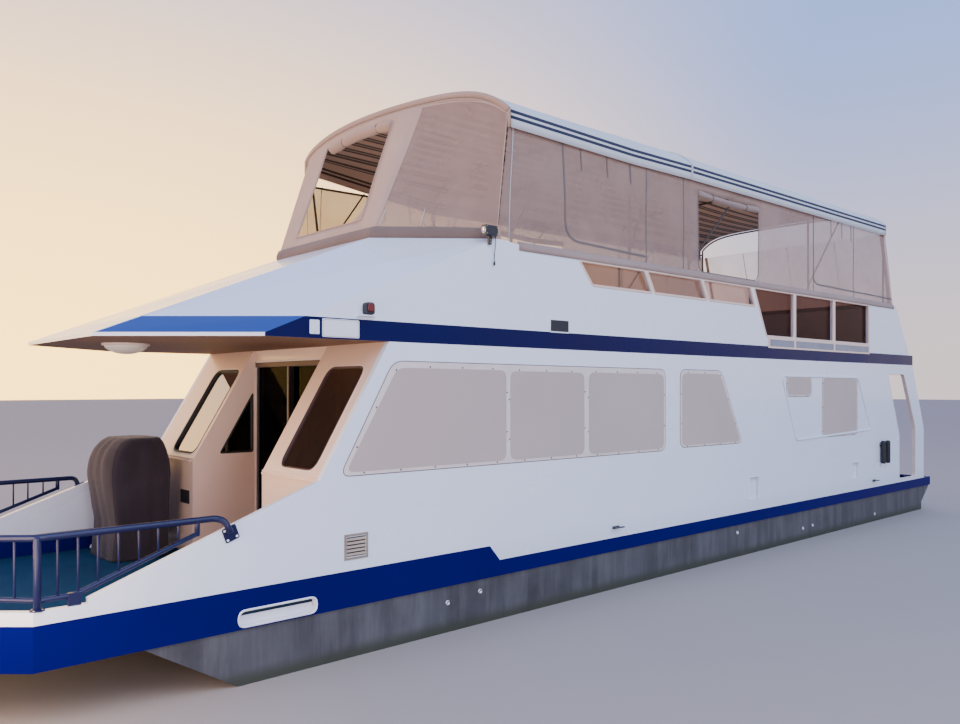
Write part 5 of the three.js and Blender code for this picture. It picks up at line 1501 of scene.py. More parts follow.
# The foot band's dark canvas is painted shade where the band turns under.
patchwork("front_foot_band", straight(0.005, 1, 2, 2.995), straight(*range(len(FOOT_BAND))), foot_band_place,
          lambda u, v: 0, [SHADED_BAND_CANVAS], (0.04, 1), thickness=0.003)
fold_seams = [(front_line([(foot, 0.07), (head, 0.97)], 0.002), 0.006, 0.002, front_normal)
              for foot, head in (SCREEN_FOLD, STARBOARD_FOLD)]
strips("front_curtain_seams", fold_seams, CANVAS)
sill = FRONT_WINDOW_V[0]
edges = [(window_edge_u(edge, sill), window_edge_u(edge, FRONT_BEAD_HEAD)) for edge in (0, 1)]
window_edge = [(edges[0][1], FRONT_BEAD_HEAD), (edges[0][0], sill), (edges[1][0], sill), (edges[1][1], FRONT_BEAD_HEAD)]
window_bead = [(front_line(window_edge, 0.002), 0.008, 0)]
zip_beads = [(front_line([(u, 0.09), (u - 0.01, 0.20)], 0.006), 0.004, 0) for u in (0.955, 0.62, 2.045)]
tubes("front_curtain_beads", window_bead, CANVAS, sides=8)
tubes("front_curtain_zips", zip_beads, WHITE_CLOTH, sides=8)
fills = []
for edge, toward in ((0, 1), (1, -1)):
    u, bend = edges[edge][0], FRONT_WINDOW_TURNS[edge]
    corner = front_place(u, sill, 0.002)
    first = front_place(u + bend * 0.7 * toward, sill, 0.002) - corner
    second = front_place(window_edge_u(edge, sill + bend), sill + bend, 0.002) - corner
    fills.append(gusset(corner, first, second, (0.004, 0, 0)))
shape("front_curtain_gussets", fills, CANVAS, smooth=False)
bundle, ties = roll(front_place(1.13, 0.885) - Vector((0.03, 0, 0)), front_place(1.66, 0.885) - Vector((0.03, 0, 0)),
                    0.055, -0.035)
shape("front_rolled_window", [bundle], CANVAS, None)
shape("front_rolled_window_ties", ties, SEAM, None)
print("bands of the front made, corners filled:", len(fills))

# %% [markdown]
# The aft curtain closes the deck's aft end and leans with the wall below it. It's one clear screen with bound
# edges and three seams.

# %% Aft curtain
AFT_FOOT = (-6.472, 3.6615)
AFT_HEAD = (-6.117, 4.878)
AFT_HALF = 1.757
AFT_BORDER = 0.06


def aft_place(y, v, lift=0.0):
    x = AFT_FOOT[0] + (AFT_HEAD[0] - AFT_FOOT[0]) * v
    z = AFT_FOOT[1] + (AFT_HEAD[1] - AFT_FOOT[1]) * v
    swell = math.sin(math.pi * v) * 0.018 * slack(y, v * 2, 1, 1.7, 4)
    return Vector((x - 0.959 * (lift + swell), y, z + 0.28 * (lift + swell)))


def aft_patch(y, v):
    return 1 if abs(y) > AFT_HALF - AFT_BORDER or v < AFT_BORDER else 0


aft_columns = straight(AFT_HALF, AFT_HALF - AFT_BORDER, AFT_BORDER - AFT_HALF, -AFT_HALF)
aft_cloth = patchwork("aft_curtain_cloth", aft_columns, straight(0, AFT_BORDER, 1), aft_place, aft_patch,
                      [CLEAR_FILM, SCREEN_HEM], (0.12, 0.08), scale=(1, 1.27))
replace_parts(aft_cloth, "curtain_aft")
strips("aft_curtain_seams", [([aft_place(y, k / 12, 0.004) for k in range(13)], 0.010, TAPE, (-0.96, 0, 0.28))
                             for y in (-0.9, 0.0, 0.9)], SEAM)
print(aft_cloth.name, len(aft_cloth.data.polygons), "patches")

# %% [markdown]
# Side windows and their covers
#
# The windows of the lower cabin are hidden. A pale cover lies over each of them, inside a cream frame with a
# thin shadow line, and dark snaps hold it round its edge. The upper windows are bare panes in thin light frames,
# and a strip of three narrow panes runs below the aft ones.

# %% Window outlines
# (top aft, top fore, bottom aft, bottom fore, low, high)
UPPER_WINDOWS = [
    (0.700, 1.840, 0.545, 1.625, 3.345, 3.600), (-0.460, 0.660, -0.600, 0.505, 3.345, 3.600),
    (-1.640, -0.500, -1.760, -0.640, 3.345, 3.600), (-2.845, -1.725, -2.845, -2.060, 2.950, 3.600),
    (-4.095, -2.885, -4.095, -2.885, 2.950, 3.600), (-5.385, -4.137, -5.385, -4.137, 2.950, 3.600),
]


def window_outline(row, bend):
    """A window's outline with rounded corners, from a row of the table."""
    top_aft, top_fore, bottom_aft, bottom_fore, low, high = row
    corners = [(bottom_aft, low), (bottom_fore, low), (top_fore, high), (top_aft, high)]
    return round_corners(corners, bend * 1.7, 7)


def outline_area(outline):
    return abs(sum(outline[i - 1][0] * p[1] - p[0] * outline[i - 1][1] for i, p in enumerate(outline))) / 2


def cloth_plate(name, outline, to_place, low, high, finish):
    """Flat stretched cloth with its UV map in metres."""
    mesh = mesh_from(name, *slab(outline, to_place, low, high))
    uv = mesh.uv_layers.new(name="cut")
    for loop in mesh.loops:
        uv.data[loop.index].uv = outline[loop.vertex_index % len(outline)]
    return finished(name, mesh, finish, smooth=False)


def along_outline(outline, step):
    """Points along a closed outline, about a step apart."""
    closed = outline + outline[:1]
    total = sum(math.dist(a, b) for a, b in zip(closed, closed[1:]))
    gap = total / round(total / step)
    result, walked = [], gap / 2
    for a, b in zip(closed, closed[1:]):
        length = math.dist(a, b)
        while walked <= length:
            share = walked / length
            result.append((a[0] + (b[0] - a[0]) * share, a[1] + (b[1] - a[1]) * share))
            walked += gap
        walked -= length
    return result


print("an upper window's opening:", round(outline_area(window_outline(UPPER_WINDOWS[0], 0.02)), 3), "square metres")

# %% Covers, frames and snaps
# The covers lie over the wall inside cream frames; one frame goes round the three forward windows. Rows are as
# above, and the long row falls a little toward the stern.
FALL = 0.004
COVERS = {
    "saloon_1": (2.919, 4.222, 2.919, 4.748, 1.536, 2.412),
    "saloon_2": (1.765, 2.862, 1.765, 2.862, 1.535, 2.405),
    "saloon_3": (0.335, 1.688, 0.335, 1.688, 1.532, 2.410),
    "saloon_4": (-0.888, -0.044, -1.375, -0.044, 1.550, 2.428),
    "galley": (-3.350, -2.650, -3.350, -2.650, 2.160, 2.406),
    "aft_cabin": (-4.910, -3.750, -4.910, -3.750, 1.542, 2.412),
}
FRAMES = [(0.300, 4.262, 0.300, 4.800, 1.507, 2.465), (-0.922, -0.008, -1.420, -0.008, 1.527, 2.470),
          (-3.376, -2.624, -3.376, -2.624, 2.136, 2.430), (-4.940, -3.720, -4.940, -3.720, 1.519, 2.436)]
COVER_BACK = 0.0042
SNAP_OUT, SNAP_STEP = 0.012, 0.38


def falling(outline):
    """An outline that sinks toward the stern."""
    return [(x, z + FALL * (x - 2.5)) for x, z in outline]


for side, sign in SIDES:
    place = side_place(sign, BEAM_HALF)
    frames = [falling(window_outline(row, 0.06)) for row in FRAMES]
    plates(f"window_frames_{side}", frames, place, 0.0003, 0.0035, TRIM, 0.0015)
    surrounds(f"window_shadow_lines_{side}", frames, place, 0.0004, 0.008, 0.0003, 0.002, SHADOW_LINE)
    snaps = []
    for name, row in COVERS.items():
        cut = falling(window_outline(row, 0.05))
        cover = cloth_plate(f"window_cover_{name}_{side}", cut, place, COVER_BACK, 0.0065, WINDOW_CLOTH)
        wide, high = (max(p[k] for p in cut) - min(p[k] for p in cut) for k in (0, 1))
        snaps += [place(u, v, COVER_BACK) for u, v in along_outline(shifted(cut, SNAP_OUT), SNAP_STEP)]
    copies(f"window_snaps_{side}", "stud", snaps, (0.008, 0.004, 0.008), DARK)
    print(side, "covers:", len(COVERS), "snaps:", len(snaps))

# %% Upper window frames
# (aft, fore) of the three panes of the low strip
LOW_PANES = ((-5.360, -4.150), (-4.090, -2.895), (-2.835, -2.150))
STRIP_HEIGHTS = (2.792, 2.944)
for side, sign in SIDES:
    place = side_place(sign, BEAM_HALF)
    outlines = [window_outline(row, 0.02) for row in UPPER_WINDOWS]
    # The upper frames take the white paint with painted warm light.
    surrounds(f"upper_window_frames_{side}", outlines, place, -0.018, 0.014, -0.020, 0.006, WARM_LIT_WHITE)
    low_strip = ring_of(LOW_PANES[0][0] - 0.045, LOW_PANES[-1][1] + 0.045, *STRIP_HEIGHTS, 0.01)
    plates(f"low_strip_frame_{side}", [low_strip], place, 0.0004, 0.0062, WARM_LIT_WHITE, 0.001)
    panes = [ring_of(aft, fore, STRIP_HEIGHTS[0] + 0.026, STRIP_HEIGHTS[1] - 0.030, 0.012) for aft, fore in LOW_PANES]
    plates(f"low_strip_panes_{side}", panes, place, 0.0045, 0.0070, STRIP_GLASS, 0)
print("upper frames:", len(UPPER_WINDOWS), "a side, low panes:", len(LOW_PANES))

# %% [markdown]
# The front of the cabin
#
# Two raked windows flank a recess with the door. Each raked pane has a gasket, a narrow brown one to port and
# a wide black one to starboard, and a sill ledge below it. Drapes hang behind the recess panes and behind the
# door's fixed leaf.

# %% Raked windows
CABIN_FRONT_X = 4.990
SILL_Z = 1.490
RAKE = 0.5893
RAKE_OUT = Vector((1, 0, RAKE)).normalized()
RAKED_SPANS = {"port": (1.070, 1.660), "starboard": (0.760, 1.350)}
RAKED_HEIGHTS = (1.560, 2.430)
RECESS_EDGE = {"port": 0.830, "starboard": 0.700}
RECESS_WINDOW = round_corners([(4.320, 1.550), (4.690, 1.550), (4.320, 2.180)], 0.02)
RIMS = {"port": (HEADER_BROWN, -0.006, 0.006, -0.012), "starboard": (RUBBER, -0.010, 0.014, -0.024)}


def rake_place(sign):
    """(distance from the centreline, height, out) on the raked window wall."""
    return lambda u, v, w: Vector((CABIN_FRONT_X - (v - SILL_Z) * RAKE, sign * u, v)) + RAKE_OUT * w


def recess_place(side, sign):
    """(x, height, out into the recess) on the recess's side wall."""
    return lambda u, v, w: Vector((u, sign * (RECESS_EDGE[side] - w), v))


for side, sign in SIDES:
    place, recess = rake_place(sign), recess_place(side, sign)
    window = ring_of(*RAKED_SPANS[side], *RAKED_HEIGHTS, 0.10)
    rim, inner, outer, pane_depth = RIMS[side]
    surrounds(f"raked_gasket_{side}", [window], place, inner, outer, -0.030, 0.005, rim, slot="dark_frame")
    surrounds(f"raked_trim_{side}", [window], place, outer, outer + 0.012, -0.004, 0.003, TRIM)
    panes = [slab(shifted(window, inner + 0.002), place, pane_depth - 0.006, pane_depth),
             slab(shifted(RECESS_WINDOW, -0.004), recess, -0.026, -0.020)]
    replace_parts(shape(f"front_panes_{side}", panes, MIRROR_GLASS, smooth=False), f"front_glass_{side}")
    surrounds(f"recess_gasket_{side}", [RECESS_WINDOW], recess, -0.012, 0.010, -0.030, 0.005, RUBBER)
    low, high = sorted((sign * (RECESS_EDGE[side] + 0.03), sign * 1.80))
    blocks(f"raked_sill_{side}", [((4.982, low, 1.474), (5.016, high, 1.492))], WARM_LIT_WHITE, 0.006)
print("raked windows framed")

# %% [markdown]
# The drapes are gathered cloth: their fullness is a wave across the width, deeper at the foot.

# %% Drapes
DRAPE_WAVE = 0.085


def drape(name, to_place, across, foot, heads, finish, depth=0.018):
    """Gathered cloth between two stations across, from the foot up to a head that may slope."""
    start, end = across

    def place(u, v):
        swing = math.sin(2 * math.pi * u / DRAPE_WAVE) + 0.35 * slack(u, v, 0, 5.0)
        fade = 1.0 - 0.45 * (v - foot) / (max(heads) - foot)
        return to_place(u, v, depth * swing * fade)

    cloth = patchwork(name, [(start, start), (end, end)], [(foot, foot), heads], place, lambda u, v: 0, [finish],
                      (0.010, 0.12), thickness=0.002, slot="cover_cloth")
    return cloth


for side, sign in SIDES:
    hang = recess_place(side, sign)
    drape(f"recess_drape_{side}", lambda u, v, w: hang(u, v, w - 0.115), (4.30, 4.70), 1.50, (2.20, 1.58), PALE_DRAPE)
print("recess drapes hung")

# %% [markdown]
# The door has two leaves in dark frames. The fixed one stands in front with a drape behind it, and the sliding
# one runs behind it on two shoes. Each pane is real glass now, so the frames are made again without panes.

# %% Door leaves
DOOR_X = 4.284
LEAF_FRAME = 0.045


def leaf(name, x0, x1, y0, y1, z0, z1, body):
    bars = [((x0, y0, z0), (x1, y0 + LEAF_FRAME, z1)), ((x0, y1 - LEAF_FRAME, z0), (x1, y1, z1)),
            ((x0, y0 + LEAF_FRAME, z0), (x1, y1 - LEAF_FRAME, z0 + LEAF_FRAME)),
            ((x0, y0 + LEAF_FRAME, z1 - LEAF_FRAME), (x1, y1 - LEAF_FRAME, z1))]
    frame_bars = blocks(f"{name}_frame", bars, DARK, 0.003, body)
    middle = (x0 + x1) / 2
    pane = ((middle - 0.003, y0 + 0.03, z0 + 0.03), (middle + 0.003, y1 - 0.03, z1 - 0.03))
    blocks(f"{name}_pane", [pane], DOOR_GLASS, 0, body)
    return frame_bars


fixed = leaf("fixed_leaf", DOOR_X - 0.038, DOOR_X - 0.008, -0.6897, 0.020, 0.5193, 2.5097, "boat")
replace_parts(fixed, "door_fixed_leaf")
sliding = leaf("sliding_leaf", DOOR_X - 0.080, DOOR_X - 0.050, -0.025, 0.685, 0.524, 2.505, "front_door")
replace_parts(sliding, "door_sliding_leaf")
drape("door_drape", lambda u, v, w: Vector((DOOR_X - 0.150 + w, u, v)), (-0.66, -0.02), 0.56, (2.44, 2.44), DRAPE,
      0.026)

# The pull, its standoffs and the shoes ride with the sliding leaf
pull = [(DOOR_X - 0.049, 0.003, 1.33), (DOOR_X - 0.030, 0.003, 1.33), (DOOR_X - 0.030, 0.003, 1.63),
        (DOOR_X - 0.049, 0.003, 1.63)]
tubes("sliding_leaf_pull", [([(x + 0.004, y + 0.655, z) for x, y, z in pull], 0.008, 0.015)], TUBE, "front_door")
blocks("sliding_leaf_shoes", [((DOOR_X - 0.075, y, 0.5196), (DOOR_X - 0.055, y + 0.06, 0.539)) for y in (0.06, 0.54)],
       RUBBER, 0.002, "front_door")
blocks("door_header", [((DOOR_X - 0.006, -0.690, 2.462), (DOOR_X + 0.012, 0.690, 2.514))], HEADER_BROWN, 0.003)
blocks("door_mullion", [((DOOR_X - 0.008, 0.004, 0.530), (DOOR_X + 0.002, 0.020, 2.462))], VENT_TAN, 0.002)
blocks("door_jambs", [((DOOR_X - 0.004, s * 0.700 - 0.012, 0.520), (DOOR_X + 0.008, s * 0.700 + 0.012, 2.524))
                      for s in (-1, 1)] + [((DOOR_X - 0.004, -0.712, 2.512), (DOOR_X + 0.008, 0.712, 2.534))],
       TRIM, 0.003)
blocks("door_threshold", [((DOOR_X - 0.004, -0.712, 0.5195), (DOOR_X + 0.045, 0.712, 0.531))], TUBE, 0.003)

# Low front walls: a dark outlet and a latch to starboard, a latch to port
outlets = [((CABIN_FRONT_X, low_y, low_z), (high_x, high_y, high_z)) for low_y, low_z, high_x, high_y, high_z in (
    (-1.000, 1.030, 4.999, -0.780, 1.170), (-1.745, 1.250, 5.002, -1.715, 1.300), (1.560, 1.250, 5.002, 1.590, 1.300))]
blocks("front_outlets", outlets, DARK, 0.003)
print("door and front walls fitted")

# %% [markdown]
# Rails round the foredeck
#
# The solids have the right lines but few sides, so each rail is made again with round tubes on the same stops:
# a heavy top bar, a lower bar that follows the wing wall, thin balusters between them, and three posts. The top
# bar ends on a square plate that's turned to the wing wall's slope and held by white bolts.

# %% Bow rails
RAIL_Z = 1.281
RAIL_Y = BEAM_HALF - 0.030
RAIL_BASE = 0.8155
PROW = (8.020, 0.936)
CORNER = (7.040, RAIL_Y)
GATE_POST = (PROW[0], 0.490)
POSTS = (CORNER, PROW, GATE_POST)
GATE_PIN_Y, GATE_PIN_ZS = 0.450, (0.950, 1.180)
SLOPE_FOOT, SLOPE_HEAD = (6.795, 0.889), (5.990, 1.184)
LOW_Z, LOW_PROW_Z = 0.880, 0.925
BALUSTERS = (6.920, 6.795, 6.671, 6.538, 6.403, 6.270, 6.128)
PLATE_CENTRE = (5.750, 1.162)
PLATE_TURN = math.radians(-20)


def low_bar_z(x):
    share = max(0.0, (SLOPE_FOOT[0] - x) / (SLOPE_FOOT[0] - SLOPE_HEAD[0]))
    return SLOPE_FOOT[1] + share * (SLOPE_HEAD[1] - SLOPE_FOOT[1]) if share else LOW_Z


def stops_between(a, b, count):
    """Stops that split the way from a to b in count + 1 equal runs."""
    return [Vector(a).lerp(Vector(b), (k + 1) / (count + 1)) for k in range(count)]


def turned_square(centre, half, turn):
    """A square outline turned about its centre."""
    c, s = math.cos(turn), math.sin(turn)
    return [(centre[0] + a * c - b * s, centre[1] + a * s + b * c)
            for a, b in ((-half, -half), (half, -half), (half, half), (-half, half))]


def gate_hinges(low, high, arm, to_y):
    """Runs for both hinges: a knuckle round the pin between two lifts, and an arm from it to a post or the gate."""
    pin = [(PROW[0], GATE_PIN_Y, z) for z in GATE_PIN_ZS]
    return ([([(x, y, z + low), (x, y, z + high)], 0.009, 0) for x, y, z in pin]
            + [([(x, y, z + arm), (x, to_y, z + arm)], 0.006, 0) for x, y, z in pin])


print("balusters on the slope:", len(BALUSTERS))

# %% Rails, port and starboard
for side, sign in SIDES:
    def at(x, y, z):
        return (x, sign * y, z)

    runs = [
        ([at(5.765, RAIL_Y + 0.064, 1.180), at(5.800, RAIL_Y + 0.040, 1.262), at(5.850, RAIL_Y, RAIL_Z),
          at(*CORNER, RAIL_Z), at(*PROW, RAIL_Z), at(*GATE_POST, RAIL_Z)], 0.024, 0.05),
        ([at(SLOPE_HEAD[0], RAIL_Y, SLOPE_HEAD[1]), at(SLOPE_FOOT[0], RAIL_Y, SLOPE_FOOT[1]), at(6.850, RAIL_Y, LOW_Z),
          at(*CORNER, LOW_Z), at(*PROW, LOW_PROW_Z), at(*GATE_POST, LOW_PROW_Z)], 0.018, 0.04),
        ([at(SLOPE_HEAD[0], RAIL_Y, SLOPE_HEAD[1] - 0.010), at(SLOPE_HEAD[0], RAIL_Y, RAIL_Z)], 0.020, 0),
    ]
    runs += [([at(*post, RAIL_BASE), at(*post, RAIL_Z)], 0.024, 0) for post in POSTS]
    feet = [(x, RAIL_Y, low_bar_z(x)) for x in BALUSTERS]
    feet += stops_between((*CORNER, LOW_Z), (*PROW, LOW_PROW_Z), 8)
    feet += stops_between((*PROW, LOW_PROW_Z), (*GATE_POST, LOW_PROW_Z), 2)
    runs += [([at(*foot), at(foot[0], foot[1], RAIL_Z)], 0.008, 0) for foot in feet]
    if sign > 0:
        runs += gate_hinges(0, 0.035, 0.02, GATE_POST[1])
    rail = tubes(f"bow_rail_{side}_tubes", runs, RAIL_NAVY, sides=16)
    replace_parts(rail, f"bow_rail_{side}")

    face = side_place(sign, BEAM_HALF)
    plate = turned_square(PLATE_CENTRE, 0.056, PLATE_TURN)
    plates(f"rail_plate_{side}", [round_corners(plate, 0.012, 3)], face, 0.0004, 0.010, RAIL_NAVY, 0.002)
    flanges = [turned([(0, 0), (0.046, 0), (0.046, 0.006), (0.032, 0.012), (0.024, 0.012)],
                      at(*post, RAIL_BASE), (0, 0, 1), 24) for post in POSTS]
    low_y, high_y = sorted((sign * (RAIL_Y - 0.02), sign * (RAIL_Y + 0.02)))
    stub = block((6.780, low_y, RAIL_BASE), (6.860, high_y, 0.900))
    shape(f"rail_flanges_{side}", [*flanges, stub], RAIL_NAVY, 0.003, smooth=False)
    corners = turned_square(PLATE_CENTRE, 0.038, PLATE_TURN)
    copies(f"rail_bolts_{side}", "stud", [face(*corners[k], 0.010) for k in (0, 1, 2)], (0.010, 0.005, 0.010),
           PLATE_WHITE, slot="polished_tube")
    flange_bolts = [at(x + 0.036 * math.cos(t), y + 0.036 * math.sin(t), RAIL_BASE + 0.008)
                    for x, y in POSTS for t in (0.8, 2.4, 3.9, 5.5)]
    copies(f"rail_flange_bolts_{side}", "stud", flange_bolts, (0.006, 0.006, 0.004), BOLT)
    print(side, "rail:", len(runs), "tubes")

# %% [markdown]
# The gate between the rails swings inboard on two pins. It rides on a body of its own.

# %% Bow gate
GATE_LOW, GATE_Y0, GATE_Y1 = 0.860, -0.438, 0.416
corners = [(PROW[0], GATE_Y1, GATE_LOW), (PROW[0], GATE_Y1, RAIL_Z), (PROW[0], GATE_Y0, RAIL_Z),
           (PROW[0], GATE_Y0, GATE_LOW)]
runs = [(corners, 0.018, 0.03), ([corners[3], corners[0]], 0.018, 0)]
runs += [([tuple(p), (p.x, p.y, RAIL_Z)], 0.008, 0) for p in stops_between(corners[3], corners[0], 5)]
runs += gate_hinges(0.044, 0.078, 0.06, GATE_Y1)
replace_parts(tubes("bow_gate_tubes", runs, RAIL_NAVY, "bow_gate", sides=16), "bow_gate")
latch = [((PROW[0] - 0.014, GATE_Y0 - 0.030, 1.090), (PROW[0] + 0.014, GATE_Y0 + 0.012, 1.118)),
         ((PROW[0] - 0.008, GATE_Y0 - 0.006, 1.118), (PROW[0] + 0.008, GATE_Y0 + 0.008, 1.142))]
blocks("bow_gate_latch", latch, BOLT, 0.003, "bow_gate")
print("gate tubes:", len(runs))

# %% [markdown]
# Foredeck
#
# A slatted grate lies by the gate, and a ring is let into the carpet. The covered grill is one sheet over a
# box: it narrows to the top, and its folds deepen to the hem.

# %% Grate and deck fittings
GRATE = (7.20, 7.80, -0.42, 0.42)
slat_xs = [GRATE[0] + 0.03 + 0.06 * k for k in range(10)]
copies("bow_grate_slats", "slat", [(x, 0, 0.5480) for x in slat_xs], (0.036, 0.84, 0.014), PLATE_WHITE, width=0.003)
blocks("bow_grate_bearers", [((7.20, y - 0.02, 0.5195), (7.80, y + 0.02, 0.5405)) for y in (-0.36, 0, 0.36)],
       PLATE_WHITE, 0.002)
ring = turned([(0.110, 0.0), (0.118, 0.004), (0.112, 0.010), (0.0, 0.010)], (6.35, 1.15, 0.5195), (0, 0, 1), 40)
shape("deck_ring", [ring], BOLT, None)
print("grate slats:", len(slat_xs))

# %% Grill cover
# (aft x, fore x, starboard y, port y, z) rings of the cover
GRILL_RINGS = [(5.165, 5.795, -1.555, -0.755, 0.522), (5.162, 5.780, -1.545, -0.750, 0.70),
               (5.165, 5.755, -1.525, -0.748, 0.870), (5.158, 5.775, -1.550, -0.735, 1.020),
               (5.150, 5.812, -1.592, -0.720, 1.360), (5.160, 5.800, -1.585, -0.725, 1.500),
               (5.180, 5.765, -1.568, -0.735, 1.610), (5.205, 5.705, -1.530, -0.760, 1.690),
               (5.235, 5.640, -1.480, -0.795, 1.732)]
GRILL_STEPS = 132
GRILL_MIDDLE = (5.46, -1.13)


def grill_ring(z):
    """The ring's box at a height, between the rings given."""
    for low, high in zip(GRILL_RINGS, GRILL_RINGS[1:]):
        if z <= high[4]:
            share = (z - low[4]) / (high[4] - low[4])
            return [a + (b - a) * share for a, b in zip(low, high)]
    return list(GRILL_RINGS[-1])


def grill_place(u, v):
    """u runs once round the cover from 0 to 1, v is the height, and past the top it closes to the middle."""
    z = min(v, GRILL_RINGS[-1][4])
    x0, x1, y0, y1, _ = grill_ring(z)
    middle, half = ((x0 + x1) / 2, (y0 + y1) / 2), ((x1 - x0) / 2, (y1 - y0) / 2)
    turn = 2 * math.pi * u
    c, s = math.cos(turn), math.sin(turn)
    power = 5.0 if z < 1.3 else 5.0 - 1.2 * (z - 1.3) / 0.43
    reach = (abs(c) ** power + abs(s) ** power) ** (-1 / power)
    closing = 1 - max(0.0, v - GRILL_RINGS[-1][4]) / 0.30
    fall = max(0.0, 1 - (z - 0.52) / 1.05)
    folds = (0.013 * math.sin(turn * 9 + 2.4 * slack(u * 3, z, 0, 1.0)) + 0.030 * slack(c * 3, s * 3, z * 0.7, 1.3)
             + 0.004 * math.sin(turn * 21 + z * 3)) * (0.20 + 0.70 * fall) - 0.018 * (0.25 + fall)
    dent = 0.022 * slack(c * 2, s * 2, z * 2, 1.6, 3.0) * (1 - fall)
    radius = reach * closing
    x = middle[0] + c * radius * half[0] + c * (folds + dent) * closing
    y = middle[1] + s * radius * half[1] + s * (folds + dent) * closing
    top = 0.012 * slack(x, y, 0, 4.0) + 0.004
    hem = 0.006 * math.sin(turn * 9) * fall
    return Vector((x, y, z + hem * (z < 0.6) + (top if v > GRILL_RINGS[-1][4] else 0)))


print("rings of the cover:", len(GRILL_RINGS))

# %% Lay the grill cover
heights = [0.528, 0.56, 0.62, 0.70, 0.80, 0.90, 1.00, 1.10, 1.20, 1.28, 1.34, 1.40, 1.46, 1.52, 1.57, 1.62, 1.66,
           1.70, 1.732, 1.80, 1.88, 1.96, 2.024]
points = [grill_place(i / GRILL_STEPS, v) for v in heights for i in range(GRILL_STEPS)]
faces = quads(len(heights), GRILL_STEPS) + [tuple(range(len(points) - GRILL_STEPS, len(points)))]
mesh = mesh_from("grill_cover_cloth", points, faces)
uv = mesh.uv_layers.new(name="cut")
for polygon in mesh.polygons:
    for loop, vertex in zip(polygon.loop_indices, polygon.vertices):
        spot = points[vertex]
        uv.data[loop].uv = (math.atan2(spot.y - GRILL_MIDDLE[1], spot.x - GRILL_MIDDLE[0]) * 0.4, spot.z)
cover = finished("grill_cover_cloth", mesh, COVER)
two_sided(cover, CLOTH_THICKNESS, -1)
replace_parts(cover, "grill_cover")
print("grill cover:", len(mesh.polygons), "patches,", round(sum(p.area for p in mesh.polygons), 2), "square metres")
hem_line = [grill_place(i / GRILL_STEPS, 0.545) for i in range(GRILL_STEPS)]
seam_lines = [[grill_place(u, 0.53 + 1.17 * k / 40) for k in range(41)] for u in (0.125, 0.375, 0.625, 0.875)]
parts = [swept(hem_line, 0.006, 8, closed=True)] + [swept(line, 0.003, 6) for line in seam_lines]
shape("grill_cover_seams", parts, COVER, None)

# %% [markdown]
# Fittings on the sides
#
# Small things are set on the surface that's there. Where it slants, a ray finds the point and which way the
# surface faces. Both sides get the same set.

# %% Finding the surface
surface_trees = {}


def surface_at(node_name, origin, direction):
    """Where a ray first meets a solid, and the way the surface faces there."""
    if node_name not in surface_trees:
        work = bmesh.new()
        work.from_mesh(nodes[node_name].data)
        surface_trees[node_name] = BVHTree.FromBMesh(work)
        work.free()
    point, normal, _, _ = surface_trees[node_name].ray_cast(Vector(origin), Vector(direction).normalized())
    return point, normal


def facing_place(origin, out, up=(0, 0, 1)):
    """(across, up, out) places on a surface through a point."""
    out = Vector(out).normalized()
    across = Vector(up).cross(out).normalized()
    rise = out.cross(across)
    return lambda u, v, w: Vector(origin) + across * u + rise * v + out * w


print("surface finder ready")

# %% [markdown]
# Blank plates hang on the roof band near the bow, one wide and one small. Behind them a red lamp in a dark
# housing stands on the crease of the fairing, on a white foot.

# %% Plates and side lamps
for side, sign in SIDES:
    face = side_place(sign, BEAM_HALF)
    wide_plate, small_plate = ring_of(4.615, 4.970, 2.655, 2.806, 0.012), ring_of(4.995, 5.085, 2.675, 2.790, 0.010)
    plates(f"blank_plates_{side}", [wide_plate, small_plate], face, 0.0004, 0.0035, PLATE_WHITE, 0.0012)
    surrounds(f"plate_rims_{side}", [wide_plate], face, -0.010, -0.004, 0.003, 0.0050, BOLT)
    copies(f"plate_screws_{side}", "stud", [face(u, v, 0.004) for u, v in (
        (4.635, 2.79), (4.950, 2.79), (4.635, 2.67), (4.950, 2.67), (5.04, 2.782), (5.04, 2.683))],
        (0.005, 0.003, 0.005), BOLT)

    lamp_at, lamp_out = surface_at("fairing", (4.540, sign * 3, 2.900), (0, -sign, 0))
    seat = facing_place(lamp_at, lamp_out)
    plates(f"side_lamp_housing_{side}", [ring_of(-0.045, 0.045, -0.045, 0.060, 0.030)], seat, 0.0, 0.060, DARK, 0.008)
    plates(f"side_lamp_lens_{side}", [ring_of(-0.034, 0.034, -0.020, 0.050, 0.026)], seat, 0.060, 0.074, BRICK_RED,
           0.006)
    foot = [(-0.10, -0.058), (0.075, -0.058), (0.060, -0.045), (-0.085, -0.045)]
    plates(f"side_lamp_foot_{side}", [foot], seat, -0.004, 0.050, WHITE, 0.003)
print("plates and side lamps set, lamp at", [round(v, 3) for v in lamp_at])

# %% [markdown]
# Vents: a louvred grille low on the side wall, and a dark oblong vent in the fairing's side. The louvres are
# copies on points.

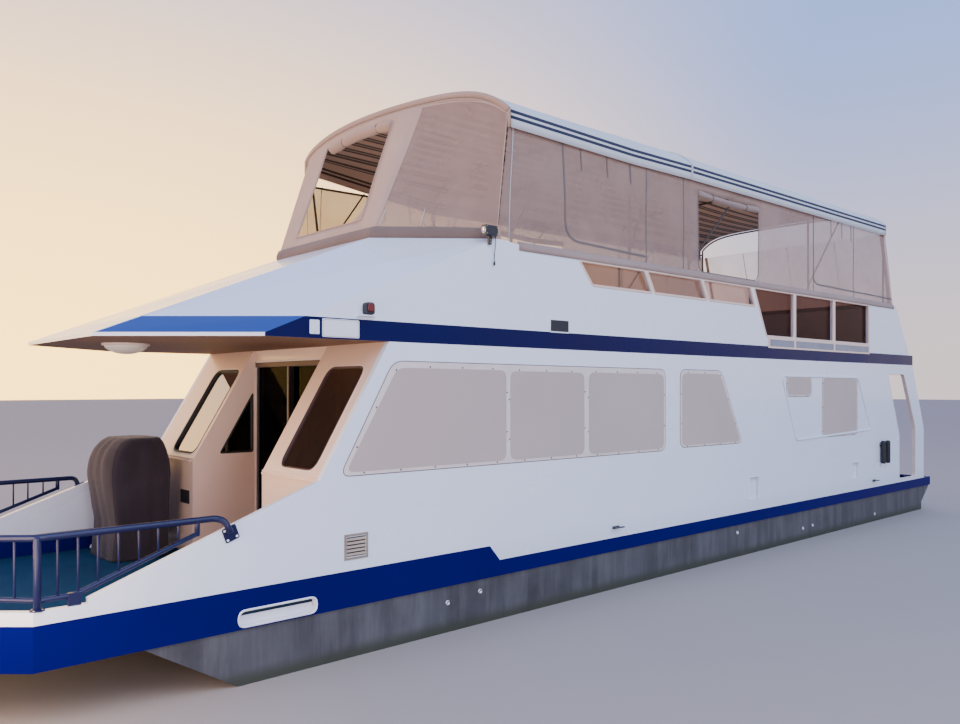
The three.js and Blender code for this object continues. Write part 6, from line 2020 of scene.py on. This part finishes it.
# %% Vents
GRILLE = (4.535, 4.756, 0.824, 1.025)
VENT_MIDDLE, VENT_SIZE = (2.149, 2.882), (0.285, 0.128)
for side, sign in SIDES:
    face = side_place(sign, BEAM_HALF)
    x0, x1, z0, z1 = GRILLE
    surrounds(f"grille_frame_{side}", [ring_of(*GRILLE)], face, -0.013, 0.006, 0.0004, 0.008, VENT_FRAME)
    plates(f"grille_back_{side}", [shifted(ring_of(*GRILLE), -0.020)], face, 0.0004, 0.0016, DARK, 0)
    louvres = [face((x0 + x1) / 2, z0 + 0.040 + 0.031 * k, 0.0045) for k in range(5)]
    copies(f"grille_louvres_{side}", "slat", louvres, (x1 - x0 - 0.026, 0.0035, 0.025), LOUVRE_TAN,
           (sign * math.radians(32), 0, 0))
    start = (VENT_MIDDLE[0], sign * 3, VENT_MIDDLE[1])
    hits = [surface_at(name, start, (0, -sign, 0)) for name in ("fairing", f"upper_wall_{side}", "roof")]
    middle, out = max((hit for hit in hits if hit[0]), key=lambda hit: abs(hit[0].y))
    seat = facing_place(middle, out)
    hole = ring_of(-VENT_SIZE[0] / 2, VENT_SIZE[0] / 2, -VENT_SIZE[1] / 2, VENT_SIZE[1] / 2, 0.012)
    surrounds(f"vent_frame_{side}", [hole], seat, -0.006, 0.008, -0.002, 0.005, WHITE)
    plates(f"vent_dark_{side}", [shifted(hole, -0.005)], seat, 0.0006, 0.0024, DARK, 0)
print("vents set, louvres:", len(louvres), "vent at", [round(v, 3) for v in middle])

# %% [markdown]
# Cleats, trims and through-hull fittings. A cleat has a foot, two legs and one bar with upturned horns. The rope
# pockets and the scupper slots have pale linings, and a thin bead outlines the storage panel.

# %% Cleats
def cleat(origin, out, along, length=0.20):
    """A horn cleat that stands out from a surface."""
    out, along, origin = Vector(out).normalized(), Vector(along).normalized(), Vector(origin)
    across = out.cross(along)
    horns = [origin + along * (length * s) + out * h for s, h in (
        (-0.5, 0.052), (-0.36, 0.044), (-0.15, 0.040), (0.15, 0.040), (0.36, 0.044), (0.5, 0.052))]
    legs = [swept([origin + along * length * s, origin + along * length * s + out * 0.040], 0.0085, 12)
            for s in (-0.13, 0.13)]
    foot = [(-0.34, 0.0), (-0.30, -0.016), (0.30, -0.016), (0.34, 0.0), (0.30, 0.016), (-0.30, 0.016)]
    base = slab(foot, lambda u, v, w: origin + along * (length * u) + across * v + out * w, 0.0004, 0.007)
    return [swept(horns, 0.0085, 12), *legs, base]


CLEAT_SPOTS = ((1.23, 0.690), (-5.58, 0.690))
cleat_parts = []
for side, sign in SIDES:
    for x, z in CLEAT_SPOTS:
        cleat_parts += cleat((x, sign * BEAM_HALF, z), (0, sign, 0), (1, 0, 0), 0.18)
    cleat_parts += cleat((7.60, sign * 1.24, 0.8152), (0, 0, 1), (0.86, -sign * 0.5, 0), 0.20)
    stern_hits = [surface_at(name, (-7.95, sign * 1.50, 3), (0, 0, -1))[0] for name in ("gunwale_band", "main_deck")]
    cleat_parts += cleat(max((hit for hit in stern_hits if hit), key=lambda hit: hit.z), (0, 0, 1), (0, 1, 0), 0.20)
shape("cleats", cleat_parts, DRIVE)
print("cleats:", len(cleat_parts) // 4)

# %% Trims and fittings
POCKETS = ((-1.860, -1.615, 0.738, 1.028), (-5.000, -4.750, 0.776, 1.032))
SCUPPER = (5.020, 5.680, 0.447, 0.565)
PANEL_LINE = [(-2.900, 1.481), (-2.490, 2.410), (-4.950, 2.400), (-5.455, 1.548)]
THROUGH_HULL = ((3.64, 0.27), (3.24, 0.31), (-1.34, 0.32), (-3.15, 0.17), (-3.45, 0.18), (-5.66, 0.12))
HULL_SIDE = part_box("hull")[1].y
BOARDING = round_corners([(-7.360, 0.630), (-6.640, 0.634), (-6.640, 1.417), (-6.150, 2.466), (-6.840, 2.474),
                          (-7.364, 1.508)], 0.07, 5)
THROUGH_HULL_PROFILE = [(0.0, 0.0), (0.026, 0.0), (0.026, 0.004), (0.020, 0.008), (0.012, 0.008), (0.012, 0.002),
                        (0.0, 0.002)]
for side, sign in SIDES:
    face = side_place(sign, BEAM_HALF)
    surrounds(f"pocket_trims_{side}", [ring_of(*pocket) for pocket in POCKETS], face, -0.003, 0.014, -0.036, 0.004,
              WHITE)
    x0, x1, z0, z1 = SCUPPER
    surrounds(f"scupper_lining_{side}", [ring_of(*SCUPPER, 0.055)], face, -0.006, 0.012, -0.055, 0.005, PLATE_WHITE)
    plates(f"scupper_back_{side}", [ring_of(x0 + 0.01, x1 - 0.01, z0 + 0.004, 0.5192)], face, -0.0556, -0.050,
           PLATE_WHITE, 0)
    surrounds(f"panel_bead_{side}", [round_corners(PANEL_LINE, 0.08, 5)], face, -0.014, 0.016, 0.0002, 0.014, WHITE)
    surrounds(f"boarding_reveal_{side}", [BOARDING], face, -0.004, 0.010, -0.054, 0.003, TRIM)
    hull_face = side_place(sign, HULL_SIDE)
    discs = [turned(THROUGH_HULL_PROFILE, hull_face(x, z, 0), (0, sign, 0), 24) for x, z in THROUGH_HULL]
    shape(f"through_hulls_{side}", discs, BOLT)
    upright_seam = [hull_face(-3.4, z, 0) for z in (-0.38, 0.0, 0.42)]
    tubes(f"weld_seams_{side}", [(upright_seam, 0.004, 0)], HULL, sides=8)
print("trims and through-hull fittings set")

# %% [markdown]
# The stern bumpers are two smooth rubber rolls on one bracket. The dome lamp under the visor has a rim, and the
# spotlight a housing, a ring round its lens and small screws.

# %% Bumpers, dome lamp and spotlight
BUMPER_XS, BUMPER_RADIUS, BUMPER_Z = (-6.035, -5.845), 0.038, (0.956, 1.343)
bumper_y = BEAM_HALF + BUMPER_RADIUS + 0.008
bumper_length = BUMPER_Z[1] - BUMPER_Z[0]
end_rings = [(0.0, 0.0), (0.018, 0.001), (0.030, 0.007), (0.036, 0.018), (0.038, 0.034)]
profile = end_rings + [(radius, bumper_length - lift) for radius, lift in reversed(end_rings)]
rolls = [turned(profile, (x, bumper_y, BUMPER_Z[0]), (0, 0, 1), 36) for x in BUMPER_XS]
bracket = block((-6.078, BEAM_HALF + 0.0003, 1.250), (-5.805, BEAM_HALF + 0.014, 1.300))
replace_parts(shape("stern_bumper_rolls", [*rolls, bracket], RUBBER), "stern_bumpers")
copies("bumper_bolts", "stud", [(x, BEAM_HALF + 0.014, 1.275) for x in (-6.068, -5.94, -5.815)], (0.010, 0.005, 0.010),
       BOLT)

LAMP_AT = (5.890, 0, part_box("visor_lamp")[1].z)
dome = turned([(0.0, -0.096), (0.045, -0.094), (0.090, -0.085), (0.135, -0.068), (0.168, -0.045), (0.186, -0.018),
               (0.186, -0.002), (0.0, -0.002)], LAMP_AT, (0, 0, 1), 48)
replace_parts(shape("visor_dome", [dome], LAMP), "visor_lamp")
rim = turned([(0.187, -0.016), (0.194, -0.022), (0.202, -0.015), (0.203, 0.0), (0.187, 0.0), (0.187, -0.016)], LAMP_AT,
             (0, 0, 1), 48)
shape("visor_dome_rim", [rim], TRIM)

spotlight = blocks("spotlight_body", [((3.074, 1.812, 3.692), (3.226, 1.880, 3.790)),
                                      ((3.125, BEAM_HALF + 0.0003, 3.610), (3.165, BEAM_HALF + 0.024, 3.700))],
                   DARK, 0.006, slot="black_rubber")
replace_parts(spotlight, "spotlight")
lens_ring = turned([(0.0, 0.003), (0.024, 0.003), (0.026, 0.005), (0.030, 0.005), (0.031, 0.0), (0.0, 0.0)],
                   (3.226, 1.846, 3.741), (1, 0, 0), 28)
shape("spotlight_ring", [lens_ring], TUBE)
screws = [(3.145, 1.8505, z) for z in (3.625, 3.655)] + [(x, 1.8804, z) for x in (3.087, 3.213) for z in (3.706, 3.776)]
copies("spotlight_screws", "stud", screws, (0.004, 0.002, 0.004), BOLT)
print("bumpers, dome and spotlight fitted")

# %% [markdown]
# The stern
#
# The aft hatch is a soft-edged panel on two strap hinges, with a flush ring to lift it. Below it two engines
# stand on shared bearers. The aft door swings on its starboard edge, and a ladder climbs to the upper deck.

# %% Hatch
DECK_Z = 0.519
HINGE_AXIS = (-6.550, 0.531)
HINGE_STARTS = (-0.300, 0.300)
HATCH = (-7.475, -6.565, -0.515, 0.515)
HATCH_TOP = 0.517
hatch = blocks("hatch_panel", [((HATCH[0], HATCH[2], 0.489), (HATCH[1], HATCH[3], HATCH_TOP))], PANEL, 0.004,
               "engine_hatch")
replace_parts(hatch, "engine_hatch")
knuckle_rolls = [turned([(0.0, 0.0), (0.0072, 0.0), (0.008, 0.001), (0.008, 0.059), (0.0072, 0.060), (0.0, 0.060)],
                        (HINGE_AXIS[0], y, HINGE_AXIS[1]), (0, 1, 0), 18) for y in HINGE_STARTS]
leaves = [block((-6.650, y, 0.5172), (-6.556, y + 0.060, 0.5215)) for y in HINGE_STARTS]
webs = [block((-6.562, y + 0.002, 0.5190), (-6.553, y + 0.058, 0.5310)) for y in HINGE_STARTS]
shape("hatch_hinges", knuckle_rolls + leaves + webs, TUBE, 0.0008, "engine_hatch", smooth=False)
copies("hatch_screws", "stud", [(x, y + across, 0.5215) for x in (-6.635, -6.600) for y in HINGE_STARTS
                                for across in (0.014, 0.046)], (0.006, 0.006, 0.0022), BOLT, body="engine_hatch")
ring_at = Vector((-7.400, 0, 0.5175))
ring_path = [ring_at + Vector((0.030 * math.cos(turn), 0.030 * math.sin(turn), 0.003))
             for turn in (2 * math.pi * k / 24 for k in range(24))]
cup = turned([(0.0, 0.0), (0.042, 0.0), (0.044, 0.0012), (0.038, 0.0022), (0.0, 0.0012)], ring_at, (0, 0, 1), 32)
shape("hatch_ring", [cup, swept(ring_path, 0.0032, 10, closed=True)], TUBE, 0, "engine_hatch")
surrounds("hatch_trim", [ring_of(*HATCH)], lambda u, v, w: Vector((u, v, HATCH_TOP + w)), -0.030, -0.004, 0.0, 0.0016,
          TRIM, "engine_hatch")
print("hatch made")

# %% [markdown]
# Each engine has a block, two slanted heads with lids and pipes, a flat drum on top, a belt over its pulleys,
# hoses and a sump. The shapes are simple because they're seen only with the hatch up.

# %% Engines
# Each engine stands this far from the centreline, with its stern drive behind it
DRIVE_MIDDLE = 0.560
BEARER_XS = (-7.250, -6.800)
engine_parts, engine_metal, engine_rubber = [], [], []
for middle in (-DRIVE_MIDDLE, DRIVE_MIDDLE):
    engine_parts += [block((-7.300, middle - 0.150, -0.180), (-6.760, middle + 0.150, 0.140)),
                     block((-7.240, middle - 0.110, -0.240), (-6.820, middle + 0.110, -0.175)),
                     block((-7.260, middle - 0.085, 0.235), (-6.820, middle + 0.085, 0.300)),
                     block((-7.345, middle - 0.170, -0.120), (-7.295, middle + 0.170, 0.120))]
    for lean in (-1, 1):
        for heap, aft, front, outline in (
                (engine_parts, -7.270, -6.790, [(0.10, 0.12), (0.225, 0.06), (0.285, 0.165), (0.16, 0.225)]),
                (engine_metal, -7.240, -6.820, [(0.150, 0.22), (0.275, 0.16), (0.290, 0.20), (0.17, 0.262)])):
            heap.append(slab([(lean * y, z) for y, z in outline], lambda u, v, w: Vector((w, middle + u, v)), aft,
                             front))
        engine_metal += [swept([(x, middle + lean * 0.225, 0.09), (x, middle + lean * 0.280, 0.055),
                                (x, middle + lean * 0.292, -0.03)], 0.020, 12) for x in (-7.19, -7.08, -6.97, -6.86)]
        engine_metal.append(swept([(-7.23, middle + lean * 0.278, -0.045), (-6.83, middle + lean * 0.278, -0.045)],
                                  0.030, 16))
    engine_metal.append(turned([(0.0, 0.0), (0.105, 0.0), (0.115, 0.010), (0.115, 0.060), (0.090, 0.078), (0.0, 0.078)],
                               (-7.04, middle, 0.300), (0, 0, 1), 36))
    for radius, across, z in ((0.085, 0.0, -0.060), (0.060, 0.130, 0.060), (0.045, -0.140, 0.100), (0.050, 0.0, 0.130)):
        engine_metal.append(turned([(0.0, 0.0), (radius, 0.0), (radius, 0.008), (radius * 0.88, 0.014),
                                    (radius, 0.020), (radius, 0.028), (radius * 0.3, 0.034), (0.0, 0.034)],
                                   (-6.745, middle + across, z), (1, 0, 0), 28))
    belt = [(0.0, -0.145), (0.187, 0.030), (0.150, 0.105), (0.0, 0.180), (-0.165, 0.140), (-0.185, 0.075)]
    belt_path = rounded([(-6.722, middle + y, z) for y, z in belt], 0.05, 4, closed=True)
    engine_rubber += [swept(belt_path, 0.007, 8, closed=True),
                      swept(rounded([(-6.80, middle + 0.06, 0.24), (-6.72, middle + 0.12, 0.22),
                                     (-6.70, middle + 0.20, 0.08), (-6.72, middle + 0.24, -0.08)], 0.05), 0.018, 12),
                      swept(rounded([(-7.25, middle - 0.06, 0.27), (-7.31, middle - 0.14, 0.22),
                                     (-7.31, middle - 0.24, 0.02)], 0.05), 0.016, 12)]
bearers = [block((x, -1.000, -0.3297), (x + 0.090, 1.000, -0.250)) for x in BEARER_XS]
feet = [block((x + 0.010, middle + s * 0.130 - 0.045, -0.252), (x + 0.080, middle + s * 0.130 + 0.045, -0.170))
        for x in BEARER_XS for middle in (-DRIVE_MIDDLE, DRIVE_MIDDLE) for s in (-1, 1)]
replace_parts(shape("engine_blocks", engine_parts + bearers + feet, ENGINE, 0.008, smooth=False), "engines")
shape("engine_castings", engine_metal, BOLT, 0.002, slot="engine_paint")
shape("engine_hoses", engine_rubber, RUBBER)
print("engine parts:", len(engine_parts) + len(engine_metal) + len(engine_rubber))

# %% [markdown]
# Stern drives. The upper housing has rounded sides, the leg is a thin blade that narrows aft, and the gearcase
# is a torpedo with a skeg. The whole drive steers about the pin between the yokes, so nothing on it reaches
# nearer to the bracket than its own solid does.

# %% Drives and brackets
LEG_FRONT = -7.906
SHAFT_Z = -0.480
SHIELD_FACE = -7.7003
LEG_SECTION = [(-8.070, 0.004), (-8.040, 0.018), (-7.990, 0.033), (-7.950, 0.040), (-7.925, 0.036), (LEG_FRONT, 0.020)]
LEG_SECTION = LEG_SECTION + [(x, -y) for x, y in reversed(LEG_SECTION)]


def blade_stack(levels, section, middle):
    """A body whose section is scaled about its front edge at each level: (z, shift aft, length, width)."""
    points = []
    count = len(section)
    for z, shift, long, wide in levels:
        points += [Vector((LEG_FRONT - shift + (x - LEG_FRONT) * long, middle + y * wide, z)) for x, y in section]
    caps = [tuple(reversed(range(count))), tuple(range((len(levels) - 1) * count, len(levels) * count))]
    return points, quads(len(levels), count) + caps


def flat_place(middle):
    """(x, distance from the drive's middle, height)."""
    return lambda u, v, w: Vector((u, middle + v, w))


for side, sign in SIDES:
    middle = sign * DRIVE_MIDDLE
    body = f"drive_{side}"
    head = round_corners([(-8.038, -0.070), (-7.792, -0.083), (-7.792, 0.083), (-8.038, 0.070)], 0.045, 6)
    cap = round_corners([(-8.020, -0.052), (-7.830, -0.058), (-7.830, 0.058), (-8.020, 0.052)], 0.04, 6)
    plate_line = round_corners([(-8.250, -0.075), (-8.060, -0.110), (LEG_FRONT, -0.060), (LEG_FRONT, 0.060),
                                (-8.060, 0.110), (-8.250, 0.075)], 0.05, 5)
    castings = [slab(head, flat_place(middle), -0.2235, -0.012), slab(cap, flat_place(middle), -0.014, -0.001),
                blade_stack([(-0.222, 0.0, 1.0, 1.0), (-0.300, 0.0, 1.0, 0.92), (-0.380, 0.002, 0.97, 0.80),
                             (-0.455, 0.0, 1.0, 0.85)], LEG_SECTION, middle),
                slab(plate_line, flat_place(middle), -0.2548, -0.2405)]
    case = turned([(0.0, 0.0), (0.016, 0.006), (0.034, 0.026), (0.048, 0.060), (0.056, 0.110), (0.058, 0.170),
                   (0.057, 0.240), (0.052, 0.300), (0.047, 0.340), (0.0, 0.340)], (-7.760, middle, SHAFT_Z), (-1, 0, 0),
                  36)
    skeg = [(-8.060, -0.515), (-7.850, -0.515), (-7.960, -0.688), (-8.045, -0.688)]
    fin = slab(skeg, lambda u, v, w: Vector((u, middle + w, v)), -0.008, 0.008)
    mesh = soften(mesh_from(f"stern_drive_{side}_shell", *joined([*castings, case, fin])), 0.005, 3, 35)
    drive = finished(f"stern_drive_{side}_shell", mesh, DRIVE, body)
    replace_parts(drive, f"stern_drive_{side}")
    copies(f"drive_bolts_{side}", "stud", [(x, middle + s * (0.0835 if x > -7.9 else 0.0755), z) for s in (-1, 1)
                                          for x, z in ((-7.840, -0.040), (-7.840, -0.190), (-7.985, -0.040),
                                                       (-7.985, -0.190))], (0.009, 0.005, 0.009), BOLT, body=body)

    shield_face = lambda u, v, w: Vector((SHIELD_FACE - w, middle + u, v))
    shield = ring_of(-0.148, 0.148, -0.288, 0.068, 0.05)
    inner = ring_of(-0.110, 0.110, -0.250, 0.035, 0.04)
    yokes = [slab(round_corners([(-7.889, -0.027), (-7.720, -0.028), (-7.720, 0.028), (-7.889, 0.027)], 0.02, 4),
                  flat_place(middle), low, high) for low, high in ((0.0005, 0.0445), (-0.2695, -0.2255))]
    steps = [slab(shield, shield_face, 0.0, 0.022), slab(inner, shield_face, 0.018, 0.038)]
    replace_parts(shape(f"bracket_{side}", [*steps, *yokes], DRIVE, 0.004, smooth=False), f"transom_bracket_{side}")
    copies(f"bracket_bolts_{side}", "stud", [shield_face(u, v, 0.022) for u in (-0.130, 0.130)
                                            for v in (-0.24, -0.11, 0.02)], (0.007, 0.011, 0.011), BOLT)
print("drives and brackets made")

# %% [markdown]
# A propeller blade widens towards its middle and twists from root to tip, so that each part meets the water at
# its own angle.

# %% Propellers
def propeller_blade(turn, sign, centre):
    """A blade set round the hub by an angle."""
    stations = [(0.038, 0.060), (0.060, 0.090), (0.090, 0.118), (0.120, 0.132), (0.150, 0.124), (0.170, 0.096),
                (0.181, 0.056), (0.1845, 0.020)]
    across = [-0.5, -0.42, -0.25, 0.0, 0.25, 0.42, 0.5]
    points, faces = [], []
    for face in (1, -1):
        for radius, chord in stations:
            pitch = sign * (0.92 - 2.6 * (radius - 0.038))
            for c in across:
                thick = face * 0.0065 * math.sqrt(max(0.0, 1 - (2 * c) ** 2)) * (1.15 - radius / 0.20)
                along, lateral = chord * c, thick
                x = -along * math.sin(pitch) + lateral * math.cos(pitch)
                y = along * math.cos(pitch) + lateral * math.sin(pitch)
                points.append(Vector((x, y, math.sqrt(max(radius ** 2 - y ** 2, 0.03 ** 2)))))
    rows, columns = len(stations), len(across)
    for face in (0, 1):
        start = face * rows * columns
        for r in range(rows - 1):
            for c in range(columns - 1):
                a, b = start + r * columns + c, start + (r + 1) * columns + c
                faces.append((a, a + 1, b + 1, b) if face == 0 else (a, b, b + 1, a + 1))
    for r in (0, rows - 1):
        for c in range(columns - 1):
            a = r * columns + c
            b = rows * columns + a
            faces.append((a, b, b + 1, a + 1) if r == 0 else (a, a + 1, b + 1, b))
    turn_about = Matrix.Rotation(turn, 3, "X")
    return [Vector(centre) + turn_about @ p for p in points], faces


for side, sign in SIDES:
    centre = (-8.175, sign * DRIVE_MIDDLE, SHAFT_Z)
    hub = turned([(0.0, 0.0), (0.018, 0.003), (0.034, 0.012), (0.042, 0.030), (0.045, 0.060), (0.045, 0.1388),
                  (0.0, 0.1388)], (-8.2395, sign * DRIVE_MIDDLE, SHAFT_Z), (1, 0, 0), 36)
    shapes = [hub] + [propeller_blade(k * 2 * math.pi / 3, sign, centre) for k in range(3)]
    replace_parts(shape(f"propeller_{side}_blades", shapes, BLADES, 0, f"propeller_{side}"), f"propeller_{side}")
print("propellers made")

# %% [markdown]
# The ladder has round rails with bends, flat treads with ribs, and a flange at each foot. The aft door has two
# panels of raised trim, a pane in the upper one, and a lever on its rose.

# %% Ladder
LADDER_YS = (-1.540, -1.110)
RUNGS = 8
foot, head = Vector((-7.680, 0, 0.539)), Vector((-7.262, 0, 2.790))
runs = [([(foot.x, y, foot.z - 0.014), (head.x, y, head.z), (-7.256, y, 3.450), (-7.130, y, 3.500), (-7.130, y, 2.820)],
         0.018, 0.06) for y in LADDER_YS]
ladder = tubes("ladder_rails", runs, TUBE, sides=18)
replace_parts(ladder, "aft_ladder")
treads = [foot.lerp(head, (k + 1) / (RUNGS + 1)) for k in range(RUNGS)]
blocks("ladder_treads", [((p.x - 0.044, LADDER_YS[0] + 0.004, p.z - 0.011),
                          (p.x + 0.044, LADDER_YS[1] - 0.004, p.z + 0.007)) for p in treads], TUBE, 0.004)
copies("ladder_tread_ribs", "slat", [(p.x - 0.033 + 0.011 * k, sum(LADDER_YS) / 2, p.z + 0.0085) for p in treads
                                     for k in range(7)], (0.004, 0.380, 0.003), RUBBER)
flange = [(0.0, 0.0), (0.036, 0.0), (0.036, 0.004), (0.022, 0.008), (0.022, 0.020), (0.0, 0.020)]
flanges = [turned(flange, (x, y, z), (0, 0, 1), 24) for y in LADDER_YS
           for x, z in ((-7.680, DECK_Z + 0.0003), (-7.130, 2.8153))]
shape("ladder_flanges", flanges, TUBE)
print("ladder rungs:", RUNGS)

# %% Aft door
AFT_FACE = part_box("aft_door")[0].x


def aft_face(u, v, w):
    return Vector((AFT_FACE - w, u, v))


panels = [ring_of(-1.150, -0.700, 0.640, 1.330, 0.03), ring_of(-1.150, -0.700, 1.480, 2.320, 0.09)]
surrounds("aft_door_panels", panels, aft_face, -0.020, 0.0, 0.0002, 0.006, TRIM, "aft_door")
plates("aft_door_pane", [shifted(panels[1], -0.018)], aft_face, 0.0004, 0.0030, GLASS, 0, "aft_door")
lever = [aft_face(y, 1.400, out) for y, out in ((-0.650, 0.0), (-0.650, 0.045), (-0.760, 0.045))]
tubes("aft_door_lever", [(lever, 0.008, 0.015)], TUBE, "aft_door")
plates("aft_door_rose", [ring_of(-0.672, -0.628, 1.330, 1.470, 0.02)], aft_face, 0.0002, 0.005, TUBE, 0.0015,
       "aft_door")
print("aft door dressed, face at x", round(AFT_FACE, 3))

# %% [markdown]
# The upper helm
#
# The helm stands on the upper deck behind the fairing. Its wheel turns on a leaning column. Gauges, switches and
# two small levers sit on the console's slope, and none of them has a joint, because they're small controls.

# %% Wheel
WHEEL_AT = Vector((2.770, -0.620, 3.640))
WHEEL_TILT = 0.45
WHEEL_RADIUS = 0.190
WHEEL_AXIS = Vector((-math.cos(WHEEL_TILT), 0, math.sin(WHEEL_TILT)))
wheel_across = Vector((0, 1, 0))
wheel_up = WHEEL_AXIS.cross(wheel_across)


def on_wheel(radius, turn, lift=0.0):
    return (WHEEL_AT + (wheel_across * math.sin(turn) + wheel_up * math.cos(turn)) * radius + WHEEL_AXIS * lift)


ring = [on_wheel(WHEEL_RADIUS + 0.0006 * (k % 2), 2 * math.pi * k / 72) for k in range(72)]
grip = swept(ring, 0.0138, 16, closed=True)
hub = turned([(0.0, -0.0535), (0.030, -0.0535), (0.036, -0.046), (0.036, 0.008), (0.030, 0.020), (0.016, 0.028),
              (0.0, 0.030)], WHEEL_AT, WHEEL_AXIS, 32)
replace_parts(shape("wheel_ring", [grip, hub], RUBBER, 0, "helm_wheel"), "helm_wheel")
spokes = [([on_wheel(0.028, turn), on_wheel(0.110, turn, -0.012), on_wheel(WHEEL_RADIUS - 0.006, turn)], 0.008, 0.05)
          for turn in (math.pi / 2 + k * 2 * math.pi / 3 for k in range(3))]
tubes("wheel_spokes", spokes, TUBE, "helm_wheel", sides=12)
print("wheel made")

# %% Console
SLOPE_LOW, SLOPE_HIGH = Vector((3.000, 0, 3.560)), Vector((3.350, 0, 3.690))
slope_out = Vector((-(SLOPE_HIGH.z - SLOPE_LOW.z), 0, SLOPE_HIGH.x - SLOPE_LOW.x)).normalized()
slope_up = (SLOPE_HIGH - SLOPE_LOW).normalized()


def on_slope(u, v, w):
    """(across from the wheel's middle, up the slope, out) on the console's sloping top."""
    return SLOPE_LOW + slope_up * v + slope_out * w + Vector((0, WHEEL_AT.y + u, 0))


plates("console_dash", [ring_of(-0.350, 0.350, 0.030, 0.340, 0.03)], on_slope, 0.0003, 0.006, DARK, 0.002)
gauge_parts, gauge_faces = [], []
for u, v, radius in ((-0.10, 0.22, 0.050), (0.10, 0.22, 0.050), (-0.22, 0.25, 0.032), (0.22, 0.25, 0.032),
                     (-0.29, 0.17, 0.026), (0.29, 0.17, 0.026)):
    gauge_parts.append(turned([(radius * 0.86, 0.0), (radius, 0.0), (radius, 0.006), (radius * 0.93, 0.010),
                               (radius * 0.86, 0.007), (radius * 0.86, 0.0)], on_slope(u, v, 0.006), slope_out, 28))
    gauge_faces.append(turned([(0.0, 0.0), (radius * 0.85, 0.0), (radius * 0.85, 0.004), (0.0, 0.004)],
                              on_slope(u, v, 0.006), slope_out, 28))
shape("gauge_rims", gauge_parts, TUBE)
shape("gauge_dials", gauge_faces, LAMP)
copies("console_switches", "slat", [on_slope(-0.21 + 0.06 * k, 0.085, 0.009) for k in range(8)], (0.022, 0.014, 0.012),
       RUBBER, (0, -math.atan2(slope_up.z, slope_up.x), 0), width=0.0015)
LEVER_US = (-0.335, -0.305)
levers = [([on_slope(u, 0.10, 0.010), on_slope(u, 0.07, 0.060), on_slope(u, 0.035, 0.105)], 0.006, 0.02)
          for u in LEVER_US]
tubes("throttle_levers", levers, TUBE, sides=12)
knob = [(0.0, -0.014), (0.010, -0.010), (0.014, 0.0), (0.010, 0.010), (0.0, 0.014)]
shape("throttle_knobs", [turned(knob, on_slope(u, 0.033, 0.110), slope_out, 18) for u in LEVER_US], RUBBER)
blocks("console_door", [((2.9945, -0.900, 2.900), (2.9997, -0.340, 3.420))], TRIM, 0.002)
blocks("console_latch", [((2.9880, -0.400, 3.130), (2.9946, -0.370, 3.190))], TUBE, 0.002)
print("console dressed")

# %% [markdown]
# The bench has a plinth and a backboard, with three seat cushions and three back cushions. A cushion starts a
# little small and swells under pressure, and no point may move farther than the cap. Piping goes on after that.

# %% Bench cushions
CUSHION_CAP = 0.014
CUSHION_VOXEL = 0.012
CUSHION_FRAMES = 20
bench_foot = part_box("helm_bench")[0].z
base = blocks("bench_plinth", [((1.760, -1.145, bench_foot), (2.240, 1.145, 3.135)),
                               ((1.652, -1.148, bench_foot), (1.672, 1.148, 3.640))], WHITE, 0.008, slot="seat_vinyl")
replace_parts(base, "helm_bench")


def cushion(name, low, high):
    """A crowned cushion: a softened block that swells, held to within a cap of where it began."""
    mesh = soften(mesh_from(name, *block(low, high)), 0.022, 3)
    pad = finished(name, mesh, VINYL)
    remesh = pad.modifiers.new("even", "REMESH")
    remesh.mode = "VOXEL"
    remesh.voxel_size = CUSHION_VOXEL
    remesh.use_smooth_shade = True
    depsgraph = bpy.context.evaluated_depsgraph_get()
    even = bpy.data.meshes.new_from_object(pad.evaluated_get(depsgraph))
    pad.modifiers.clear()
    pad.data = even
    even.name = name
    start = [v.co.copy() for v in even.vertices]
    cloth = pad.modifiers.new("swell", "CLOTH")
    cloth.settings.use_pressure = True
    cloth.settings.uniform_pressure_force = 4.0
    cloth.settings.effector_weights.gravity = 0.0
    cloth.settings.quality = 5
    cloth.point_cache.frame_start, cloth.point_cache.frame_end = 1, CUSHION_FRAMES
    for frame_number in range(1, CUSHION_FRAMES + 1):
        scene.frame_set(frame_number)
    swollen = bpy.data.meshes.new_from_object(pad.evaluated_get(bpy.context.evaluated_depsgraph_get()))
    pad.modifiers.clear()
    scene.frame_set(1)
    for vertex, was in zip(swollen.vertices, start):
        moved = vertex.co - was
        if moved.length > CUSHION_CAP:
            vertex.co = was + moved.normalized() * CUSHION_CAP
    pad.data = swollen
    swollen.name = name
    for polygon in pad.data.polygons:
        polygon.use_smooth = True
    return pad


seat_edges = [(-1.130, -0.385), (-0.372, 0.372), (0.385, 1.130)]
cushion_rings = []
for k, (y0, y1) in enumerate(seat_edges):
    cushion(f"seat_cushion_{k + 1}", (1.775, y0, 3.150), (2.228, y1, 3.238))
    cushion(f"back_cushion_{k + 1}", (1.686, y0, 3.262), (1.742, y1, 3.685))
    for low_x, high_x, z in ((1.772, 2.231, 3.222), (1.772, 2.231, 3.168)):
        corners = [(low_x, y0 - 0.003, z), (high_x, y0 - 0.003, z), (high_x, y1 + 0.003, z), (low_x, y1 + 0.003, z)]
        cushion_rings.append(swept(rounded(corners, 0.03, 5, closed=True), 0.0035, 8, closed=True))
shape("seat_piping", cushion_rings, SEAM, slot="seat_vinyl")
print("bench cushions:", 2 * len(seat_edges))
